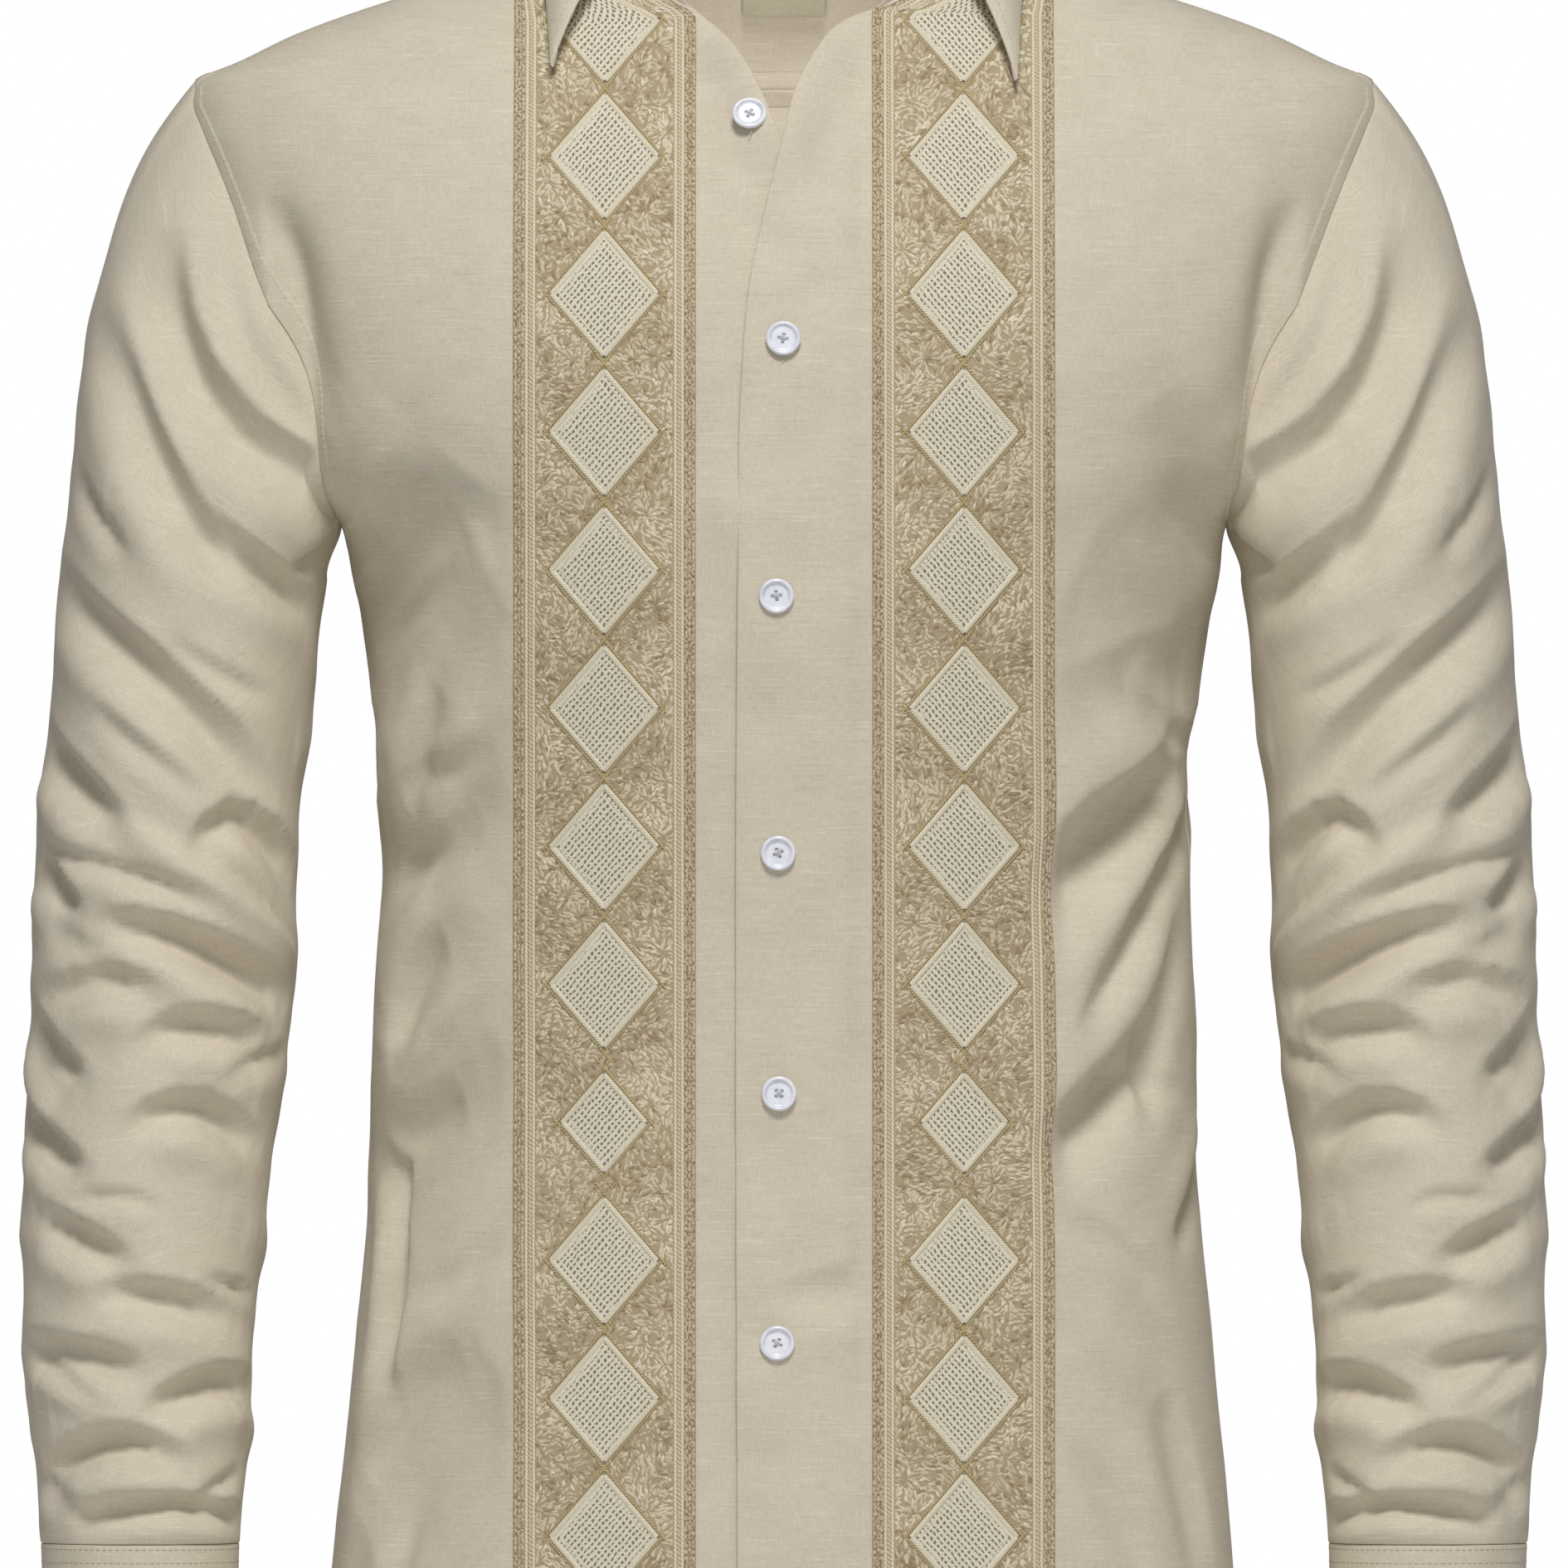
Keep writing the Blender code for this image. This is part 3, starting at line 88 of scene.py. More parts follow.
FELL_WIDTH = 6.5  # the folded seam allowance that lies under the cloth beside a seam
FELL_RISE = 0.4
SEAM_PLACES = (9.0, 7.6, 7.2, 6.8, 6.5, 5.4, 4.0, 2.4, 1.2, 0.5, 0.0)  # rows of points beside a seam

BAND_INNER_X = 35.0
BAND_OUTER_X = 108.0
LOZENGE_X = 71.5
LOZENGE_HALF_WIDTH = 22.5
LOZENGE_HALF_HEIGHT = 26.2
LOZENGE_PITCH = 55.0
FIRST_LOZENGE_Z = -41.0
LOZENGE_COUNT = 13
SMALL_LOZENGE, SMALL_SIZE = 8, 0.8  # the ninth one down is smaller
BAND_SIDE_SHARE = 0.85
BAND_EDGE_CLEAR = 3.0
BAND_NARROW = 20.0
LAP_LIFT = 2.2
LAP_INNER_X = 22.0
LAP_OUTER_X = 33.0
LAP_END_Z = (-88.0, -52.0)
EDGE_ROLL = 7.0
EDGE_ROLL_WIDTH = 24.0
ROLL_START_Z = (-118.0, -85.0)
ROLL_END_Z = (-68.0, -12.0)


def rows_of(kind: Callable[..., tuple], *rows: tuple) -> tuple:
    """A table whose rows have named columns."""
    return tuple(kind(*row) for row in rows)


# Horizontal sections of the body form, from the hem up: half width at the side, the middle's Y,
# and the depth before and behind it. Above the armpit the sides run out to the shoulder.
class BodySection(NamedTuple):
    """One level section of the body form."""

    z: float
    half_width: float
    middle_y: float
    front: float
    back: float


SECTIONS = rows_of(
    BodySection,
    (-760, 184.5, 2, 112, 124), (-745, 184.0, 2, 112, 124), (-660, 180.5, 2, 113, 124),
    (-564, 171.5, 3, 112, 120), (-507, 166.5, 4, 111, 116), (-427, 164.5, 5, 112, 113),
    (-380, 162.0, 5, 114, 114), (-315, 166.5, 6, 119, 120), (-261, 174.3, 6, 122, 127),
    (-240, 176.8, 6, 122, 129), (-216, 195.0, 7, 121, 130), (-178, 213.0, 7, 118, 129),
    (-137, 226.5, 8, 110, 126), (-100, 237.5, 10, 97, 121), (-78, 240.8, 11, 87, 115),
    (-65.5, 238.6, 12, 80, 110), (-62, 236.5, 12, 78, 108), (-54.7, 219.7, 12, 74, 105),
    (-43.3, 196.0, 13, 67, 98), (-30, 158.7, 13, 57, 90), (-17, 113.0, 14, 47, 80), (-6, 80.0, 14, 37, 66),
    (4, 52.0, 14, 28, 54),
)

SHOULDER_CALM_Z = (-60.0, -110.0)  # folds fade out between these heights, going up


# The armhole seam: its distance from the middle plane, before and behind, at each height.
class ArmholePoint(NamedTuple):
    """Distance of the armhole seam from the middle plane at a height."""

    z: float
    front_x: float
    back_x: float


ARMHOLE = rows_of(
    ArmholePoint,
    (-240, 176.8, 176.8), (-233.5, 178.5, 180.0), (-216, 184.0, 188.0), (-178.7, 196.0, 201.0),
    (-137, 211.0, 215.0), (-100, 225.7, 227.0), (-80, 234.0, 235.0), (-71.7, 237.0, 237.5),
    (-65.5, 236.3, 238.0), (-62, 236.5, 236.5),
)


# The neckline in a section's angle: 0 is the centre front, 180 the centre back.
class NeckPoint(NamedTuple):
    """Height of the neckline at a section angle."""

    degrees: float
    z: float


NECKLINE = rows_of(
    NeckPoint,
    (9, -36.5), (16, -28), (30, -18), (50, -11), (72, -8.3), (90, -6.5), (110, -7), (135, -9.5), (160, -14),
    (180, -16),
)


# Opening edges of the fronts. The left front laps over, and its edge crosses the middle plane.
class EdgePoint(NamedTuple):
    """Distance of an opening edge from the middle plane at a height."""

    z: float
    x: float


OVER_EDGE = rows_of(
    EdgePoint,
    (-760, -18.3), (-260, -18.3), (-190, -17.3), (-143, -13.3), (-113, -6.7), (-91.7, -0.7), (-70, 5.0),
    (-53.3, 13.3), (-43, 22.0), (-36.5, 33.0),
)
UNDER_EDGE = rows_of(
    EdgePoint,
    (-760, 16.5), (-220, 16.5), (-150, 14.0), (-113, 6.0), (-91.7, -0.7), (-73.3, -8.3), (-50, -21.7),
    (-36.5, -36.0),
)


# The sleeve's level sections, from under the armhole down to the cuff, and then the cuff's own.
class SleeveSection(NamedTuple):
    """One level section of the sleeve form."""

    z: float
    middle_x: float
    middle_y: float
    half_width: float
    half_depth: float


SLEEVE = rows_of(
    SleeveSection,
    (-714, 257.0, -19, 37.5, 37), (-649, 258.3, -18, 39.8, 39), (-617, 258.0, -16, 42.0, 42),
    (-572, 258.8, -12, 45.3, 45.5), (-530, 257.5, -8, 48.0, 49), (-480, 254.0, -3, 50.0, 53),
    (-430, 250.0, 2, 52.0, 56), (-368, 248.0, 5.3, 52.0, 57), (-310, 242.0, 7.2, 52.5, 59),
    (-263, 237.5, 8.3, 53.0, 61), (-178, 223.0, 8, 53.0, 62), (-100, 203.0, 8, 53.0, 60),
    (-62, 190.0, 8, 53.0, 58),
)
CAP_BOTTOM_Z = -263.0
CUFF_TOP_Z = -649.3
CUFF_BOTTOM_Z = -714.0
CUFF_CROWN = 0.5  # the cuff's middle stands this much further out than its edges
CUFF_LAP = 1.9  # how far the cuff's outer end stands off the end under it
LEAVE_OUT_TOP = 0.62  # how the sleeve's cloth leaves the armhole: outwards, most at the shoulder
LEAVE_OUT = 0.03
LEAVE_DOWN_TOP = 0.75  # downwards at the shoulder, and straight down under the arm
LEAVE_FORWARD = 0.35  # to the front and the back beside it
ARRIVE_OUT = 0.1  # how far it still spreads at the cap's bottom
CUFF_BUTTON_DEGREES = 292.0
CUFF_START_DEGREES = CUFF_BUTTON_DEGREES - 18  # where the cuff's inner end lies
CUFF_TURN_DEGREES = 360 + 34  # once round and over its own end
CUFF_LAP_DEGREES = (300, 350)  # from its start, where its outer end comes off the sleeve's line


# Folds, as soft troughs along a bent path of three points. "x" is the distance from the middle
# plane on that side, "ridge" the rise beside the trough as a share of its depth, and a trough
# with a depth below zero is a raised ridge.
class Fold(NamedTuple):
    """One soft fold along a bent path of three points."""

    x0: float
    z0: float
    x1: float
    z1: float
    x2: float
    z2: float
    half_width: float
    depth: float
    ridge: float

    @property
    def spots(self) -> tuple[tuple[float, float], ...]:
        """Its path's three points."""
        return (self.x0, self.z0), (self.x1, self.z1), (self.x2, self.z2)


FRONT_FOLDS_RIGHT = rows_of(
    Fold,
    (203, -118, 197, -165, 183, -217, 9, 4.5, 0.2), (128, -220, 152, -247, 173, -270, 20, 6, 0.3),
    (142, -307, 148, -330, 155, -353, 11, 4, 0.4), (125, -357, 142, -373, 160, -380, 11, 4, 0.4),
    (136, -407, 150, -430, 152, -452, 12, 5, 0.3), (133, -469, 148, -481, 160, -487, 13, 4, 0.3),
    (163, -496, 155, -525, 160, -590, 9, 6, 0.3), (130, -571, 151, -590, 168, -623, 12, 5, 0.3),
)
FRONT_FOLDS_LEFT = rows_of(
    Fold,
    (203, -118, 197, -165, 183, -217, 9, 4.5, 0.2), (150, -190, 163, -225, 172, -265, 16, 4, 0.3),
    (162, -338, 128, -367, 85, -413, 18, 9, 0.25), (163, -358, 147, -392, 118, -450, 9, 6, 0.5),
    (158, -410, 143, -453, 95, -500, 13, 7, 0.4), (153, -433, 151, -455, 148, -480, 8, 3, 0.3),
    (166, -492, 164, -510, 158, -530, 9, 4, 0.3), (-2, -553, 16, -549, 36, -541, 9, 2.5, 0.2),
    (150, -590, 160, -620, 168, -660, 13, 4, 0.3),
)
BACK_FOLDS = rows_of(
    Fold,
    (200, -140, 192, -180, 184, -225, 10, 5, 0.3), (120, -205, 148, -240, 170, -275, 17, 5, 0.3),
    (165, -330, 130, -360, 80, -392, 16, 7, 0.3), (160, -375, 138, -410, 100, -455, 12, 6, 0.4),
    (20, -352, 55, -368, 92, -372, 14, 5, 0.3), (160, -440, 140, -475, 105, -515, 13, 5, 0.3),
    (30, -430, 42, -490, 46, -560, 14, 4, 0.3), (120, -560, 140, -600, 150, -660, 13, 4, 0.3),
)
SLEEVE_FRONT_FOLDS = rows_of(
    Fold,
    (251, -131, 226, -194, 183, -236, 10, 6.0, 0.4), (267, -164, 251, -216, 219, -273, 9, 4.5, 0.4),
    (233, -240, 212, -257, 190, -276, 8, 4.5, 0.4), (288, -265, 251, -302, 210, -350, 10, 6.0, 0.4),
    (295, -328, 281, -347, 268, -363, 9, 5.0, 0.4), (234, -372, 218, -358, 200, -379, 8, 5.0, 0.3),
    (262, -363, 223, -390, 199, -416, 7, -4.0, 0.0), (272, -403, 241, -407, 202, -431, 9, 7.0, 0.4),
    (300, -374, 292, -386, 284, -397, 8, 4.0, 0.4), (293, -430, 272, -423, 249, -429, 8, 4.5, 0.4),
    (257, -452, 238, -441, 210, -448, 8, 4.5, 0.4), (301, -440, 293, -452, 283, -465, 9, 4.5, 0.4),
    (262, -485, 238, -474, 213, -491, 8, 5.0, 0.4), (303, -476, 293, -490, 281, -500, 8, 4.5, 0.4),
    (297, -518, 280, -527, 263, -538, 8, 4.5, 0.4), (278, -551, 250, -550, 222, -560, 8, 4.5, 0.4),
    (302, -571, 276, -574, 258, -582, 8, 4.5, 0.4), (255, -598, 232, -585, 216, -587, 8, 5.0, 0.4),
    (294, -621, 268, -608, 241, -617, 8, 6.0, 0.5), (281, -641, 251, -633, 219, -640, 6, 5.0, 0.5),
)
SLEEVE_BACK_FOLDS = rows_of(
    Fold,
    (255, -131, 230, -186, 188, -234, 13, 4.5, 0.3), (280, -205, 262, -250, 225, -290, 10, 5.0, 0.4),
    (286, -300, 255, -322, 205, -338, 10, 6.0, 0.4), (205, -365, 240, -372, 290, -352, 10, 6.5, 0.4),
    (203, -398, 246, -410, 292, -398, 9, 6.0, 0.4), (210, -440, 250, -436, 288, -446, 9, 5.0, 0.4),
    (298, -478, 262, -486, 222, -476, 9, 5.0, 0.4), (215, -520, 248, -528, 286, -516, 9, 5.0, 0.4),
    (295, -556, 262, -566, 228, -560, 8, 5.0, 0.4), (222, -596, 252, -604, 286, -594, 8, 5.0, 0.5),
    (290, -628, 260, -634, 226, -626, 7, 5.0, 0.5),
)


# The collar stand leans with the neckline: how far its top edge lies out, back and up from it.
class StandLean(NamedTuple):
    """How the collar stand rises from the neckline."""

    degrees: float
    out: float
    back: float
    up: float


STAND_LEAN = rows_of(
    StandLean,
    (9, 24, 10, 23), (16, 17, 8, 28), (30, 8, 5, 32), (50, 1, 2, 34), (90, -4, 0, 35), (135, -3, -3, 35),
    (180, 0, -6, 34),
)
NECK_MIDDLE = np.array([0.0, 20.0, 0.0])  # inside the neck, for telling out from in
STAND_BOW = 0.9  # the stand's middle rows lie this much further out
STAND_SEAT = 0.95  # the stand's foot lies this far inside and above the neckline


# The collar leaf's free edge lies on the shirt: its place on the body form, and how far off it.
class LeafEdge(NamedTuple):
    """A place of the collar leaf's front edge."""

    degrees: float
    x: float
    z: float
    off: float


LEAF_START_DEGREES = 12.0
LEAF_EDGE = rows_of(
    LeafEdge,
    (12, 92.5, -61.5, 9.0), (20, 93.8, -46.0, 6.0), (32, 95.0, -32.0, 4.6), (50, 98.0, -22.0, 4.2),
)


LEFT_POINT_DROP = 5.5  # the left collar point hangs this much lower than the right one
LEFT_DROP_DEGREES = (LEAF_START_DEGREES, 32.0)


class LeafBackEdge(NamedTuple):
    """A place of the collar leaf's back edge."""

    degrees: float
    z: float
    off: float


LEAF_BACK_EDGE = rows_of(
    LeafBackEdge,
    (90, -13.0, 4.0), (110, -16.0, 4.0), (135, -21.0, 4.0), (160, -25.0, 4.0), (180, -27.0, 4.0),
)


# The leaf rolls over the stand: out from the stand's inner face, and up from its top.
class RollPoint(NamedTuple):
    """A step of the leaf's roll over the stand."""

    out: float
    up: float


LEAF_ROLL = rows_of(
    RollPoint,
    (0, 0.9), (0.1, 2.9), (1.9, 4.6), (4.3, 3.4),
)
LEAF_BULGE = 4.0
LEAF_ROLL_ROWS = 13  # rows of points over the roll
LEAF_FALL_ROWS = 26  # and from there down to the free edge


# Front buttons from the top down. The first is on the right front alone, and open.
class ButtonPlace(NamedTuple):
    """Where a front button sits."""

    x: float
    z: float
    on_over_front: bool


FRONT_BUTTONS = rows_of(
    ButtonPlace,
    (-13.7, -80.7, False), (-0.3, -168.3, True), (-3.0, -270.0, True), (-2.3, -372.3, True),
    (-2.0, -468.3, True), (-2.7, -567.7, True), (-2.7, -667.0, True),
)
STAND_BUTTON_DEGREES = -14.5
LABEL_HALF_WIDTH = 17.0
LABEL_TOP_Z = -18.5
LABEL_BOTTOM_Z = -33.0
LABEL_OFF = 0.9  # the label lies this far inside the yoke's inner face


# A button's face stands level to its rim, which rises and falls away round the outside.
class ButtonPoint(NamedTuple):
    """A point of a button's half profile."""

    radius: float
    height: float


BUTTON_RIM = rows_of(
    ButtonPoint,
    (4.4, 1.35), (4.9, 1.6), (5.4, 2.2), (5.9, 2.55), (6.4, 2.45), (6.75, 2.15), (7.0, 1.6),
)
BUTTON_UNDERSIDE = rows_of(
    ButtonPoint,
    (6.95, 1.2), (6.6, 0.6), (5.8, 0.15), (4.6, 0.0),
)
BUTTON_DISH = 3.0  # the holes' hollow lies within this radius
HOLE_DEPTH = 1.25
HOLE_SOFTNESS = (-0.12, 0.16)  # a hole's wall runs between these distances from its edge


# How the cloth's folds differ from the solids' own: deeper, with a lip over a steep upper wall.
class FoldLook(NamedTuple):
    """How deep and how crisp a sheet's folds are."""

    strength: float
    crisp: float  # 0 is a soft trough, 1 has the whole lip
    wall: float  # the steep wall's width as a share of the fold's half width
    lip: float  # the lip's rise as a share of the fold's depth


BODY_LOOK = FoldLook(1.5, 0.6, 1.1, 0.18)
SLEEVE_LOOK = FoldLook(1.7, 0.9, 1.0, 0.22)
LIP_POWER = 1.7
FOLD_END_SHARE = 0.2  # a fold keeps this share of its depth at its ends
FOLD_TAPER_POWER = 2.5
RIDGE_PLACE = 1.9  # half widths from a fold's path to the ridge beside it
FOLD_STEPS = 5  # straight steps in a fold's curve
LIP_FALL = 1.1
CALM_ROWS = 9  # rows of a sleeve over which its folds rise from the armhole seam
TUCKED_SHARE = 0.7  # how far a turned-under edge closes on the cloth again
BAND_CALM = 0.8  # how much of a fold's depth the embroidered band holds flat
BAND_CALM_INNER = (22.0, 34.0)
BAND_CALM_OUTER = (104.0, 120.0)

# Broad hollows at the sides of the fronts, which the solids don't have.
BROAD_FOLDS_RIGHT = rows_of(
    Fold,
    (200, -112, 193, -150, 180, -205, 12, 3.6, 0.1), (118, -262, 142, -276, 172, -304, 34, 8.0, 0.0),
    (112, -340, 138, -356, 162, -380, 24, 5.0, 0.1), (112, -452, 140, -478, 164, -510, 22, 5.0, 0.1),
    (114, -580, 138, -606, 166, -650, 28, 6.0, 0.1),
)
BROAD_FOLDS_LEFT = rows_of(
    Fold,
    (200, -112, 193, -150, 180, -205, 12, 3.6, 0.1), (118, -258, 146, -276, 172, -306, 32, 6.0, 0.0),
    (108, -330, 140, -312, 166, -306, 22, 4.0, 0.1), (158, -452, 128, -478, 98, -520, 20, 3.4, 0.1),
)

# Finer folds, which the solids don't have.
FINE_FOLDS_RIGHT = rows_of(
    Fold,
    (138, -255, 152, -272, 168, -290, 7, 1.8, 0.3), (118, -322, 132, -338, 150, -342, 6, 1.5, 0.3),
    (120, -430, 134, -446, 150, -470, 6, 1.6, 0.3), (112, -520, 128, -540, 148, -552, 7, 1.6, 0.3),
    (150, -640, 158, -668, 166, -700, 8, 2.0, 0.3), (28, -110, 12, -124, 2, -138, 5, 0.9, 0.2),
)
FINE_FOLDS_LEFT = rows_of(
    Fold,
    (28, -140, 14, -150, 2, -158, 5, 0.9, 0.2), (140, -300, 152, -318, 166, -330, 7, 1.8, 0.3),
    (165, -343, 142, -362, 112, -396, 12, 4.5, 0.2), (112, -368, 126, -352, 150, -345, 6, 1.6, 0.3),
    (128, -470, 142, -462, 160, -470, 6, 1.6, 0.3), (112, -520, 130, -528, 150, -548, 7, 1.6, 0.3),
    (112, -610, 130, -630, 146, -660, 8, 2.0, 0.3),
)
FINE_SLEEVE_FOLDS = rows_of(
    Fold,
    (257, -142, 242, -192, 206, -234, 16, 2.8, 0.0), (224, -138, 212, -172, 192, -210, 8, 2.0, 0.0),
    (281, -222, 273, -238, 263, -254, 5, 1.8, 0.3), (177, -241, 187, -249, 197, -259, 5, 2.2, 0.3),
    (246, -288, 228, -300, 208, -311, 5, 2.0, 0.3), (275, -314, 254, -333, 232, -351, 5, 2.0, 0.3),
    (297, -369, 264, -380, 229, -392, 5, 2.2, 0.3), (297, -398, 285, -409, 268, -416, 7, 1.6, 0.3),
    (225, -463, 214, -457, 202, -452, 5, 1.8, 0.3), (304, -448, 298, -460, 288, -474, 6, 1.6, 0.3),
    (285, -512, 264, -510, 251, -516, 4, 1.8, 0.3), (233, -542, 224, -545, 214, -549, 4, 1.8, 0.3),
    (302, -571, 288, -583, 272, -592, 4, 1.8, 0.3), (235, -630, 227, -625, 219, -621, 4, 1.8, 0.3),
    (300, -622, 290, -630, 276, -636, 6, 1.6, 0.3),
)

# The pale row of stitches down the under front: its distance from the middle plane.
PLACKET_ROW = rows_of(
    EdgePoint,
    (-760, -14.3), (-160, -14.3), (-113.3, -20.0), (-80.7, -24.0), (-56.7, -26.7),
)


# ---- reading tables and small vector helpers ----


def smooth(x: Array | float, xs: Array, ys: Array) -> Array:
    """A smooth curve through the points (xs, ys), with xs rising, level beyond its ends."""
    step = np.diff(xs)
    rise = np.diff(ys) / step
    inner = (rise[:-1] * step[1:] + rise[1:] * step[:-1]) / (step[1:] + step[:-1])
    slope = np.concatenate([rise[:1], inner, rise[-1:]])
    k = np.clip(np.searchsorted(xs, x, side="right") - 1, 0, len(step) - 1)
    t = np.clip((x - xs[k]) / step[k], 0, 1)
    start = (1 + 2 * t) * (1 - t) ** 2 * ys[k] + t * (1 - t) ** 2 * step[k] * slope[k]
    end = t * t * (3 - 2 * t) * ys[k + 1] + t * t * (t - 1) * step[k] * slope[k + 1]
    return start + end


@cache
def column(table: tuple, name: str) -> Array:
    """One named column of a table."""
    return np.array([getattr(row, name) for row in table], float)


def from_table(x: Array | float, table: tuple, value: str, key: str = "") -> Array:
    """The value column of a table, read smoothly at x along its key column, which is usually its first."""
    return smooth(np.asarray(x, float), column(table, key or table[0]._fields[0]), column(table, value))


def ramp(x: Array | float, start: float, end: float) -> Array:
    """0 at start, 1 at end, easing in and out between them."""
    t = np.clip((np.asarray(x, float) - start) / (end - start), 0, 1)
    return t * t * (3 - 2 * t)


def unit(vector: Array) -> Array:
    """Vectors scaled to length 1."""
    return vector / np.maximum(np.linalg.norm(vector, axis=-1, keepdims=True), 1e-9)


def net_ways(points: Array, wraps: bool = False) -> Array:
    """Directions square to a net of points, by the differences between neighbours."""
    if wraps:
        around = np.roll(points, -1, axis=1) - np.roll(points, 1, axis=1)
    else:
        around = np.gradient(points, axis=1)
    return unit(np.cross(around, np.gradient(points, axis=0)))


def net_faces(index: Array) -> Array:
    """Four-cornered faces between neighbours in a net of point numbers."""
    corners = (index[:-1, :-1], index[:-1, 1:], index[1:, 1:], index[1:, :-1])
    return np.stack([corner.ravel() for corner in corners], axis=-1)


def repeated(triangles: Array, count: int, points: int) -> Array:
    """The triangles of this many copies of a shape with this many points."""
    return (triangles[None] + np.arange(count)[:, None, None] * points).reshape(-1, 3)


def side_word(side: int) -> str:
    """The wearer's side in words."""
    return "left" if side > 0 else "right"


def run_lengths(points: Array) -> Array:
    """Distance along a line of points, from its first."""
    steps = np.linalg.norm(np.diff(points, axis=0), axis=-1)
    return np.concatenate([[0.0], np.cumsum(steps)])


def along(values: Array, places: Array) -> Array:
    """Values of a line of points, read between them at fractional places."""
    low = np.clip(places.astype(int), 0, len(values) - 2)
    share = (places - low)[:, None]
    return values[low] * (1 - share) + values[low + 1] * share


# ---- forms ----


def bowed(path: Sequence[tuple]) -> list[tuple[float, float]]:
    """A curve through a path's three points, as a chain of short straight steps."""
    ends = np.array(path, float)
    middle = 2 * ends[1] - (ends[0] + ends[2]) / 2
    found = []
    for share in np.linspace(0, 1, FOLD_STEPS + 1):
        spot = (1 - share) ** 2 * ends[0] + 2 * share * (1 - share) * middle + share * share * ends[2]
        found.append((float(spot[0]), float(spot[1])))
    return found


def trough(across: Array, up: Array, path: Sequence[tuple], fold: Fold, look: FoldLook) -> Array:
    """Depth of one fold at places (across, up), with its path's points in the same plane."""
    result = np.zeros(np.broadcast(across, up).shape)
    nearest = np.full(result.shape, 1e9)
    path = bowed(path)
    lengths = [math.dist(here, after) for here, after in zip(path, path[1:])]
    heading = math.copysign(1.0, path[-1][0] - path[0][0])
    for number in range(len(lengths)):
        (x0, z0), (x1, z1) = path[number], path[number + 1]
        dx, dz = (x1 - x0) / lengths[number], (z1 - z0) / lengths[number]
        run = np.clip((across - x0) * dx + (up - z0) * dz, 0, lengths[number])
        off_x = across - x0 - run * dx
        off_z = up - z0 - run * dz
        distance = np.maximum(np.hypot(off_x, off_z), 1e-6)
        side = off_x * dz - off_z * dx
        below = 0.5 + 0.5 * heading * side / distance
        share = (run + sum(lengths[:number])) / sum(lengths)
        taper = np.clip(1 - np.abs(2 * share - 1) ** FOLD_TAPER_POWER, 0, 1)
        taper = taper * (1 - FOLD_END_SHARE) + FOLD_END_SHARE
        soft = -np.exp(-((distance / fold.half_width) ** 2))
        wall = distance / (fold.half_width * look.wall)
        beyond = look.lip * np.exp((1 - wall) * LIP_FALL)
        lip = np.where(wall < 1, (1 + look.lip) * wall**LIP_POWER - 1, beyond)
        shape = soft + (lip - soft) * (1 - below) * look.crisp
        shape = shape + fold.ridge * np.exp(-((side / fold.half_width - RIDGE_PLACE) ** 2))
        result = np.where(distance < nearest, look.strength * fold.depth * taper * shape, result)
        nearest = np.minimum(nearest, distance)
    return result


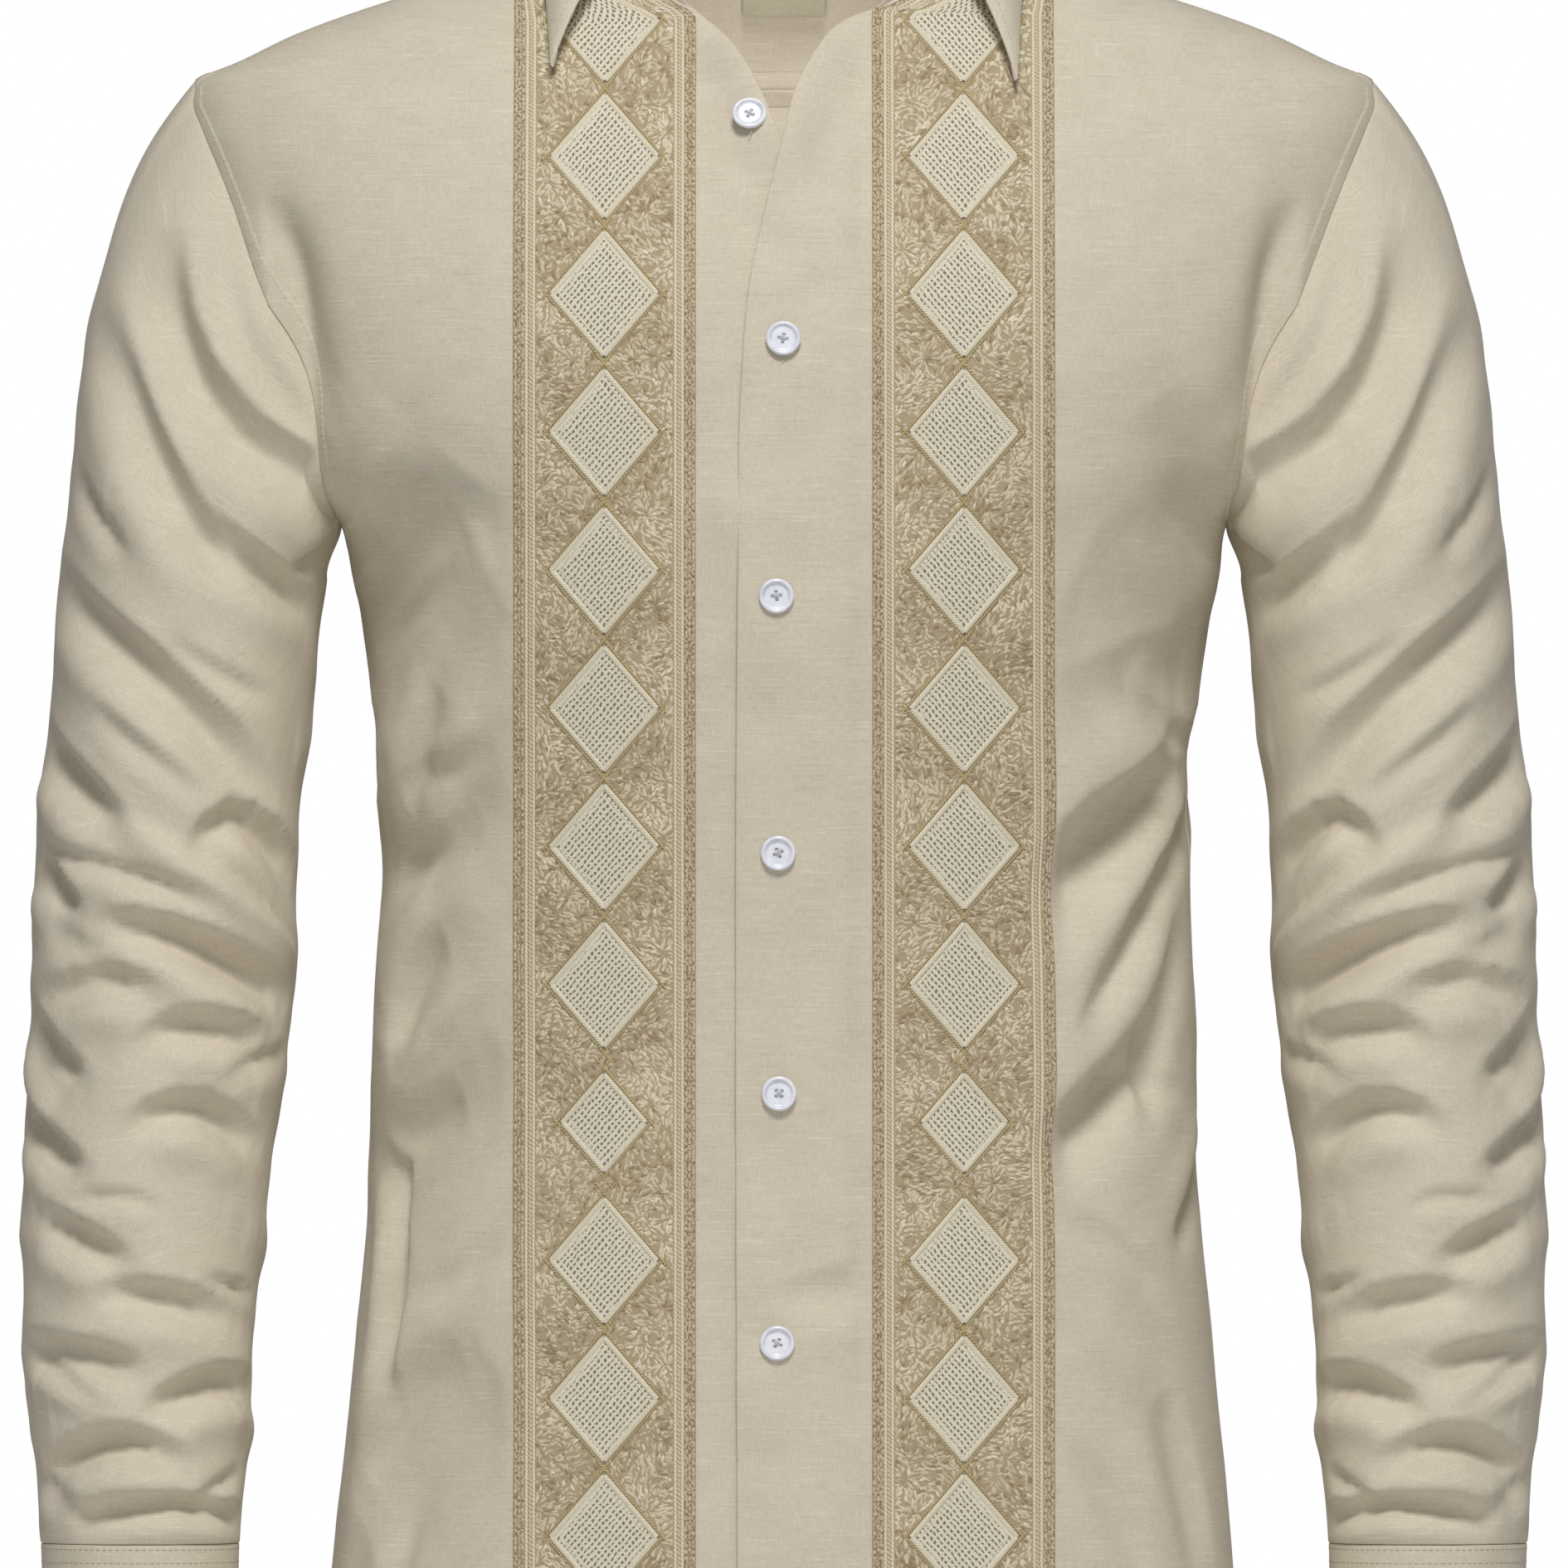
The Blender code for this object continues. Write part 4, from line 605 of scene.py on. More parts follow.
class BodyForm:
    """The shirt's body: level sections from hem to neck, with folds pressed into them."""

    def base(self, angle: Array, z: Array) -> Array:
        """Point of the plain form: angle 0 is the centre front, and grows to the wearer's left."""
        front = np.cos(angle) > 0
        before = from_table(z, SECTIONS, "front")
        depth = np.where(front, before, from_table(z, SECTIONS, "back"))
        sine, cosine = np.sin(angle), np.cos(angle)
        x = from_table(z, SECTIONS, "half_width") * np.sign(sine) * np.abs(sine) ** ROUNDNESS
        y = np.sign(cosine) * np.abs(cosine) ** ROUNDNESS
        return np.stack([x, from_table(z, SECTIONS, "middle_y") - depth * y, z + 0 * x], axis=-1)

    def way(self, angle: Array, z: Array) -> Array:
        """The plain form's outward direction."""
        turn, step = WAY_PROBE
        around = self.base(angle + turn, z) - self.base(angle - turn, z)
        return unit(np.cross(around, self.base(angle, z + step) - self.base(angle, z - step)))

    def angle_at(self, x: Array | float, z: Array | float, back: bool = False) -> Array:
        """Section angle of the point at this x and height, on the front or on the back."""
        share = np.clip(np.abs(x) / from_table(z, SECTIONS, "half_width"), 0, 1)
        angle = np.arcsin(share ** (1 / ROUNDNESS))
        angle = np.pi - angle if back else angle
        return np.where(np.asarray(x) < 0, -angle, angle)

    @cached_property
    def fold_paths(self) -> list[tuple[Fold, list[tuple[float, float]]]]:
        """Each fold with its path: distance round the body and height."""
        found = []
        for folds, side, back in (
            (FRONT_FOLDS_RIGHT + FINE_FOLDS_RIGHT + BROAD_FOLDS_RIGHT, -1, False),
            (FRONT_FOLDS_LEFT + FINE_FOLDS_LEFT + BROAD_FOLDS_LEFT, 1, False),
            (BACK_FOLDS, -1, True),
            (BACK_FOLDS, 1, True),
        ):
            for fold in folds:
                path = []
                for px, pz in fold.spots:
                    path.append((float(self.angle_at(side * px, pz, back)) * BODY_RADIUS, pz))
                found.append((fold, path))
        return found

    def fold(self, angle: Array, z: Array) -> Array:
        """How far the folds move the cloth out at a place on the form."""
        across = np.asarray(angle * BODY_RADIUS)
        total = np.zeros(np.broadcast(angle, z).shape)
        if not total.size:
            return total
        bounds = np.min(across), np.max(across), np.min(z), np.max(z)
        for fold, path in self.fold_paths:
            reach = 5 * fold.half_width
            places, heights = [spot[0] for spot in path], [spot[1] for spot in path]
            if (max(places) + reach > bounds[0] and min(places) - reach < bounds[1]
                    and max(heights) + reach > bounds[2] and min(heights) - reach < bounds[3]):
                total += trough(across, z, path, fold, BODY_LOOK)
        width = from_table(z, SECTIONS, "half_width")
        size = width * np.abs(np.sin(angle)) ** ROUNDNESS
        stiff = ramp(size, *BAND_CALM_INNER) * (1 - ramp(size, *BAND_CALM_OUTER)) * (np.cos(angle) > 0)
        return total * ramp(z, *SHOULDER_CALM_Z) * (1 - BAND_CALM * stiff)

    def point(self, angle: Array, z: Array, lift: Array | float = 0.0) -> Array:
        """Point of the cloth, at its outer face when lift is 0."""
        moved = self.fold(angle, z) + lift
        return self.base(angle, z) + self.way(angle, z) * moved[..., None]


class SleeveForm:
    """The left sleeve: level sections under a cap that rises to the armhole."""

    def ring(self, z: Array | float, turns: Array) -> Array:
        """Level ring at a height: turn 0 is its outer side, a quarter its front."""
        x = from_table(z, SLEEVE, "middle_x") + from_table(z, SLEEVE, "half_width") * np.cos(turns)
        y = from_table(z, SLEEVE, "middle_y") - from_table(z, SLEEVE, "half_depth") * np.sin(turns)
        return np.stack([x, y, z + 0 * x], axis=-1)

    def turn(self, points: Array) -> Array:
        """Turn of points round the sleeve's middle line."""
        z = points[..., 2]
        across = points[..., 0] - from_table(z, SLEEVE, "middle_x")
        depth = from_table(z, SLEEVE, "middle_y") - points[..., 1]
        across = across / from_table(z, SLEEVE, "half_width")
        return np.arctan2(depth / from_table(z, SLEEVE, "half_depth"), across)

    def fold(self, points: Array) -> Array:
        """How far the folds move the cloth out at points of its plain form."""
        turn = self.turn(points)
        z = points[..., 2]
        total = np.zeros(z.shape)
        for folds, front in ((SLEEVE_FRONT_FOLDS + FINE_SLEEVE_FOLDS, 1), (SLEEVE_BACK_FOLDS, -1)):
            for fold in folds:
                path = []
                for px, pz in fold.spots:
                    middle = float(from_table(pz, SLEEVE, "middle_x"))
                    half = float(from_table(pz, SLEEVE, "half_width"))
                    share = min(max((px - middle) / half, -0.98), 0.98)
                    path.append((front * math.acos(share) * SLEEVE_RADIUS, pz))
                for lap in (-2 * math.pi, 0, 2 * math.pi):
                    across = (turn + lap) * SLEEVE_RADIUS
                    near = np.abs(across - path[1][0]) < 2.2 * SLEEVE_RADIUS
                    total += np.where(near, trough(across, z, path, fold, SLEEVE_LOOK), 0)
        return total * ramp(z, CUFF_TOP_Z - 4, CUFF_TOP_Z + 14)


SHIRT_BODY = BodyForm()
SHIRT_SLEEVE = SleeveForm()


def shoulder_seam_angle(z: Array | float) -> Array:
    """Section angle of the front shoulder seam."""
    at_neck, at_armhole = math.radians(SHOULDER_SEAM_START), float(armhole_angle(SHOULDER_SEAM_Z, False))
    share = (NECK_SEAM_TOP_Z - np.asarray(z, float)) / (NECK_SEAM_TOP_Z - SHOULDER_SEAM_Z)
    return at_neck + (at_armhole - at_neck) * share


def armhole_angle(z: Array | float, back: bool) -> Array:
    """Section angle of the armhole seam on the wearer's left."""
    return SHIRT_BODY.angle_at(from_table(z, ARMHOLE, "back_x" if back else "front_x"), z, back)


def radius_beside(angle: Array, z: Array, back: bool = False) -> Array:
    """Millimetres along the form for each radian, just inside a seam of the front or the back."""
    step = SEAM_PROBE if back else -SEAM_PROBE
    return np.linalg.norm(SHIRT_BODY.base(angle + step, z) - SHIRT_BODY.base(angle, z), axis=-1) / SEAM_PROBE


def armhole_line(side: int, steps: int = 90) -> tuple[Array, Array]:
    """The armhole seam, closed, from the shoulder tip by the front to the armpit and up behind.

    Args:
        side: 1 for the wearer's left, -1 for the right.
        steps: points on each half.

    Returns:
        Its points, given as the left one's mirror image, and its thickness directions.
    """
    share = (1 - np.cos(np.linspace(0, np.pi, steps + 1))) / 2
    heights = SHOULDER_TIP_Z + (ARMPIT_Z - SHOULDER_TIP_Z) * share
    angles = np.concatenate([armhole_angle(heights, False), armhole_angle(heights[::-1], True)[1:-1]])
    angles[[0, steps]] = SIDE_SEAM
    heights = np.concatenate([heights, heights[::-1][1:-1]])
    mirror = np.array([side, 1.0, 1.0])
    points = SHIRT_BODY.point(side * angles, heights) * mirror
    tangents = unit(np.roll(points, -1, axis=0) - np.roll(points, 1, axis=0))
    ways = SHIRT_BODY.way(side * angles, heights) * mirror
    ways = unit(ways - tangents * np.sum(ways * tangents, axis=-1, keepdims=True))
    return points, ways


def leaving(turns: Array) -> Array:
    """Directions in which the left sleeve's cloth leaves the armhole seam."""
    top = (1 + np.cos(turns)) / 2
    out = LEAVE_OUT_TOP * top + LEAVE_OUT
    down = LEAVE_DOWN_TOP * top + (1 - top)
    return unit(np.stack([out, -LEAVE_FORWARD * np.sin(turns), -down], -1))


# ---- sheets and threads as meshes ----


def new_object(name: str, points: Array, faces: Array, finish: Material) -> Piece:
    """A smooth-shaded mesh object from points in millimetres.

    Args:
        name: the piece's name.
        points: its points, one a row.
        faces: corners of its faces, one face a row, all with the same number of corners.
        finish: its material.

    Returns:
        The object, in the scene.
    """
    mesh = bpy.data.meshes.new(name)
    corners = faces.shape[1]
    mesh.vertices.add(len(points))
    mesh.vertices.foreach_set("co", (points * MM).astype(np.float32).ravel())
    mesh.loops.add(faces.size)
    mesh.loops.foreach_set("vertex_index", faces.astype(np.int32).ravel())
    mesh.polygons.add(len(faces))
    mesh.polygons.foreach_set("loop_start", np.arange(0, faces.size, corners, dtype=np.int32))
    mesh.polygons.foreach_set("use_smooth", np.ones(len(faces), bool))
    mesh.update(calc_edges=True)
    mesh.validate()
    mesh.materials.append(finish)
    obj = bpy.data.objects.new(name, mesh)
    bpy.context.scene.collection.objects.link(obj)
    return obj


def set_flat(obj: Piece, flat: Array) -> None:
    """Gives a mesh its cloth coordinates, in metres, as its UV map."""
    mesh = obj.data
    layer = mesh.uv_layers.new(name="cloth")
    index = np.empty(len(mesh.loops), np.int32)
    mesh.loops.foreach_get("vertex_index", index)
    layer.data.foreach_set("uv", (flat[index] * MM).astype(np.float32).ravel())


def set_tone(obj: Piece, tone: Array) -> None:
    """Gives each point of a mesh a tone from 0, dark, to 1, light."""
    layer = obj.data.attributes.new(name="tone", type="FLOAT", domain="POINT")
    layer.data.foreach_set("value", tone.astype(np.float32))


def run_back(points: Array, ways: Array, depth: float) -> tuple[Array, Array]:
    """Places and directions this far back from a net's last row, along its own columns."""
    place, way = points[-1], ways[-1]
    left = np.full(len(place), depth)
    for number in range(1, min(len(points), MOST_TURNED_ROWS)):
        step = points[-1 - number] - points[-number]
        length = np.maximum(np.linalg.norm(step, axis=-1), 1e-6)
        share = np.clip(left / length, 0, 1)[:, None]
        place = place + step * share
        way = way + (ways[-1 - number] - ways[-number]) * share
        left = np.maximum(left - length, 0)
    return place, unit(way)


class Edge(Enum):
    """The four edges of a net of points."""

    FIRST_ROW = "first row"
    LAST_ROW = "last row"
    FIRST_COLUMN = "first column"
    LAST_COLUMN = "last column"


SIDES_THEN_ENDS = (Edge.FIRST_COLUMN, Edge.LAST_COLUMN, Edge.FIRST_ROW, Edge.LAST_ROW)
TURN_DEGREES = (36, 72, 108, 144, 180)  # rows of points round a turned-under edge


@dataclass
class Sheet:
    """A net of cloth points, its thickness directions and its flat coordinates."""

    name: str
    points: Array
    ways: Array
    flat: Array
    fold_radius: float = 0.5
    fold_depths: tuple[float, ...] = (1.5, 7.0)

    def turn_under(self, edge: Edge) -> None:
        """Folds one edge under: round a small radius and a little way back inside."""
        swap = edge in (Edge.FIRST_COLUMN, Edge.LAST_COLUMN)
        flip = edge in (Edge.FIRST_ROW, Edge.FIRST_COLUMN)
        nets = [net.swapaxes(0, 1) if swap else net for net in (self.points, self.ways, self.flat)]
        points, ways, flat = (net[::-1] if flip else net for net in nets)
        out, way = unit(points[-1] - points[-2]), ways[-1]
        flat_out = flat[-1] - flat[-2]
        flat_out = flat_out / np.maximum(np.linalg.norm(flat_out, axis=-1, keepdims=True), 1e-6)
        radius = self.fold_radius
        rows, runs = [], []
        for degrees in TURN_DEGREES:
            turn = math.radians(degrees)
            rows.append(points[-1] + out * radius * math.sin(turn) - way * radius * (1 - math.cos(turn)))
            runs.append(radius * turn)
        for depth in self.fold_depths:
            place, inner_way = run_back(points, ways, depth)
            tuck = 1 - TUCKED_SHARE * depth / self.fold_depths[-1]
            rows.append(place - inner_way * 2 * radius * tuck)
            runs.append(radius * math.pi + depth)
        more = np.array(rows)
        more_flat = np.array([flat[-1] + flat_out * run for run in runs])
        nets = [
            np.concatenate([points, more]),
            np.concatenate([ways, np.repeat(way[None], len(rows), axis=0)]),
            np.concatenate([flat, more_flat]),
        ]
        nets = [net[::-1] if flip else net for net in nets]
        self.points, self.ways, self.flat = (net.swapaxes(0, 1) if swap else net for net in nets)

    def turned(self, *edges: Edge) -> "Sheet":
        """The sheet with these edges turned under, in this order."""
        for edge in edges:
            self.turn_under(edge)
        return self

    def build(self, finish: Material, mirrored: bool = False) -> Piece:
        """Makes the mesh object.

        Args:
            finish: its material.
            mirrored: whether to give it as its mirror image in the middle plane.

        Returns:
            The object.
        """
        rows, columns = self.points.shape[:2]
        index = np.arange(rows * columns).reshape(rows, columns)
        faces = net_faces(index)
        points = self.points.reshape(-1, 3).copy()
        if mirrored:
            points[:, 0] *= -1
            faces = faces[:, ::-1]
        obj = new_object(self.name, points, faces, finish)
        set_flat(obj, self.flat.reshape(-1, 2))
        return obj


def flat_net(points: Array, origin: Sequence[float] = (0.0, 0.0)) -> Array:
    """Flat coordinates of a net: run lengths along its rows and up its middle column.

    Args:
        points: the net.
        origin: the flat coordinates of its first corner.

    Returns:
        One pair in millimetres for each point.
    """
    across = np.concatenate([np.zeros((points.shape[0], 1)),
                             np.cumsum(np.linalg.norm(np.diff(points, axis=1), axis=-1), axis=1)], axis=1)
    middle = points.shape[1] // 2
    up = run_lengths(points[:, middle])
    centred = across - across[:, middle : middle + 1] + across[:, middle].max()
    return np.stack([centred + origin[0], up[:, None] + 0 * across + origin[1]], axis=-1)


STITCH_RINGS = ((0.16, 0.85), (0.5, 1.0), (0.84, 0.85))  # share of a stitch's run, and its size there


def sweep_stitches(
    name: str, starts: Array, ends: Array, ways: Array, width: float, rise: float, finish: Material
) -> Piece:
    """Short straight stitches, each a low rounded ridge with pointed ends, as one mesh.

    Args:
        name: the piece's name.
        starts: where each stitch comes out of the cloth.
        ends: where each goes back in.
        ways: outward directions of the cloth there.
        width: thickness of the thread across the stitch.
        rise: how far its middle stands off the cloth.
        finish: its material.

    Returns:
        The object.
    """
    run = ends - starts
    length = np.linalg.norm(run, axis=-1, keepdims=True)
    side = unit(np.cross(run, ways)) * width / 2
    count = len(starts)
    rings = []
    for share, size in STITCH_RINGS:
        middle = starts + run * share
        rings += [middle - side * size, middle - side * 0.5 * size + ways * rise * size,
                  middle + side * 0.5 * size + ways * rise * size, middle + side * size]
    points = np.stack([starts - ways * 0.1] + rings + [ends - ways * 0.1], axis=1)
    quads = np.array([(k, k + 4, k + 5, k + 1) for k in (1, 2, 3, 5, 6, 7)])
    tips = [(0, k, k + 1) for k in (1, 2, 3)] + [(k, 13, k + 1) for k in (9, 10, 11)]
    triangles = np.concatenate([quads[:, [0, 1, 2]], quads[:, [0, 2, 3]], tips])
    obj = new_object(name, points.reshape(-1, 3), repeated(triangles, count, points.shape[1]), finish)
    flat = np.zeros((count, points.shape[1], 2))
    shares = np.array([0.0] + [share for share, _ in STITCH_RINGS for _ in range(4)] + [1.0])
    flat[..., 0] = shares * length
    flat[..., 1] = np.array([1.0] + [0.0, 0.4, 0.8, 1.2] * 3 + [1.0]) + (np.arange(count)[:, None] % 500)
    set_flat(obj, flat.reshape(-1, 2))
    return obj


def sweep_cords(
    name: str, lines: Sequence[tuple[Array, Array]], widths: Sequence[float], finish: Material,
    arch: float = 0.55,
) -> Piece:
    """Cords laid along lines on cloth, each an arch five points across, as one mesh.

    Args:
        name: the piece's name.
        lines: (points, outward directions) of each cord's middle line on the cloth.
        widths: each cord's width.
        finish: its material.
        arch: a cord's height as a share of its width.

    Returns:
        The object.
    """
    points, flats, faces = [], [], []
    start = 0
    for number, ((line, ways), width) in enumerate(zip(lines, widths)):
        side = unit(np.cross(np.gradient(line, axis=0), ways))
        run = run_lengths(line)
        turns = np.radians(np.array([0.0, 45.0, 90.0, 135.0, 180.0]))
        across = np.cos(turns) * width / 2
        up = np.sin(turns) * width * arch - 0.1
        ring = line[:, None] + side[:, None] * across[None, :, None] + ways[:, None] * up[None, :, None]
        points.append(ring.reshape(-1, 3))
        flat = np.stack([run[:, None] + 0 * across, (across + width / 2)[None] + 0 * run[:, None]], -1)
        flats.append(flat.reshape(-1, 2) + np.array([0.0, 4.0 * number]))
        index = start + np.arange(len(line) * 5).reshape(-1, 5)
        faces.append(net_faces(index)[:, [0, 3, 2, 1]])
        start += len(line) * 5
    obj = new_object(name, np.concatenate(points), np.concatenate(faces), finish)
    set_flat(obj, np.concatenate(flats))
    return obj


# ---- shader groups and finishes ----


class Board:
    """A shader node tree being wired, with short calls for its usual nodes."""

    def __init__(self, tree: Shader) -> None:
        """Takes the tree to wire."""
        self.tree = tree

    def node(self, kind: str, **settings: object) -> Node:
        """Adds a node of this kind with these settings."""
        made = self.tree.nodes.new(kind)
        for name, value in settings.items():
            setattr(made, name, value)
        return made

    def feed(self, socket: Socket, value: object) -> None:
        """Links an output to an input, or sets its plain value."""
        if isinstance(value, Socket):
            self.tree.links.new(value, socket)
        else:
            socket.default_value = value

    def sum(self, operation: str, *values: object) -> Socket:
        """The result of one Math operation on one, two or three values."""
        made = self.node("ShaderNodeMath", operation=operation)
        for socket, value in zip(made.inputs, values):
            self.feed(socket, value)
        return made.outputs[0]

    def span(self, value: object, low: float, high: float, to_low: float = 0.0, to_high: float = 1.0
             ) -> Socket:
        """Value eased from the range low to high to the range to_low to to_high, and held there."""
        made = self.node("ShaderNodeMapRange", interpolation_type="SMOOTHSTEP")
        for socket, given in zip(made.inputs, (value, low, high, to_low, to_high)):
            self.feed(socket, given)
        return made.outputs[0]

    def mix(self, share: object, first: object, second: object) -> Socket:
        """Two colours mixed."""
        made = self.node("ShaderNodeMix", data_type="RGBA")
        for name, value in (("Factor_Float", share), ("A_Color", first), ("B_Color", second)):
            self.feed(next(s for s in made.inputs if s.identifier == name), value)
        return next(s for s in made.outputs if s.identifier == "Result_Color")

    def place(self, across: float, up: float, shift: float = 0.0) -> Socket:
        """Cloth coordinates in millimetres, stretched by these numbers, as a vector."""
        uv = self.node("ShaderNodeUVMap", uv_map="cloth").outputs[0]
        scaled = self.node("ShaderNodeVectorMath", operation="MULTIPLY")
        self.feed(scaled.inputs[0], uv)
        scaled.inputs[1].default_value = (across * 1000, up * 1000, 0)
        moved = self.node("ShaderNodeVectorMath", operation="ADD")
        self.feed(moved.inputs[0], scaled.outputs[0])
        moved.inputs[1].default_value = (shift, shift * 1.7, shift)
        return moved.outputs[0]

    def noise(self, place: object, detail: float = 2.0, rough: float = 0.5) -> Socket:
        """Noise from 0 to 1 at a place, one feature a unit."""
        made = self.node("ShaderNodeTexNoise", noise_dimensions="3D")
        self.feed(made.inputs["Vector"], place)
        made.inputs["Scale"].default_value = 1.0
        made.inputs["Detail"].default_value = detail
        made.inputs["Roughness"].default_value = rough
        return made.outputs["Fac"]

    def bump(self, height: object, strength: float, distance: float) -> Socket:
        """A normal bumped by a height."""
        made = self.node("ShaderNodeBump")
        made.inputs["Strength"].default_value = strength
        made.inputs["Distance"].default_value = distance
        self.feed(made.inputs["Height"], height)
        return made.outputs[0]


def new_group(name: str, inputs: dict[str, float], outputs: Sequence[str]) -> tuple[Board, dict, dict]:
    """Starts a node group of values.

    Args:
        name: the group's name.
        inputs: its value inputs with their defaults.
        outputs: its value outputs.

    Returns:
        The board, its input sockets by name, and its output sockets by name.
    """
    tree = bpy.data.node_groups.new(name, "ShaderNodeTree")
    for label, value in inputs.items():
        tree.interface.new_socket(label, in_out="INPUT", socket_type="NodeSocketFloat").default_value = value
    for label in outputs:
        tree.interface.new_socket(label, in_out="OUTPUT", socket_type="NodeSocketFloat")
    board = Board(tree)
    given = board.node("NodeGroupInput").outputs
    taken = board.node("NodeGroupOutput").inputs
    return board, {label: given[label] for label in inputs}, {label: taken[label] for label in outputs}


def slub_weave() -> Shader:
    """Plain weave of uneven yarn: fine threads, slubs both ways and soft mottling.

    Returns:
        The group, with inputs Slubs and Mottle, and outputs Shade, around 0, and Height.
    """
    board, given, taken = new_group("slub weave", {"Slubs": 1.0, "Mottle": 1.0}, ("Shade", "Height"))
    weft = board.noise(board.place(0.30, 2.9), 2.0, 0.55)
    warp = board.noise(board.place(2.6, 0.28, 7.0), 2.0, 0.55)
    yarn = board.sum("SUBTRACT", board.sum("ADD", weft, warp), 1.0)
    bold = board.noise(board.place(0.050, 1.05, 3.0), 2.0, 0.5)
    weft_slub = board.sum("SUBTRACT", board.span(bold, 0.57, 0.72), board.span(bold, 0.43, 0.28, 0.0, 0.7))
    upright = board.noise(board.place(1.0, 0.045, 11.0), 2.0, 0.5)
    warp_slub = board.span(upright, 0.59, 0.74, 0.0, 0.6)
    slub = board.sum("MULTIPLY", board.sum("ADD", weft_slub, warp_slub), given["Slubs"])
    cloud = board.sum("SUBTRACT", board.noise(board.place(0.05, 0.05, 5.0), 3.0), 0.5)
    shade = board.sum("MULTIPLY_ADD", cloud, given["Mottle"], board.sum("MULTIPLY", yarn, 0.55))
    board.feed(taken["Shade"], board.sum("MULTIPLY_ADD", slub, 0.20, shade))
    board.feed(taken["Height"], board.sum("MULTIPLY_ADD", slub, 0.35, yarn))
    return board.tree


def twisted_thread() -> Shader:
    """Twisted thread: slanting turns along a cord or a stitch.

    Returns:
        The group, with inputs Turns a millimetre and Slant, and outputs Turn, from 0 to 1, and Fleck.
    """
    board, given, taken = new_group("twisted thread", {"Turns": 1.0, "Slant": 1.0}, ("Turn", "Fleck"))
    place = board.node("ShaderNodeSeparateXYZ")
    board.feed(place.inputs[0], board.place(1.0, 1.0))
    lean = board.sum("MULTIPLY_ADD", place.outputs[1], given["Slant"], place.outputs[0])
    turn = board.sum("SINE", board.sum("MULTIPLY", board.sum("MULTIPLY", lean, given["Turns"]), 2 * math.pi))
    board.feed(taken["Turn"], board.sum("MULTIPLY_ADD", turn, 0.5, 0.5))
    board.feed(taken["Fleck"], board.noise(board.place(0.8, 1.1, 2.0), 2.0))
    return board.tree


def openwork_slits() -> Shader:
    """Drawn threadwork: rows of narrow slits between fine stitched bars.

    Returns:
        The group, with inputs Across and Along, the slits' pitches in millimetres, and outputs
        Slit, 1 inside one, and Bar, the height of the stitching between them.
    """
    board, given, taken = new_group("openwork slits", {"Across": 2.0, "Along": 2.0}, ("Slit", "Bar"))
    place = board.node("ShaderNodeSeparateXYZ")
    board.feed(place.inputs[0], board.place(1.0, 1.0))
    wander = board.sum("SUBTRACT", board.noise(board.place(0.22, 0.22, 4.0), 2.0), 0.5)
    column = board.sum("DIVIDE", board.sum("MULTIPLY_ADD", wander, 2.2, place.outputs[0]), given["Across"])
    row = board.sum("DIVIDE", board.sum("MULTIPLY_ADD", wander, -1.8, place.outputs[1]), given["Along"])
    wide = board.sum("SUBTRACT", board.noise(board.place(0.31, 0.33, 9.0), 2.0), 0.5)
    off_x = board.sum("ABSOLUTE", board.sum("SUBTRACT", board.sum("FRACT", column), 0.5))
    off_y = board.sum("ABSOLUTE", board.sum("SUBTRACT", board.sum("FRACT", row), 0.5))
    open_x = board.span(board.sum("MULTIPLY_ADD", wide, 0.35, off_x), 0.13, 0.27, 1.0, 0.0)
    open_y = board.span(board.sum("MULTIPLY_ADD", wide, -0.45, off_y), 0.24, 0.40, 1.0, 0.0)
    board.feed(taken["Slit"], board.sum("MULTIPLY", open_x, open_y))
    ribs = board.sum("SINE", board.sum("MULTIPLY", place.outputs[1], 2 * math.pi / 0.62))
    board.feed(taken["Bar"], board.sum("MULTIPLY_ADD", ribs, 0.2, board.noise(board.place(1.4, 2.6), 2.0)))
    return board.tree


GROUP_MAKERS: dict[str, Callable[[], Shader]] = {
    "slub weave": slub_weave,
    "twisted thread": twisted_thread,
    "openwork slits": openwork_slits,
}


def linear(red: int, green: int, blue: int) -> tuple[float, float, float, float]:
    """A screen colour from 0 to 255 as the shader's linear colour."""
    def one(part: int) -> float:
        """One part of it."""
        share = part / 255
        return share / 12.92 if share <= 0.04045 else ((share + 0.055) / 1.055) ** 2.4

    return one(red), one(green), one(blue), 1.0


@dataclass(frozen=True)
class Finish:
    """A finish: what every one of them sets on its shader."""

    name: str
    roughness: float = 0.85
    sheen: float = 0.0
    specular: float = 0.25

    def material(self) -> Material:
        """The finish's material, made once."""
        found = bpy.data.materials.get(self.name)
        if found:
            return found
        material = bpy.data.materials.new(self.name)
        material.use_nodes = True
        shader = material.node_tree.nodes["Principled BSDF"]
        shader.inputs["Roughness"].default_value = self.roughness
        shader.inputs["Sheen Weight"].default_value = self.sheen
        shader.inputs["Sheen Roughness"].default_value = 0.4
        shader.inputs["Specular IOR Level"].default_value = self.specular
        self.dress(Board(material.node_tree), shader)
        return material

    def group(self, board: Board, name: str, **values: float) -> dict[str, Socket]:
        """Places a shared group in the material with these values, and returns its outputs."""
        tree = bpy.data.node_groups.get(name) or GROUP_MAKERS[name]()
        made = board.node("ShaderNodeGroup", node_tree=tree)
        for label, value in values.items():
            made.inputs[label].default_value = value
        return {socket.name: socket for socket in made.outputs}

    def dress(self, board: Board, shader: Node) -> None:
        """Wires the finish's own colour and relief."""
        raise NotImplementedError


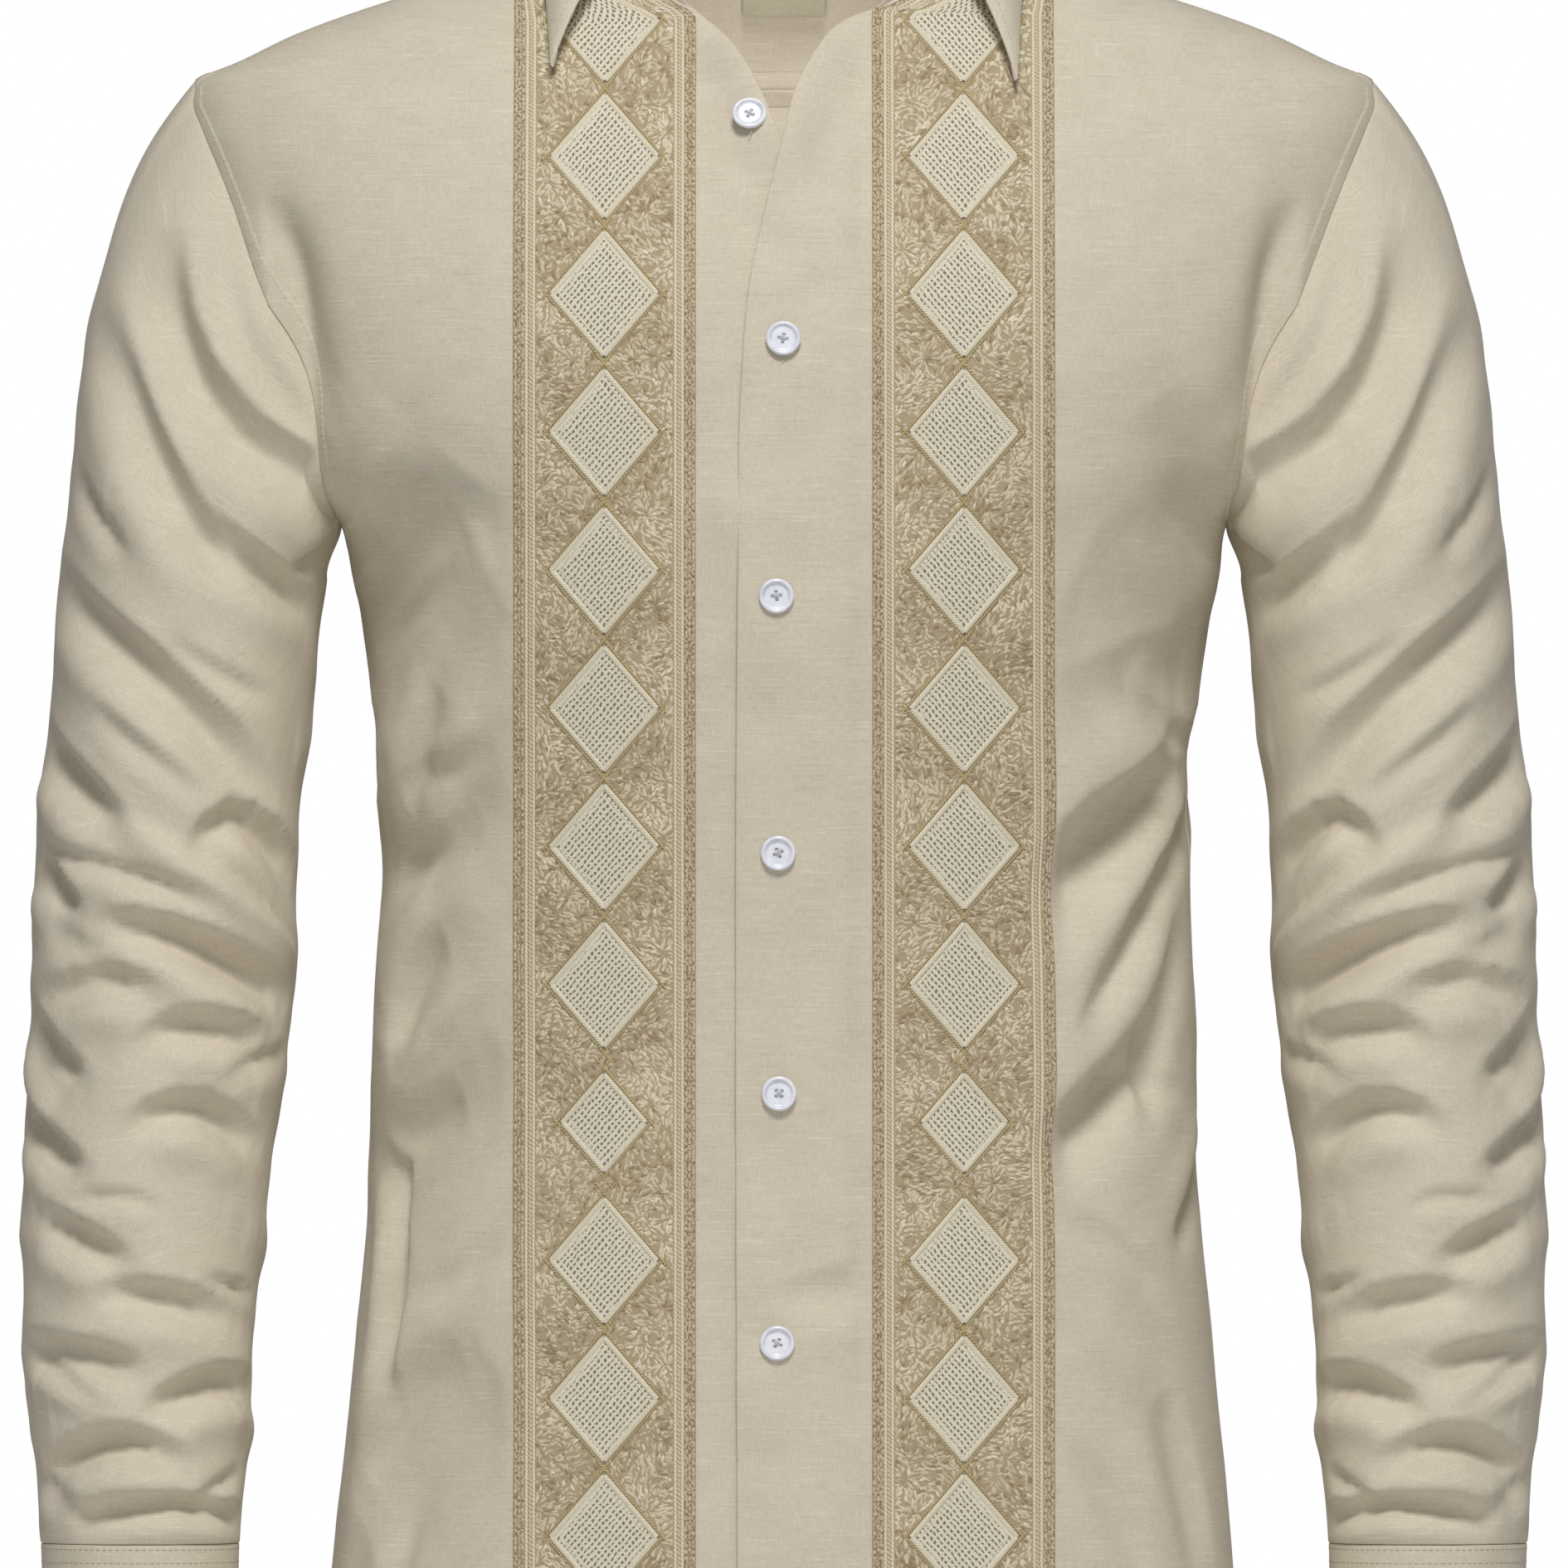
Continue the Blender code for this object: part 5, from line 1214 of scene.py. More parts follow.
@dataclass(frozen=True)
class ClothFinish(Finish):
    """Slub cloth in one dyed colour."""

    light: tuple = linear(229, 219, 199)
    dark: tuple = linear(192, 181, 160)
    slubs: float = 1.0
    relief: float = 0.22

    def dress(self, board: Board, shader: Node) -> None:
        """Wires the weave into colour and relief."""
        weave = self.group(board, "slub weave", Slubs=self.slubs, Mottle=0.30)
        share = board.span(weave["Shade"], -0.55, 0.45)
        board.feed(shader.inputs["Base Color"], board.mix(share, self.dark, self.light))
        board.feed(shader.inputs["Normal"], board.bump(weave["Height"], self.relief, 0.0004))


@dataclass(frozen=True)
class StitchFinish(Finish):
    """Embroidery stitches, each in its own tone."""

    dark: tuple = linear(158, 138, 104)
    middle: tuple = linear(218, 204, 175)
    light: tuple = linear(240, 231, 206)

    def dress(self, board: Board, shader: Node) -> None:
        """Wires the tone and the thread's strands."""
        tone = board.node("ShaderNodeAttribute", attribute_name="tone").outputs["Fac"]
        low = board.mix(board.span(tone, 0.0, 0.5), self.dark, self.middle)
        colour = board.mix(board.span(tone, 0.5, 1.0), low, self.light)
        thread = self.group(board, "twisted thread", Turns=1.1, Slant=1.2)
        shade = board.span(thread["Turn"], 0.0, 1.0, 0.0, 0.22)
        board.feed(shader.inputs["Base Color"], board.mix(shade, colour, self.dark))
        board.feed(shader.inputs["Normal"], board.bump(thread["Turn"], 0.25, 0.0002))


@dataclass(frozen=True)
class LozengeFinish(Finish):
    """Openwork of a lozenge: pale stitching, with its slits painted dark as the shade in the openings over
    the darker cloth beneath.
    """

    light: tuple = linear(244, 238, 221)
    dark: tuple = linear(221, 211, 187)
    # painted shade: the slits' colour is the darker cloth beneath, darkened as the openings' shadow
    slit_cloth_and_shade: tuple = linear(140, 128, 104)

    def dress(self, board: Board, shader: Node) -> None:
        """Wires the slits' painted shade and the stitched bars."""
        work = self.group(board, "openwork slits", Across=2.0, Along=2.15)
        stitched = board.mix(board.span(work["Bar"], 0.2, 0.8), self.dark, self.light)
        # the slits are painted in that shade colour, not lit by any light
        board.feed(shader.inputs["Base Color"], board.mix(work["Slit"], stitched, self.slit_cloth_and_shade))
        height = board.sum("MULTIPLY_ADD", work["Slit"], -1.6, work["Bar"])
        board.feed(shader.inputs["Normal"], board.bump(height, 0.5, 0.0005))


@dataclass(frozen=True)
class CordFinish(Finish):
    """A laid cord of two twisted tones."""

    light: tuple = linear(222, 212, 186)
    dark: tuple = linear(172, 152, 112)
    turns: float = 0.55
    slant: float = 0.9
    flecks: float = 0.9
    twist: float = 0.6

    def dress(self, board: Board, shader: Node) -> None:
        """Wires the twist."""
        thread = self.group(board, "twisted thread", Turns=self.turns, Slant=self.slant)
        fleck = board.sum("SUBTRACT", thread["Fleck"], 0.5)
        turn = board.sum("MULTIPLY_ADD", thread["Turn"], self.twist, 0.5 - self.twist / 2)
        fleck = board.sum("MULTIPLY_ADD", fleck, self.flecks, turn)
        share = board.span(fleck, 0.1, 0.8)
        board.feed(shader.inputs["Base Color"], board.mix(share, self.dark, self.light))
        board.feed(shader.inputs["Normal"], board.bump(thread["Turn"], 0.4, 0.0004))


@dataclass(frozen=True)
class ButtonFinish(Finish):
    """Polished shell with faint clouds."""

    light: tuple = linear(246, 247, 253)
    dark: tuple = linear(228, 230, 241)

    def dress(self, board: Board, shader: Node) -> None:
        """Wires the clouds."""
        place = board.node("ShaderNodeTexCoord").outputs["Object"]
        scaled = board.node("ShaderNodeVectorMath", operation="SCALE")
        board.feed(scaled.inputs[0], place)
        scaled.inputs["Scale"].default_value = 220.0
        cloud = board.noise(scaled.outputs[0], 2.0)
        board.feed(shader.inputs["Base Color"], board.mix(board.span(cloud, 0.3, 0.7), self.dark, self.light))
        shader.inputs["Coat Weight"].default_value = 0.5
        shader.inputs["Coat Roughness"].default_value = 0.12


@dataclass(frozen=True)
class PlainFinish(Finish):
    """One even colour."""

    colour: tuple = linear(243, 243, 243)

    def dress(self, board: Board, shader: Node) -> None:
        """Wires the colour with the faintest variation."""
        noise = board.node("ShaderNodeTexNoise")
        noise.inputs["Scale"].default_value = 3.0
        darker = tuple(part * 0.97 for part in self.colour[:3]) + (1.0,)
        board.feed(shader.inputs["Base Color"], board.mix(noise.outputs["Fac"], darker, self.colour))


SHIRT_CLOTH = ClothFinish("shirt cloth", 0.78, 0.12, 0.25)
BAND_GROUND = ClothFinish(
    "band ground", 0.9, 0.0, 0.1,
    linear(194, 178, 148), linear(158, 142, 112), 0.2, 0.2,
)
STITCHES = StitchFinish("embroidery stitches", 0.6, 0.1, 0.3)
LOZENGES = LozengeFinish("lozenge openwork", 0.75, 0.1, 0.25)
LOZENGE_CORD = CordFinish(
    "lozenge cord", 0.6, 0.1, 0.3,
    linear(238, 230, 208), linear(212, 200, 170), 0.8, 1.0,
)
LIGHT_CORD = CordFinish("light cord", 0.6, 0.1, 0.3)
BROWN_CORD = CordFinish(
    "brown cord", 0.65, 0.05, 0.25,
    linear(214, 199, 170), linear(142, 122, 92), 0.35, 0.9, 3.0, 0.1,
)
CREAM_CORD = CordFinish("cream cord", 0.6, 0.1, 0.3, linear(236, 228, 206), linear(212, 200, 172), 0.6, 0.8)
GOLD_CORD = CordFinish("gold cord", 0.6, 0.1, 0.3, linear(204, 186, 142), linear(160, 138, 94), 0.7, 0.9)
BUTTON_THREAD = CordFinish(
    "button thread", 0.5, 0.1, 0.3,
    linear(226, 226, 228), linear(186, 186, 190), 0.9, 0.6,
)
SEWING = CordFinish("sewing thread", 0.55, 0.1, 0.3, linear(210, 200, 176), linear(176, 163, 136), 0.9, 0.6)
PALE_SEWING = CordFinish(
    "pale sewing thread", 0.55, 0.1, 0.3,
    linear(236, 228, 208), linear(212, 203, 180), 0.9, 0.6,
)
SHELL = ButtonFinish("shell button", 0.22, 0.0, 0.5)
LABEL_WEAVE = ClothFinish(
    "label weave", 0.7, 0.1, 0.2,
    linear(206, 198, 176), linear(176, 166, 140), 0.3, 0.2,
)
PALE_FLOOR = PlainFinish("pale floor", 0.9, 0.0, 0.1)


# ---- the panels ----


def steps_between(marks: Sequence[float], cell: float) -> Array:
    """Even steps of about one cell between each two marks, with every mark kept."""
    found = [np.array([float(marks[0])])]
    for low, high in zip(marks, marks[1:]):
        count = max(1, round(abs(high - low) / cell))
        found.append(np.linspace(low, high, count + 1)[1:])
    return np.concatenate(found)


def declare(
    obj: Piece, nodes: Sequence[str] = (),
) -> Piece:
    """Parents a piece to the body and hides the solids it stands for.

    Args:
        obj: the piece.
        nodes: the solids it stands for.

    Returns:
        The piece.
    """
    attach(obj, BODY)
    if nodes:
        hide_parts(*nodes)
    LOG.info("%s: %d faces", obj.name, len(obj.data.polygons))
    return obj


def shirt_piece(
    sheet: Sheet, node: str,
    mirrored: bool = False,
) -> Piece:
    """Makes a sheet of shirt cloth as the piece that stands for one solid.

    Args:
        sheet: the sheet, its edges turned under.
        node: the solid it stands for.
        mirrored: whether to make its mirror image in the middle plane.

    Returns:
        The piece.
    """
    obj = sheet.build(SHIRT_CLOTH.material(), mirrored)
    return declare(obj, [node])


def cuff_lap(degrees: Array) -> Array:
    """How far a cuff stands out at this many degrees from its start, to clear its own inner end."""
    return CUFF_LAP * ramp(degrees, *CUFF_LAP_DEGREES)


def felled(away: Array) -> Array:
    """Lift of a folded seam allowance under the cloth, at a distance from the seam."""
    return FELL_RISE * (1 - ramp(away, FELL_WIDTH, FELL_WIDTH + 0.7))


@dataclass
class Front:
    """One front of the shirt, with its opening edge, and what a place on it is."""

    name: str
    side: int
    edge: Sequence[EdgePoint]
    flat: tuple[float, float]
    area: float
    cell: float = 2.5
    edge_inset: float = 0.5
    placket_columns: int = 18  # columns of points between the opening edge and the band
    band_columns: int = 31
    free_columns: int = 48  # between the band and the rows beside the outer seam

    def edge_lift(self, x: Array, z: Array) -> Array:
        """Lift over the form: the lap of the left front, and both open edges' soft roll."""
        away = np.clip(self.side * (x - from_table(z, self.edge, "x")), 0, None)
        roll = EDGE_ROLL * ramp(z, *ROLL_START_Z) * (1 - ramp(z, *ROLL_END_Z))
        lift = roll * (1 - ramp(away, 0, EDGE_ROLL_WIDTH))
        if self.side > 0:
            lift = lift + LAP_LIFT * (1 - ramp(x, LAP_INNER_X, LAP_OUTER_X)) * (1 - ramp(z, *LAP_END_Z))
        return lift

    def outer_angle(self, z: Array) -> Array:
        """Section angle of its outer boundary: side seam, armhole or shoulder seam."""
        angle = np.where(z <= ARMPIT_Z, SIDE_SEAM, armhole_angle(np.maximum(z, ARMPIT_Z), False))
        return np.where(z >= SHOULDER_SEAM_Z, shoulder_seam_angle(z), angle)

    def limits(self, z: Array) -> tuple[Array, Array, Array, Array]:
        """Distances from the middle of the edge, the band's two edges and the outer boundary."""
        width = from_table(z, SECTIONS, "half_width")
        outer = width * np.sin(self.outer_angle(z)) ** ROUNDNESS
        neck = np.radians(from_table(z, NECKLINE[:5], "degrees", "z"))
        edge = np.where(z < NECK_CORNER_Z, self.side * from_table(z, self.edge, "x"),
                        width * np.sin(neck) ** ROUNDNESS)
        band_outer = np.minimum(BAND_OUTER_X, edge + BAND_SIDE_SHARE * (outer - edge))
        clear = BAND_EDGE_CLEAR * np.minimum(1, (band_outer - edge) / BAND_NARROW)
        return edge, np.maximum(BAND_INNER_X, edge + clear), band_outer, outer

    def place(self, x: Array, z: Array, lift: Array | float = 0.0) -> Array:
        """Point of the front's cloth at a signed x and a height, plus a lift."""
        return SHIRT_BODY.point(SHIRT_BODY.angle_at(x, z), z, self.edge_lift(x, z) + lift)

    def band_place(self, spot: Array, z: Array, lift: Array | float = 0.0) -> Array:
        """The same at a place across the embroidered band, from 35 at its inner edge to 108."""
        _, inner, outer, _ = self.limits(z)
        x = inner + (spot - BAND_INNER_X) * (outer - inner) / (BAND_OUTER_X - BAND_INNER_X)
        return self.place(self.side * x, z, lift)

    def band_way(self, spot: Array, z: Array) -> Array:
        """Outward direction of the cloth at a place across the band."""
        across = self.band_place(spot + 0.6, z) - self.band_place(spot - 0.6, z)
        up = self.band_place(spot, z + 0.6) - self.band_place(spot, z - 0.6)
        return unit(np.cross(across, up)) * self.side

    def sheet(self) -> Sheet:
        """The front as a net of cloth points, its edges turned under."""
        marks = (HEM_Z + SEAM_SHARE, ARMPIT_Z, SHOULDER_SEAM_Z, NECK_CORNER_Z, FRONT_TOP_Z)
        heights = steps_between(marks, self.cell)[:, None]
        edge, inner, band_outer, _ = self.limits(heights)
        outer_angle = self.outer_angle(heights)
        inset, band_start = self.edge_inset, self.placket_columns
        placket = edge + inset + (inner - edge - inset) * np.linspace(0, 1, band_start + 1)[:-1]
        band = inner + (band_outer - inner) * np.linspace(0, 1, self.band_columns)
        start = SHIRT_BODY.angle_at(band_outer, heights)
        seam = np.array(SEAM_PLACES) + SEAM_SHARE
        radius = radius_beside(outer_angle, heights)
        radius = radius[..., None] if radius.ndim < heights.ndim else radius
        ends = np.maximum(outer_angle - seam / radius, start + (outer_angle - start) * 0.4)
        ends = start + np.maximum.accumulate(ends - start, axis=1)
        free = start + (ends[:, :1] - start) * np.linspace(0, 1, self.free_columns + 2)[1:-1]
        angles = np.concatenate([SHIRT_BODY.angle_at(np.concatenate([placket, band], axis=1), heights),
                                 free, ends], axis=1)
        heights = heights + 0 * angles
        x = SHIRT_BODY.base(angles, heights)[..., 0] * self.side
        away = (outer_angle - angles) * radius
        rise = felled(away) * ramp(heights, ARMPIT_Z - 1, ARMPIT_Z + 3)
        rise = rise * (1 - ramp(heights, SHOULDER_SEAM_Z - 1, SHOULDER_SEAM_Z + 3))
        lift = self.edge_lift(x, heights) + rise
        points = SHIRT_BODY.point(self.side * angles, heights, lift)
        ways = SHIRT_BODY.way(self.side * angles, heights)
        run = np.linalg.norm(np.diff(points, axis=1), axis=-1)
        across = np.concatenate([np.zeros((len(points), 1)), np.cumsum(run, axis=1)], axis=1)
        across = (across - across[:, band_start, None] + BAND_INNER_X) * self.side
        up = run_lengths(points[:, band_start])[:, None] + 0 * across
        made = Sheet(f"{self.name}_cloth", points, ways, np.stack([across, up], axis=-1))
        return made.turned(*SIDES_THEN_ENDS)

    def build(self) -> Piece:
        """Makes the front as a piece."""
        sheet = self.sheet()
        if self.side < 0:
            nets = (sheet.points, sheet.ways, sheet.flat)
            sheet.points, sheet.ways, sheet.flat = (net[:, ::-1] for net in nets)
        return shirt_piece(sheet, self.name)


@dataclass
class Yoke:
    """The yoke, over both shoulders, on rays from the neckline to its outer seams."""

    flat: tuple[float, float] = (0.49, 0.17)
    area: float = 0.054
    back_steps: int = 60

    def back_seam(self, share: Array) -> tuple[Array, Array]:
        """(angle, z) of the back seam: share 0 is the centre back, 1 the left armhole."""
        end_angle = armhole_angle(YOKE_SEAM_Z - YOKE_SEAM_DROP, True)
        return math.pi - share * (math.pi - end_angle), YOKE_SEAM_Z - YOKE_SEAM_DROP * share * share

    def outline(self) -> tuple[Array, Array, Array]:
        """(outer ends, neck ends, whether at the armhole) of its left rays, from the centre back."""
        angles, heights = self.back_seam(np.linspace(0, 1, self.back_steps + 1))
        armhole = steps_between((YOKE_SEAM_Z - YOKE_SEAM_DROP, SHOULDER_TIP_Z), 2.4)[1:]
        ahead = steps_between((SHOULDER_TIP_Z, SHOULDER_SEAM_Z), 1.2)[1:]
        angles = np.concatenate([angles, armhole_angle(armhole[:-1], True), [SIDE_SEAM],
                                 armhole_angle(ahead, False)])
        heights = np.concatenate([heights, armhole, ahead])
        outer = np.stack([angles, heights], axis=-1)
        at_armhole = np.arange(len(outer)) >= self.back_steps
        neck = np.linspace(180, SHOULDER_SEAM_START, len(outer))
        return outer, np.stack([np.radians(neck), from_table(neck, NECKLINE, "z")], -1), at_armhole

    def sheet(self) -> Sheet:
        """The yoke as a net of cloth points, its edges turned under."""
        outer, neck, at_armhole = self.outline()
        beside = outer + (neck - outer) * SEAM_PROBE
        ends = SHIRT_BODY.base(outer[:, 0], outer[:, 1]) - SHIRT_BODY.base(beside[:, 0], beside[:, 1])
        reach = np.linalg.norm(ends, axis=-1)[:, None] / SEAM_PROBE
        near = 1 - (np.array(SEAM_PLACES) + SEAM_SHARE) / reach
        far = np.linspace(0.004, 1, 26)[:-1] * near[:, :1]
        shares = np.concatenate([far, near], axis=1)
        left = neck[:, None] + (outer - neck)[:, None] * shares[..., None]
        heights = left[-1, :, 1]
        left[-1, :, 0] = shoulder_seam_angle(heights) + 0.5 * SEAM_SHARE / BODY_RADIUS
        right = left[:0:-1] * np.array([-1.0, 1.0])
        rays = np.concatenate([right, left])
        away = np.concatenate([((1 - shares) * reach)[:0:-1], (1 - shares) * reach])
        held = np.concatenate([at_armhole[:0:-1], at_armhole])[:, None]
        rise = felled(away) * np.where(held, 1.0, 0.55)
        angles, heights = rays[..., 0].T, rays[..., 1].T
        points = SHIRT_BODY.point(angles, heights, rise.T)
        flat = np.stack([points[..., 0], points[..., 2] - points[..., 1]], axis=-1)
        made = Sheet("yoke_cloth", points, SHIRT_BODY.way(angles, heights), flat)
        return made.turned(Edge.FIRST_COLUMN, Edge.LAST_COLUMN, Edge.LAST_ROW, Edge.FIRST_ROW)

    def build(self) -> Piece:
        """Makes the yoke as a piece."""
        return shirt_piece(self.sheet(), "yoke")


@dataclass
class Back:
    """The back, from its yoke seam to the hem."""

    flat: tuple[float, float] = (0.62, 0.69)
    area: float = 0.395
    cell: float = 2.8
    free_columns: int = 77  # from the middle to the rows beside a seam

    def sheet(self) -> Sheet:
        """The back as a net of cloth points, its edges turned under."""
        end_z = YOKE_SEAM_Z - YOKE_SEAM_DROP
        ends = steps_between((HEM_Z + SEAM_SHARE, ARMPIT_Z, end_z - SEAM_SHARE), self.cell)[:, None]
        side = np.where(ends <= ARMPIT_Z, SIDE_SEAM, armhole_angle(np.maximum(ends, ARMPIT_Z), True))
        free = np.linspace(0, 1, self.free_columns + 1)
        reach = (math.pi - side) * radius_beside(side, ends, True)
        seam = 1 - (np.array(SEAM_PLACES) + SEAM_SHARE) / reach
        shares = np.concatenate([free[:-1] * seam[:, :1], seam], axis=1)
        top = ends[-1, 0]
        centre = np.where(ends < ARMPIT_Z, ends, ARMPIT_Z + (ends - ARMPIT_Z)
                          * (YOKE_SEAM_Z - SEAM_SHARE - ARMPIT_Z) / (top - ARMPIT_Z))
        heights = centre + (ends - centre) * shares * shares
        turns = math.pi - shares * (math.pi - side)
        rise = felled((1 - shares) * reach)
        rise = rise * ramp(heights, ARMPIT_Z - 1, ARMPIT_Z + 3)
        angles = np.concatenate([turns[:, :0:-1], -turns], axis=1)
        heights = np.concatenate([heights[:, :0:-1], heights], axis=1)
        rise = np.concatenate([rise[:, :0:-1], rise], axis=1)
        points = SHIRT_BODY.point(angles, heights, rise)
        made = Sheet("back_cloth", points, SHIRT_BODY.way(angles, heights), flat_net(points))
        return made.turned(*SIDES_THEN_ENDS)

    def build(self) -> Piece:
        """Makes the back as a piece."""
        return shirt_piece(self.sheet(), "back")


@dataclass
class Sleeve:
    """One long set-in sleeve and its cuff."""

    side: int
    flat: tuple[float, float] = (0.40, 0.61)
    area: float = 0.19
    columns: int = 150
    cap_rows: int = 52
    cell: float = 2.6
    cuff_flat: tuple[float, float] = (0.265, 0.064)

    @property
    def label(self) -> str:
        """Which side it is on, in words."""
        return side_word(self.side)

    def loop(self) -> Array:
        """The armhole seam's points at even steps, the same number before and behind."""
        seam, _ = armhole_line(self.side)
        half = len(seam) // 2
        found = []
        for run in (seam[: half + 1], np.concatenate([seam[half:], seam[:1]])):
            length = run_lengths(run)
            spots = np.linspace(0, length[-1], self.columns // 2 + 1)[:-1]
            found.append(np.stack([np.interp(spots, length, run[:, axis]) for axis in range(3)], axis=-1))
        return np.concatenate(found)

    def net(self) -> tuple[Array, Array]:
        """(points, directions) of the sleeve, given as the left one's mirror image on the right."""
        loop = self.loop()
        turns = np.arange(self.columns) * 2 * math.pi / self.columns
        bottom = SHIRT_SLEEVE.ring(CAP_BOTTOM_Z, turns)
        arrive = unit(np.stack([ARRIVE_OUT * np.cos(turns), 0 * turns, -1 + 0 * turns], -1))
        reach = np.linalg.norm(bottom - loop, axis=-1, keepdims=True)
        t = np.linspace(0, 1, self.cap_rows + 1)[:-1, None, None]
        base = (1 + 2 * t) * (1 - t) ** 2 * loop + t * (1 - t) ** 2 * reach * leaving(turns)
        base = base + t * t * (3 - 2 * t) * bottom + t * t * (t - 1) * reach * arrive
        levels = steps_between((CAP_BOTTOM_Z, CUFF_TOP_Z + 0.6), self.cell)
        rings = SHIRT_SLEEVE.ring(levels[:, None], turns[None])
        base = np.concatenate([base, rings])
        normals = net_ways(base, wraps=True)
        fold = SHIRT_SLEEVE.fold(base)
        fold = fold * ramp(np.arange(len(fold)), 0, CALM_ROWS)[:, None]
        return base + normals * fold[..., None], normals

    def sheet(self) -> Sheet:
        """The sleeve as a net of cloth points, closed round by one seam under the arm."""
        points, ways = self.net()
        points[0] += unit(points[1] - points[0]) * SEAM_SHARE
        half = self.columns // 2
        points, ways = (np.roll(net, -half, axis=1) for net in (points, ways))
        points, ways = (np.concatenate([net, net[:, :1]], axis=1) for net in (points, ways))
        down = np.linalg.norm(np.diff(points, axis=0), axis=-1)
        from_end = np.cumsum(down[::-1], axis=0)[::-1]
        up = np.concatenate([from_end, np.zeros((1, points.shape[1]))])
        across = np.linspace(-math.pi, math.pi, points.shape[1]) * SLEEVE_RADIUS + 0 * up
        made = Sheet(f"sleeve_{self.label}_cloth", points, ways, np.stack([across, up], -1),
                     fold_depths=(1.5, 6.0))
        return made.turned(Edge.FIRST_ROW, Edge.LAST_ROW)

    def cuff_sheet(self) -> Sheet:
        """The cuff: a strip that laps over its own end."""
        degrees = np.linspace(0, CUFF_TURN_DEGREES, 150)
        lap = cuff_lap(degrees)
        turns = np.radians(CUFF_START_DEGREES + degrees)
        levels = steps_between((CUFF_TOP_Z - 0.6, CUFF_BOTTOM_Z + SEAM_SHARE), 2.6)[:, None]
        way = np.stack([np.cos(turns), -np.sin(turns), 0 * turns], -1)[None] + np.zeros((len(levels), 1, 1))
        crown = CUFF_CROWN * np.sin(np.pi * (levels - levels[0]) / (levels[-1] - levels[0]))
        points = SHIRT_SLEEVE.ring(levels, turns[None]) + way * (lap[None] + crown)[..., None]
        made = Sheet(f"cuff_{self.label}_cloth", points, way, flat_net(points, (0.0, 40.0)))
        return made.turned(*SIDES_THEN_ENDS)

    def build(self) -> None:
        """Makes the sleeve and the cuff as pieces."""
        sleeve, cuff, mirrored = f"sleeve_{self.label}", f"cuff_{self.label}", self.side < 0
        shirt_piece(self.sheet(), sleeve, mirrored)
        shirt_piece(self.cuff_sheet(), cuff, mirrored)


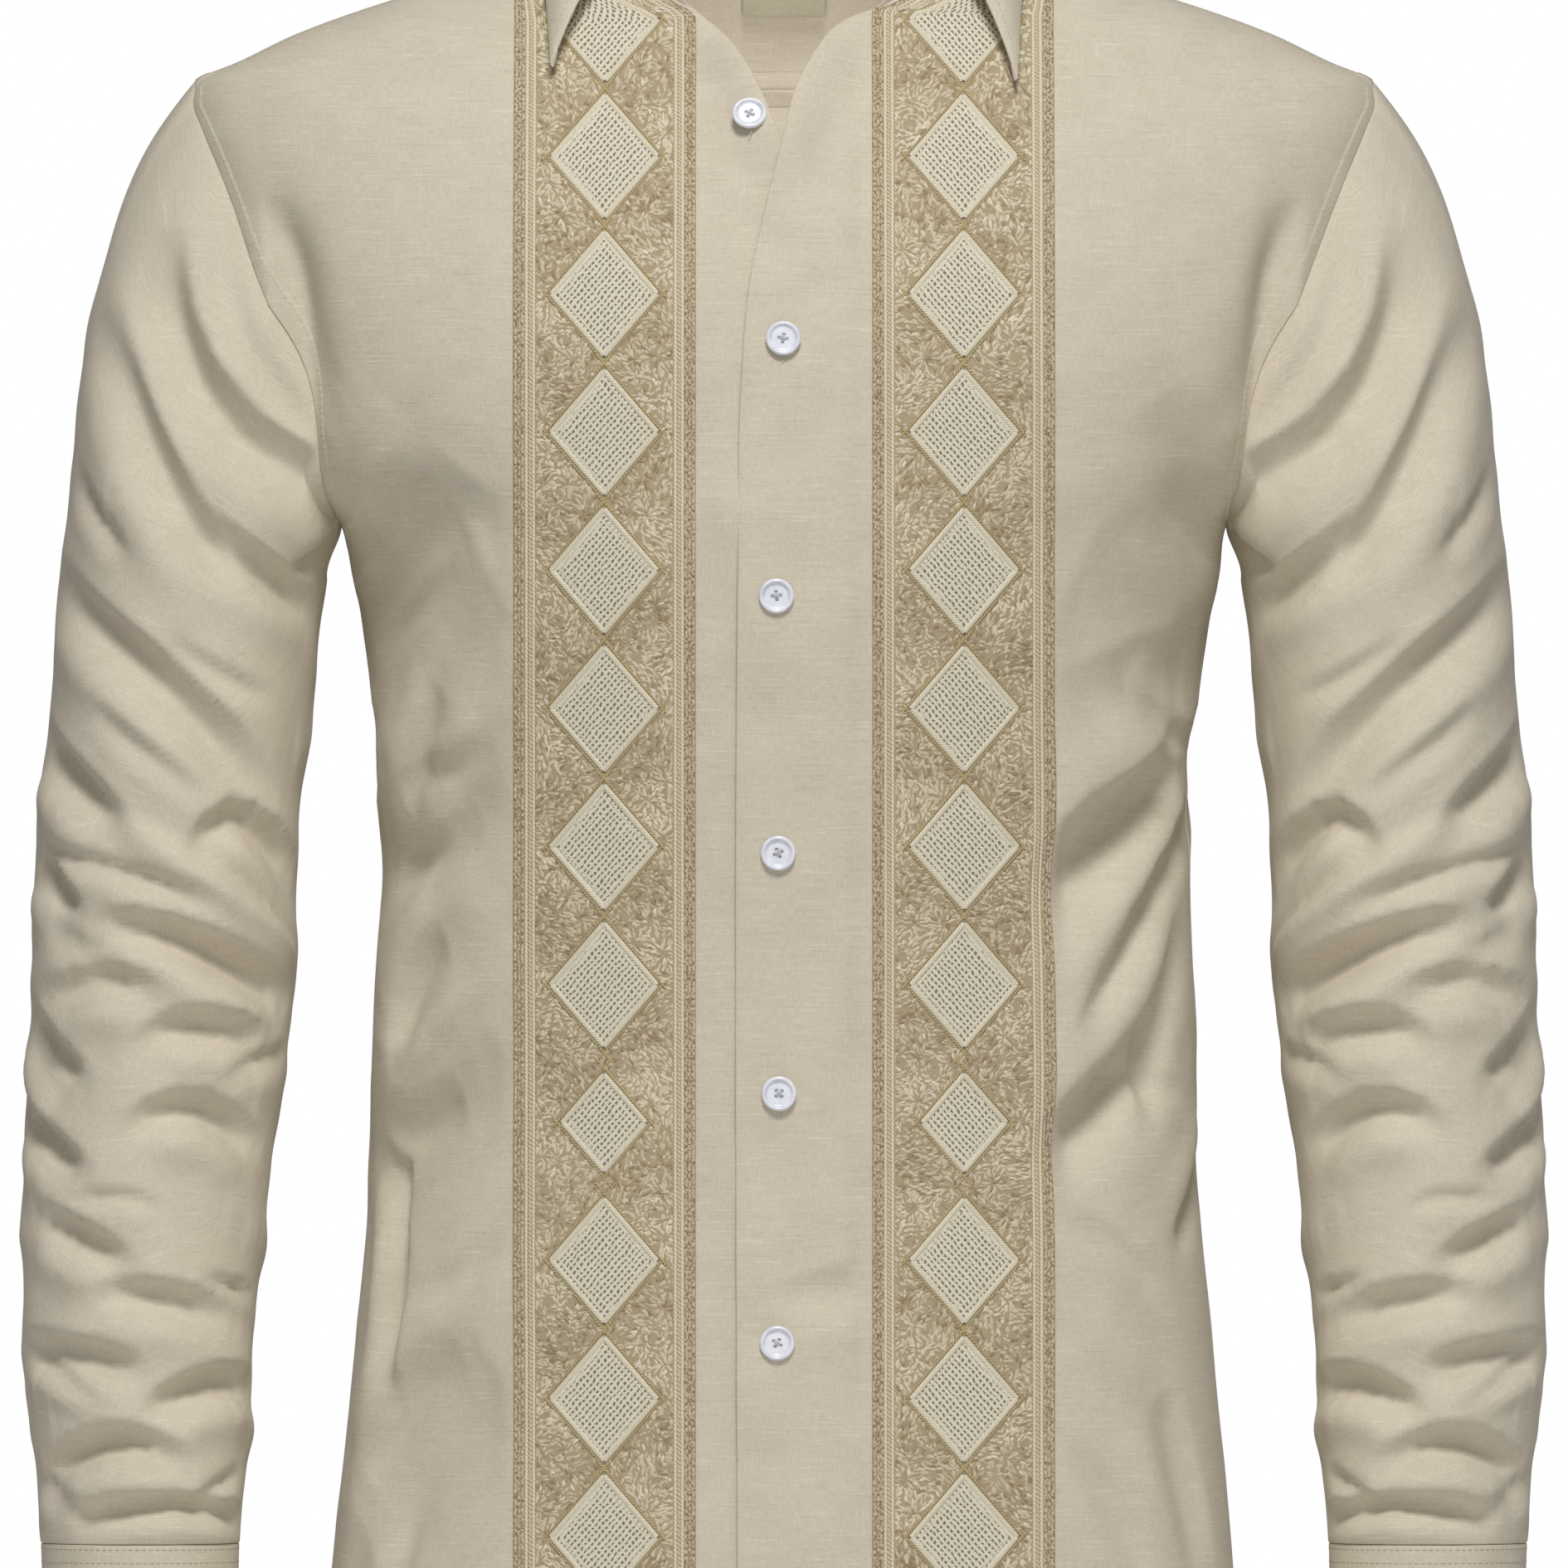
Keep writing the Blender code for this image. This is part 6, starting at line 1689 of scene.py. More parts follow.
@dataclass
class Collar:
    """The collar stand and the leaf that rolls over it."""

    stand_flat: tuple[float, float] = (0.42, 0.036)
    leaf_flat: tuple[float, float] = (0.50, 0.075)
    columns: int = 240

    def around(self, start: float) -> Array:
        """Section angles in degrees round the neck from the left front by the back to the right."""
        left = start + (180 - start) * np.linspace(0, 1, self.columns // 2 + 1)
        return np.concatenate([left, -left[-2::-1]])

    def neck_loop(self, degrees: Array) -> tuple[Array, Array, Array]:
        """(points, the stand's rise, outward directions) at section angles in degrees."""
        size = np.abs(degrees)
        points = SHIRT_BODY.base(np.radians(degrees), from_table(size, NECKLINE, "z"))
        out, back, up = (from_table(size, STAND_LEAN, name) for name in ("out", "back", "up"))
        rise = np.stack([np.sign(degrees) * out, back, up], -1)
        outwards = unit(np.cross(rise, np.gradient(points, axis=0)))
        turned = np.sign(np.sum(outwards * (points - NECK_MIDDLE) * np.array([1.0, 1.0, 0.0]), axis=-1))
        return points, rise, outwards * turned[:, None]

    def stand_sheet(self) -> Sheet:
        """The stand, on the neckline and open at the front."""
        points, rise, outwards = self.neck_loop(self.around(NECKLINE[0].degrees + 0.5))
        foot = points - outwards * STAND_SEAT + np.array([0, 0, STAND_SEAT])
        share = np.linspace(0, 1, 15)[:, None, None]
        net = foot + rise * share + STAND_BOW * np.sin(np.pi * share) * outwards
        made = Sheet("collar_stand_cloth", net[:, ::-1], (outwards + 0 * net)[:, ::-1],
                     flat_net(net)[:, ::-1], fold_depths=(1.5, 4.0))
        return made.turned(Edge.FIRST_COLUMN, Edge.LAST_COLUMN, Edge.FIRST_ROW)

    def leaf_edge(self, degrees: Array) -> Array:
        """Points of the leaf's free edge."""
        size, side = np.abs(degrees), np.sign(degrees)
        join = LEAF_EDGE[-1]
        behind = ramp(size, join.degrees, LEAF_BACK_EDGE[0].degrees)
        z = from_table(size, LEAF_EDGE, "z") * (1 - behind)
        z = z + from_table(size, LEAF_BACK_EDGE, "z") * behind
        z = z - np.where(side > 0, LEFT_POINT_DROP * (1 - ramp(size, *LEFT_DROP_DEGREES)), 0.0)
        off = from_table(size, LEAF_EDGE, "off") * (1 - behind)
        off = off + from_table(size, LEAF_BACK_EDGE, "off") * behind
        front_angle = SHIRT_BODY.angle_at(from_table(size, LEAF_EDGE, "x"), z)
        join_angle = float(SHIRT_BODY.angle_at(join.x, join.z))
        share = (size - join.degrees) / (180 - join.degrees)
        angle = np.where(size < join.degrees, front_angle, join_angle + (math.pi - join_angle) * share)
        angle = side * angle
        return SHIRT_BODY.base(angle, z) + SHIRT_BODY.way(angle, z) * off[:, None]

    def leaf_sheet(self) -> Sheet:
        """The leaf: up from the stand, over its roll and down to its free edge."""
        degrees = self.around(LEAF_START_DEGREES)
        points, rise, outwards = self.neck_loop(degrees)
        out = unit(outwards * np.array([1.0, 1.0, 0.0]))
        up = np.array([0, 0, 1.0])
        top = points - outwards * (STAND_SEAT + CLOTH) + rise + up * STAND_SEAT
        reach = np.arange(len(LEAF_ROLL), dtype=float)
        rows = []
        for step in np.linspace(0, reach[-1], LEAF_ROLL_ROWS):
            roll_out, roll_up = (smooth(step, reach, column(LEAF_ROLL, name)) for name in ("out", "up"))
            rows.append(top + out * roll_out + up * roll_up)
        edge, start = self.leaf_edge(degrees), rows[-1]
        for t in np.linspace(0, 1, LEAF_FALL_ROWS + 1)[1:]:
            rows.append(start + (edge - start) * t + out * LEAF_BULGE * math.sin(math.pi * t))
        net = np.array(rows)
        ways = net_ways(net)
        ways[0] = -out
        ways[1:] *= np.sign(np.sum(ways[-1] * out, axis=-1, keepdims=True))
        made = Sheet("collar_leaf_cloth", net, ways, flat_net(net, (0.0, 60.0)), fold_radius=0.6)
        return made.turned(Edge.FIRST_COLUMN, Edge.LAST_COLUMN, Edge.LAST_ROW)

    def build(self) -> None:
        """Makes the stand and the leaf as pieces."""
        shirt_piece(self.stand_sheet(), "collar_stand")
        shirt_piece(self.leaf_sheet(), "collar_leaf")


# ---- embroidered bands ----


class Strand(NamedTuple):
    """One laid cord of a band's border: its place across the band, its width and its finish."""

    spot: float
    width: float
    finish: CordFinish


STRANDS = rows_of(
    Strand,
    (36.1, 1.5, BROWN_CORD), (37.5, 1.3, BROWN_CORD), (38.9, 1.4, BROWN_CORD), (40.4, 1.2, CREAM_CORD),
    (41.8, 1.5, LIGHT_CORD), (43.2, 1.2, CREAM_CORD), (99.6, 1.2, CREAM_CORD), (101.0, 1.5, LIGHT_CORD),
    (102.5, 1.3, CREAM_CORD), (104.1, 1.4, BROWN_CORD), (105.5, 1.3, BROWN_CORD), (106.9, 1.5, BROWN_CORD),
)


# One embroidery stitch is a low leaf of eight points: share of its length and width, and its rise.
LEAF_RING = (
    (-0.5, 0.0, 0.0), (-0.17, -0.5, 0.1), (-0.17, 0.0, 0.42), (-0.17, 0.5, 0.1),
    (0.17, -0.5, 0.1), (0.17, 0.0, 0.42), (0.17, 0.5, 0.1), (0.5, 0.0, 0.0),
)
LEAF_FACES = ((0, 1, 2), (0, 2, 3), (1, 4, 5), (1, 5, 2), (2, 5, 6), (2, 6, 3), (4, 7, 5), (5, 7, 6))

CURL_LEAN = 0.25  # radians by which a curl's stitches turn inwards
LEAN_SPREAD = 0.30
CURL_BEND, OTHER_BENDS = 0.9, (-0.45, 0.45)
CURL_LENGTH, OTHER_LENGTH = 2.3, 3.1
LENGTH_SPREAD = (0.75, 1.35)
WIDTH_SPREAD = (0.85, 1.35)
SPOT_SPREAD = (0.6, 1.3)


class Motif(Enum):
    """How the stitches lie round a motif's centre."""

    CURL = 0
    FAN = 1
    HATCH = 2


@dataclass
class Band:
    """The embroidered band on one front."""

    front: Front
    ground_lift: float = 0.7
    top_z: float = -12.5
    ground_from: float = 44.2
    ground_to: float = 98.8
    stitch_cell: float = 1.66
    motif_size: tuple[float, float] = (9.0, 11.7)
    border_width: float = 2.4
    spot_clear: float = 1.15

    @property
    def label(self) -> str:
        """Which side it is on, in words."""
        return side_word(self.front.side)

    def lozenges(self) -> list[tuple[float, float, float]]:
        """(middle's height, half width, half height) of each lozenge, from the top."""
        found = []
        for number in range(LOZENGE_COUNT):
            size = SMALL_SIZE if number == SMALL_LOZENGE else 1.0
            found.append((FIRST_LOZENGE_Z + 1 - LOZENGE_PITCH * number, LOZENGE_HALF_WIDTH * size,
                          LOZENGE_HALF_HEIGHT * size))
        return found

    def on_band(self, spots: Array, heights: Array, lift: float) -> tuple[Array, Array]:
        """(points, outward directions) on the band."""
        return (self.front.band_place(spots, heights, self.ground_lift + lift),
                self.front.band_way(spots, heights))

    def ground(self) -> None:
        """The band's ground cloth, its edges turned under."""
        spots = np.linspace(BAND_INNER_X + 0.4, BAND_OUTER_X - 0.4, 38)[None]
        heights = steps_between((HEM_Z + 0.9, self.top_z), 2.8)[:, None]
        points, ways = self.on_band(spots + 0 * heights, heights + 0 * spots, 0.0)
        flat = np.stack([spots + 0 * heights, heights + 0 * spots], axis=-1)
        made = Sheet(f"band_{self.label}_ground", points, ways, flat, 0.3, (1.0,)).turned(*SIDES_THEN_ENDS)
        declare(made.build(BAND_GROUND.material()), [f"band_{self.label}"])

    def borders(self) -> None:
        """The cords laid along both edges, one piece a finish."""
        heights = steps_between((HEM_Z + 1.2, self.top_z - 0.4), 1.6)
        for finish in (BROWN_CORD, LIGHT_CORD, CREAM_CORD):
            lines, widths = [], []
            for strand in STRANDS:
                if strand.finish is finish:
                    lines.append(self.on_band(strand.spot + 0 * heights, heights, 0.0))
                    widths.append(strand.width)
            name = f"band_{self.label}_{finish.name.replace(' ', '_')}"
            declare(sweep_cords(name, lines, widths, finish.material(), 0.42))

    def patch(self, middle: float, half_width: float, half_height: float) -> tuple[Array, Array, Array]:
        """(points, flat coordinates, faces) of one lozenge's openwork."""
        share = np.linspace(0.02, 0.98, 21)
        along_side, across_side = np.meshgrid(share, share, indexing="ij")
        spots = LOZENGE_X - half_width + (along_side + across_side) * half_width
        heights = middle + (along_side - across_side) * half_height
        rim = np.minimum(np.minimum(share, 1 - share)[:, None], np.minimum(share, 1 - share)[None])
        lift = 0.25 + 0.3 * ramp(rim, 0.0, 0.12)
        points = self.front.band_place(spots, heights, self.ground_lift + lift)
        side = math.hypot(half_width, half_height)
        flat = np.stack([along_side * side, across_side * side - middle], axis=-1)
        index = np.arange(share.size**2).reshape(share.size, share.size)
        return points.reshape(-1, 3), flat.reshape(-1, 2), net_faces(index)

    def openwork(self) -> None:
        """Every lozenge's openwork, as one piece."""
        points, flats, faces = [], [], []
        for number, lozenge in enumerate(self.lozenges()):
            net, flat, quads = self.patch(*lozenge)
            faces.append(quads + number * len(net))
            points.append(net)
            flats.append(flat)
        obj = new_object(f"band_{self.label}_lozenges", np.concatenate(points), np.concatenate(faces),
                         LOZENGES.material())
        set_flat(obj, np.concatenate(flats))
        declare(obj)

    def side_lines(self, inset: float, run_on: float, lift: float) -> list[tuple[Array, Array]]:
        """The four side lines of every lozenge, this far inside its edge and this far past its tips."""
        lines = []
        for middle, half_width, half_height in self.lozenges():
            side = math.hypot(half_width, half_height)
            shrink = 1 - inset * side / (half_width * half_height)
            width, height = half_width * shrink, half_height * shrink
            extra = run_on / side
            for right, upper in ((-1, 1), (1, 1), (-1, -1), (1, -1)):
                share = np.linspace(-extra * 0.4, 1 + extra, 27)
                spots = LOZENGE_X + right * width * (1 - share)
                heights = middle + upper * height * share
                keep = (spots > self.ground_from) & (spots < self.ground_to) & (heights < self.top_z)
                keep &= heights > HEM_Z + 2
                if np.count_nonzero(keep) > 2:
                    lines.append(self.on_band(spots[keep], heights[keep], lift))
        return lines

    def frames(self) -> None:
        """The lozenges' raised satin frames and the thin cords beside them."""
        frame_lines = self.side_lines(self.border_width / 2, 0.0, 0.35)
        inner = self.side_lines(self.border_width + 1.0, -2.5, 0.5)
        widths = [self.border_width] * len(frame_lines) + [0.75] * len(inner)
        obj = sweep_cords(f"band_{self.label}_frames", frame_lines + inner, widths,
                          LOZENGE_CORD.material(), 0.3)
        declare(obj)
        outer = self.side_lines(-0.6, 5.0, 0.15)
        declare(sweep_cords(f"band_{self.label}_outlines", outer, [0.95] * len(outer), GOLD_CORD.material(),
                            0.6))

    def stitch_places(self, rng: np.random.Generator) -> tuple[Array, Array]:
        """Jittered places of the ground's stitches, clear of the lozenges."""
        cell = self.stitch_cell
        across = np.arange(self.ground_from + 0.5, self.ground_to - 0.3, cell)
        up = np.arange(HEM_Z + 2.5, self.top_z - 2, cell)
        spots, heights = (net.ravel() for net in np.meshgrid(across, up))
        spots = spots + rng.uniform(-0.5, 0.5, spots.size) * cell
        heights = heights + rng.uniform(-0.5, 0.5, heights.size) * cell
        keep = np.ones(spots.size, bool)
        for middle, half_width, half_height in self.lozenges():
            across_share = np.abs(spots - LOZENGE_X) / (half_width + 1.6)
            keep &= across_share + np.abs(heights - middle) / (half_height + 1.9) > 1
        return spots[keep], heights[keep]

    def motifs(self, rng: np.random.Generator) -> tuple[Array, Array, Array]:
        """(centres, ways of stitching, leanings) of the ground's small motifs."""
        width, height = self.motif_size
        across = np.arange(self.ground_from + width / 2, self.ground_to, width)
        up = np.arange(HEM_Z + height / 2, self.top_z, height)
        spots, heights = np.meshgrid(across, up)
        spots = spots + np.where(np.arange(len(up)) % 2, width / 2, 0)[:, None]
        centres = np.stack([spots.ravel(), heights.ravel()], -1)
        centres = centres + rng.uniform(-0.25, 0.25, centres.shape) * np.array([width, height])
        return centres, rng.integers(0, 3, len(centres)), rng.uniform(0, math.pi, len(centres))

    def stitches(self) -> None:
        """The ground's embroidery: short curved stitches round many small motifs, as one piece."""
        rng = np.random.default_rng(SEED + self.front.side)
        spots, heights = self.stitch_places(rng)
        centres, kinds, leans = self.motifs(rng)
        places = np.stack([spots, heights], -1)
        off = places[:, None] - centres[None]
        nearest = np.argmin(np.sum(off**2, axis=-1), axis=1)
        off = off[np.arange(len(places)), nearest]
        distance = np.linalg.norm(off, axis=-1)
        round_it = np.arctan2(off[:, 1], off[:, 0])
        kind, lean = kinds[nearest], leans[nearest]
        curled, count = kind == Motif.CURL.value, len(places)
        angle = np.where(curled, round_it + math.pi / 2 + CURL_LEAN, round_it)
        angle = np.where(kind == Motif.HATCH.value, lean, angle) + rng.normal(0, LEAN_SPREAD, count)
        bend = np.where(curled, CURL_BEND, rng.choice(OTHER_BENDS, count))
        length = np.where(curled, CURL_LENGTH, OTHER_LENGTH) * rng.uniform(*LENGTH_SPREAD, count)
        in_spot = distance < self.spot_clear * rng.uniform(*SPOT_SPREAD, len(centres))[nearest]
        band_tone = 0.5 + 0.16 * np.sin(heights / 8.7 + 1.3 * np.sin(spots / 11.0))
        tone = np.clip(rng.normal(band_tone, 0.2) - 0.25 * (distance < 2.2), 0.02, 0.98)
        keep = ~in_spot
        self.sew(spots[keep], heights[keep], angle[keep], bend[keep], length[keep], tone[keep],
                 rng.uniform(*WIDTH_SPREAD, count)[keep])

    def sew(self, spots: Array, heights: Array, angle: Array, bend: Array, length: Array, tone: Array,
            width: Array) -> None:
        """Makes the stitches' mesh.

        Args:
            spots: each stitch's place across the band.
            heights: its height.
            angle: its direction.
            bend: how much it turns along its length, in radians.
            length: its length.
            tone: its tone, from 0 to 1.
            width: its width.
        """
        points, flats = [], []
        for share, side, rise in LEAF_RING:
            turned = angle + bend * share
            step_x = np.cos((angle + turned) / 2) * length * share - np.sin(turned) * width * side
            step_z = np.sin((angle + turned) / 2) * length * share + np.cos(turned) * width * side
            curve = bend * length * (0.25 - share * share) * 0.5
            x = np.clip(spots + step_x + np.sin(angle) * curve, self.ground_from, self.ground_to)
            z = heights + step_z - np.cos(angle) * curve
            points.append(self.front.band_place(x, z, self.ground_lift + 0.04 + rise))
            flats.append(np.stack([(share + 0.5) * length, side * width + np.arange(len(spots)) % 97], -1))
        net = np.stack(points, axis=1).reshape(-1, 3)
        faces = repeated(np.array(LEAF_FACES), len(spots), len(LEAF_RING))
        obj = new_object(f"band_{self.label}_stitches", net, faces, STITCHES.material())
        set_flat(obj, np.stack(flats, axis=1).reshape(-1, 2))
        set_tone(obj, np.repeat(tone, len(LEAF_RING)))
        declare(obj)

    def build(self) -> None:
        """Makes the whole band."""
        self.ground()
        self.borders()
        self.openwork()
        self.frames()
        self.stitches()


# ---- sewing, buttons and label ----


def sew_line(
    name: str, lines: Sequence[tuple[Array, Array]], finish: Finish, pitch: float = 2.9, length: float = 2.3,
    width: float = 0.42,
) -> None:
    """A run of small stitches along lines on the cloth, as one piece.

    Args:
        name: the piece's name.
        lines: (points, outward directions) of each line.
        finish: its material.
        pitch: distance from stitch to stitch.
        length: a stitch's length.
        width: the thread's width.
    """
    starts, ends, ways = [], [], []
    for points, outwards in lines:
        run = run_lengths(points)
        spots = np.arange(pitch / 2, run[-1] - length, pitch)
        index = np.arange(len(points))
        first, last = np.interp(spots, run, index), np.interp(spots + length, run, index)
        starts.append(along(points, first))
        ends.append(along(points, last))
        ways.append(along(outwards, first))
    obj = sweep_stitches(name, np.concatenate(starts), np.concatenate(ends), unit(np.concatenate(ways)),
                         width, width * 0.45, finish.material())
    declare(obj)


def on_body(angles: Array, heights: Array, lift: float) -> tuple[Array, Array]:
    """(points, outward directions) of a line this far off the body form."""
    return SHIRT_BODY.point(angles, heights, lift + 0 * heights), SHIRT_BODY.way(angles, heights)


FINE_STITCH = (2.7, 2.1, 0.4)  # pitch, length and width of a finer row than usual
PALE_STITCH = (3.4, 2.2, 0.4)
THREAD_LIFT = 0.02  # a row lies this far off the cloth
SEAM_LIFT = 0.3  # and this far off the form beside a seam, over the folded allowance


@dataclass
class Sewing:
    """The shirt's topstitching."""

    left: Front
    right: Front
    fell_inset: float = 6.0
    edge_inset: float = 2.0
    hem_inset: float = 6.0
    step: float = 1.4

    def fronts(self) -> tuple[Front, Front]:
        """Both fronts."""
        return self.left, self.right

    def armhole(self, side: int) -> None:
        """The row that holds a felled armhole seam, before and behind."""
        lines = []
        for back in (False, True):
            heights = steps_between((ARMPIT_Z + 1, SHOULDER_TIP_Z - 2), self.step)
            angles = armhole_angle(heights, back)
            inward = 1 if back else -1
            angles = side * (angles + inward * self.fell_inset / radius_beside(angles, heights, back))
            lines.append(on_body(angles, heights, FELL_RISE))
        sew_line(f"armhole_stitching_{side_word(side)}", lines, PALE_SEWING)

    def on_front(self, front: Front, x: Array, z: Array) -> tuple[Array, Array]:
        """A line on a front, just above its cloth."""
        return front.place(x, z, THREAD_LIFT), SHIRT_BODY.way(SHIRT_BODY.angle_at(x, z), z)

    def plackets(self) -> None:
        """The rows on the fronts: the under front's pale row, and both hems."""
        z = steps_between((HEM_Z + 3, -62), self.step)
        x = from_table(z, PLACKET_ROW, "x")
        sew_line("placket_stitching", [self.on_front(self.right, x, z)], PALE_SEWING, *PALE_STITCH)
        hem_z = HEM_Z + self.hem_inset
        for front in self.fronts():
            angles = np.linspace(0.02, math.radians(88), 160)
            x = SHIRT_BODY.base(angles, np.full(angles.shape, hem_z))[..., 0] * front.side
            row = self.on_front(front, x, np.full(x.shape, hem_z))
            sew_line(f"hem_stitching_{side_word(front.side)}", [row], SEWING)

    def back_hem(self) -> None:
        """The back's hem row and the yoke's row over the back seam."""
        angles = np.linspace(math.radians(92), math.radians(268), 300)
        angles = np.where(angles > math.pi, angles - 2 * math.pi, angles)
        points, ways = on_body(angles, np.full(angles.shape, HEM_Z + self.hem_inset), THREAD_LIFT)
        middle = len(angles) // 2
        lines = [(points[:middle], ways[:middle]), (points[middle:], ways[middle:])]
        for side in (1, -1):
            turns, heights = Yoke().back_seam(np.linspace(0, 0.98, 150))
            lines.append(on_body(side * turns, heights + self.edge_inset, SEAM_LIFT))
            z = steps_between((NECK_SEAM_TOP_Z - 3, SHOULDER_SEAM_Z + 2), self.step)
            angles = shoulder_seam_angle(z) + self.edge_inset / BODY_RADIUS
            lines.append(on_body(side * angles, z, SEAM_LIFT))
        sew_line("back_stitching", lines, SEWING)

    def collar(self) -> None:
        """The row round the leaf's free edge."""
        sheet = Collar().leaf_sheet()
        folded = len(TURN_DEGREES) + len(sheet.fold_depths)
        rows = LEAF_ROLL_ROWS + LEAF_FALL_ROWS
        points, ways = (net[:rows, folded:-folded] for net in (sheet.points, sheet.ways))
        lines = [(points[-3] + (points[-1] - points[-3]) * 0.35, ways[-2])]
        for column in (2, -3):
            lines.append((points[LEAF_ROLL_ROWS + 1 : -1, column], ways[LEAF_ROLL_ROWS + 1 : -1, column]))
        sew_line("collar_stitching", lines, SEWING, *FINE_STITCH)

    def cuffs(self, side: int) -> None:
        """Two rows round a cuff's top and one round its bottom."""
        turns = np.radians(CUFF_START_DEGREES + np.linspace(2, CUFF_TURN_DEGREES - 2, 330))
        degrees = np.degrees(turns) - CUFF_START_DEGREES
        lap = cuff_lap(degrees)
        way = np.stack([np.cos(turns), -np.sin(turns), 0 * turns], -1)
        mirror = np.array([side, 1.0, 1.0])
        lines = []
        for z in (CUFF_TOP_Z - 2.0, CUFF_TOP_Z - 7.4, CUFF_BOTTOM_Z + 5.0):
            crown = CUFF_CROWN * math.sin(math.pi * (CUFF_TOP_Z - z) / (CUFF_TOP_Z - CUFF_BOTTOM_Z))
            points = SHIRT_SLEEVE.ring(np.float64(z), turns) + way * (lap + crown + THREAD_LIFT)[:, None]
            keep = degrees > CUFF_TURN_DEGREES - 360
            lines.append((points[keep] * mirror, way[keep] * mirror))
        sew_line(f"cuff_stitching_{side_word(side)}", lines, SEWING, *FINE_STITCH)

    def build(self) -> None:
        """Sews every row."""
        for side in (1, -1):
            self.armhole(side)
            self.cuffs(side)
        self.plackets()
        self.back_hem()
        self.collar()


@dataclass
class Button:
    """A turned four-hole button, sewn on with a cross of thread."""

    node: str
    seat: Array
    facing: Array
    turned: float = 0.0
    sides: int = 56
    hole_ring: float = 1.55
    hole_radius: float = 0.62

    def frame(self) -> tuple[Array, Array, Array]:
        """Outward, sideways and upward directions of the button."""
        facing = unit(np.asarray(self.facing, float))
        side = unit(np.cross(np.array([0.0, 0.0, 1.0]), facing))
        return facing, side, np.cross(facing, side)

    def holes(self) -> Array:
        """Middles of the four holes in the button's own plane."""
        turns = math.radians(45) + self.turned + np.arange(4) * math.pi / 2
        return np.stack([np.cos(turns), np.sin(turns)], -1) * self.hole_ring

    def shell(self) -> Piece:
        """The button: a dished face with a round rim, and four holes."""
        facing, side, up = self.frame()
        start, end = BUTTON_RIM[0].radius, BUTTON_RIM[-1].radius
        rings = ((0.02, 2.7, 22), (2.9, start, 6), (4.6, end, 18))
        radii = np.concatenate([np.linspace(*ring) for ring in rings])
        height = from_table(radii, BUTTON_RIM, "height")
        radii = np.concatenate([radii, column(BUTTON_UNDERSIDE, "radius")])
        height = np.concatenate([height, column(BUTTON_UNDERSIDE, "height")])
        turns = np.arange(self.sides) * 2 * math.pi / self.sides
        across, above = radii[:, None] * np.cos(turns), radii[:, None] * np.sin(turns)
        level = height[:, None] + 0 * across
        for hole in self.holes():
            distance = np.hypot(across - hole[0], above - hole[1])
            inner, outer = (self.hole_radius + reach for reach in HOLE_SOFTNESS)
            level = level - HOLE_DEPTH * (1 - ramp(distance, inner, outer))
        level = np.where(radii[:, None] > BUTTON_DISH, height[:, None], level)
        net = self.seat + across[..., None] * side + above[..., None] * up
        net = net + (level + SEAM_GAP)[..., None] * facing
        rows = len(radii)
        index = np.arange(rows * self.sides).reshape(rows, self.sides)
        faces = net_faces(np.concatenate([index, index[:, :1]], axis=1))
        obj = new_object(f"{self.node}_shell", net.reshape(-1, 3), faces, SHELL.material())
        set_flat(obj, np.stack([across, above], -1).reshape(-1, 2))
        return declare(obj, [self.node])

    def thread(self) -> Piece:
        """A cross of thread through the holes, and its loose end below the button."""
        facing, side, up = self.frame()
        holes = self.holes()
        lines = []
        for first, last, lift in ((0, 2, 0.12), (1, 3, 0.42)):
            share = np.linspace(0, 1, 11)[:, None]
            spots = holes[first] * (1 - share) + holes[last] * share
            arch = 0.35 * np.sin(math.pi * share[:, 0])
            level = SEAM_GAP + 1.2 + lift + arch - 0.9 * np.abs(2 * share[:, 0] - 1) ** 6
            run = holes[last] - holes[first]
            over = np.array([-run[1], run[0]])
            for beside in (-0.2, 0.2):
                place = spots + beside * over / np.linalg.norm(over)
                points = self.seat + place[:, :1] * side + place[:, 1:] * up + level[:, None] * facing
                lines.append((points, facing + 0 * points))
        fall = np.linspace(0, 1, 12)
        tail = self.seat + facing * 0.35 - up * (6.6 + 3.2 * fall)[:, None]
        tail = tail + side * (0.7 * np.sin(4 * fall))[:, None]
        lines.append((tail, facing + 0 * tail))
        obj = sweep_cords(f"{self.node}_thread", lines, [0.42] * 4 + [0.3], BUTTON_THREAD.material(), 0.6)
        return declare(obj)

    def build(self) -> None:
        """Makes the button."""
        self.shell()
        self.thread()


def build_buttons(left: Front, right: Front) -> None:
    """Front, collar stand and cuff buttons."""
    for number, place in enumerate(FRONT_BUTTONS, start=1):
        front = left if place.on_over_front else right
        x, z = np.float64(place.x), np.float64(place.z)
        seat = front.place(x, z, 0.4)
        Button(f"button_{number}", seat, SHIRT_BODY.way(SHIRT_BODY.angle_at(x, z), z), 0.3 * number).build()
    near = STAND_BUTTON_DEGREES + np.array([1.5, 0.0, -1.5])
    points, rise, outwards = (found[1] for found in Collar().neck_loop(near))
    Button("button_stand", points + rise * 0.5 + outwards * (STAND_BOW + 0.4), outwards).build()
    for side in (1, -1):
        turn = math.radians(CUFF_BUTTON_DEGREES)
        way = np.array([side * math.cos(turn), -math.sin(turn), 0.0])
        z = (CUFF_TOP_Z + CUFF_BOTTOM_Z) / 2
        seat = SHIRT_SLEEVE.ring(z, np.float64(turn)) * np.array([side, 1, 1])
        Button(f"button_cuff_{side_word(side)}", seat + way * (CUFF_LAP + 0.9), way).build()


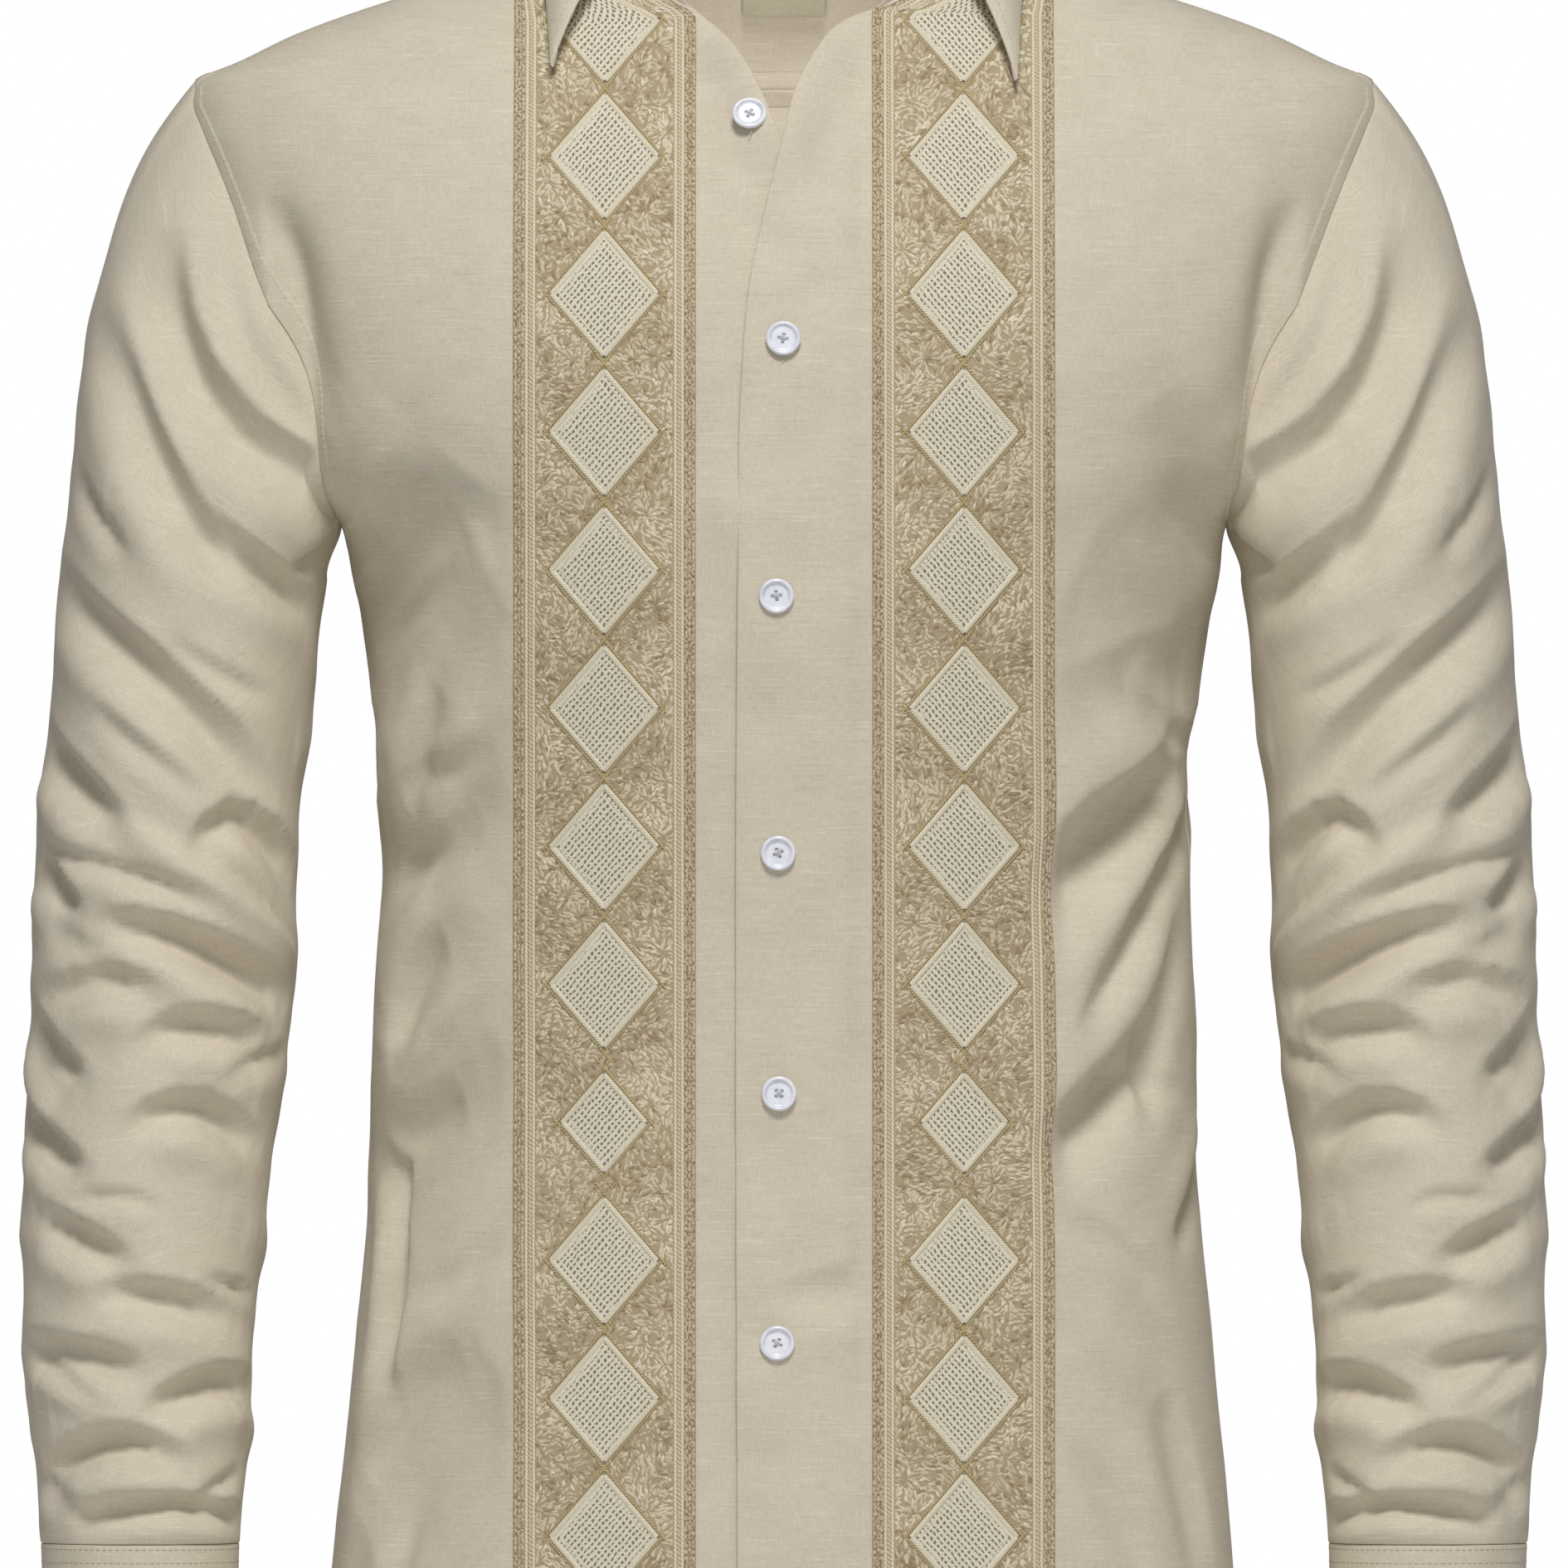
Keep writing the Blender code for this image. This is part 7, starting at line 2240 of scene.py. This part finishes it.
def build_label() -> None:
    """A blank woven label inside the back of the neck."""
    spots, heights = np.meshgrid(np.linspace(-LABEL_HALF_WIDTH + 0.5, LABEL_HALF_WIDTH - 0.5, 30),
                                 np.linspace(LABEL_BOTTOM_Z + 0.5, LABEL_TOP_Z - 0.5, 14))
    angles = np.pi - SHIRT_BODY.angle_at(spots, heights)
    ways = SHIRT_BODY.way(angles, heights)
    points = SHIRT_BODY.base(angles, heights) - ways * (CLOTH + LABEL_OFF + 0.8)
    made = Sheet("neck_label_cloth", points, -ways, np.stack([spots, heights], -1), 0.3, (3.0,))
    declare(made.turned(*Edge).build(LABEL_WEAVE.material()), ["neck_label"])


# ---- studio and main ----


@dataclass
class Studio:
    """Pale floor, soft light and the camera."""

    focus: tuple[float, float, float] = (0.0, 0.0, -0.345)
    distance: float = 12.0
    view_width: float = 0.63
    floor_z: float = -820.0  # millimetres, like the radius
    floor_radius: float = 1700.0
    floor_sides: int = 96
    sensor: float = 36.0

    def floor(self) -> None:
        """A round pale floor under the hem."""
        count = self.floor_sides
        turns = np.arange(count) * 2 * math.pi / count
        ring = np.stack([np.cos(turns), np.sin(turns), 0 * turns], -1) * self.floor_radius
        ring[:, 2] = self.floor_z
        middle = np.array([[0.0, 0.0, self.floor_z]])
        index = np.arange(count)
        faces = np.stack([np.full(count, count), index, (index + 1) % count], axis=-1)
        obj = new_object("floor", np.concatenate([ring, middle]), faces, PALE_FLOOR.material())

    def light(self, name: str, place: Sequence[float], size: float, power: float,
              aim_at: Sequence[float] | None = None) -> None:
        """A soft square light aimed at a place, or at the shirt's middle."""
        data = bpy.data.lights.new(name, "AREA")
        data.shape = "SQUARE"
        data.size = size
        data.energy = power
        obj = bpy.data.objects.new(name, data)
        obj.location = place
        obj.visible_camera = False
        aim = np.array(aim_at or self.focus) - np.array(place)
        obj.rotation_euler = (math.acos(-aim[2] / np.linalg.norm(aim)), 0,
                              math.atan2(aim[1], aim[0]) - math.pi / 2)
        bpy.context.scene.collection.objects.link(obj)

    def world(self, seen: float, given: float) -> None:
        """An even white world: this bright where seen, and this bright as light."""
        world = bpy.data.worlds.new("studio")
        world.use_nodes = True
        tree = world.node_tree
        tree.nodes.clear()
        board = Board(tree)
        path = board.node("ShaderNodeLightPath").outputs["Is Camera Ray"]
        background = board.node("ShaderNodeBackground")
        board.feed(background.inputs["Strength"], board.span(path, 0.0, 1.0, given, seen))
        background.inputs["Color"].default_value = (1.0, 1.0, 1.0, 1.0)
        output = board.node("ShaderNodeOutputWorld")
        board.feed(output.inputs["Surface"], background.outputs[0])
        bpy.context.scene.world = world

    def camera(self) -> None:
        """The camera, square to the front."""
        data = bpy.data.cameras.new("camera")
        data.sensor_width = self.sensor
        data.lens = self.sensor * self.distance / self.view_width
        data.clip_end = 100.0
        obj = bpy.data.objects.new("camera", data)
        obj.location = (self.focus[0], -self.distance, self.focus[2])
        obj.rotation_euler = (math.radians(90), 0, 0)
        bpy.context.scene.collection.objects.link(obj)
        bpy.context.scene.camera = obj

    def build(self) -> None:
        """Sets up everything round the shirt."""
        self.floor()
        self.world(seen=1.0, given=0.16)
        self.light("key light", (0.1, -2.9, 3.15), size=1.2, power=135.0)
        self.light("fill light", (0.4, -3.6, -0.1), size=2.0, power=13.0)
        self.light("neck light", (0.0, -0.03, -0.15), size=0.12, power=0.15, aim_at=(0.0, 0.095, -0.035))
        self.camera()
        bpy.context.scene.view_settings.view_transform = "Standard"


def main() -> None:
    """Builds and dresses the shirt."""
    logging.basicConfig(level=logging.INFO, format="%(message)s")
    right = Front("front_right", -1, UNDER_EDGE, flat=(0.30, 0.74), area=0.165)
    left = Front("front_left", 1, OVER_EDGE, flat=(0.33, 0.74), area=0.19)
    right.build()
    left.build()
    Yoke().build()
    Back().build()
    for side in (-1, 1):
        Sleeve(side).build()
    Collar().build()
    for front in (right, left):
        Band(front).build()
    Sewing(left, right).build()
    build_buttons(left, right)
    build_label()
    Studio().build()


if __name__ == "__main__":
    main()
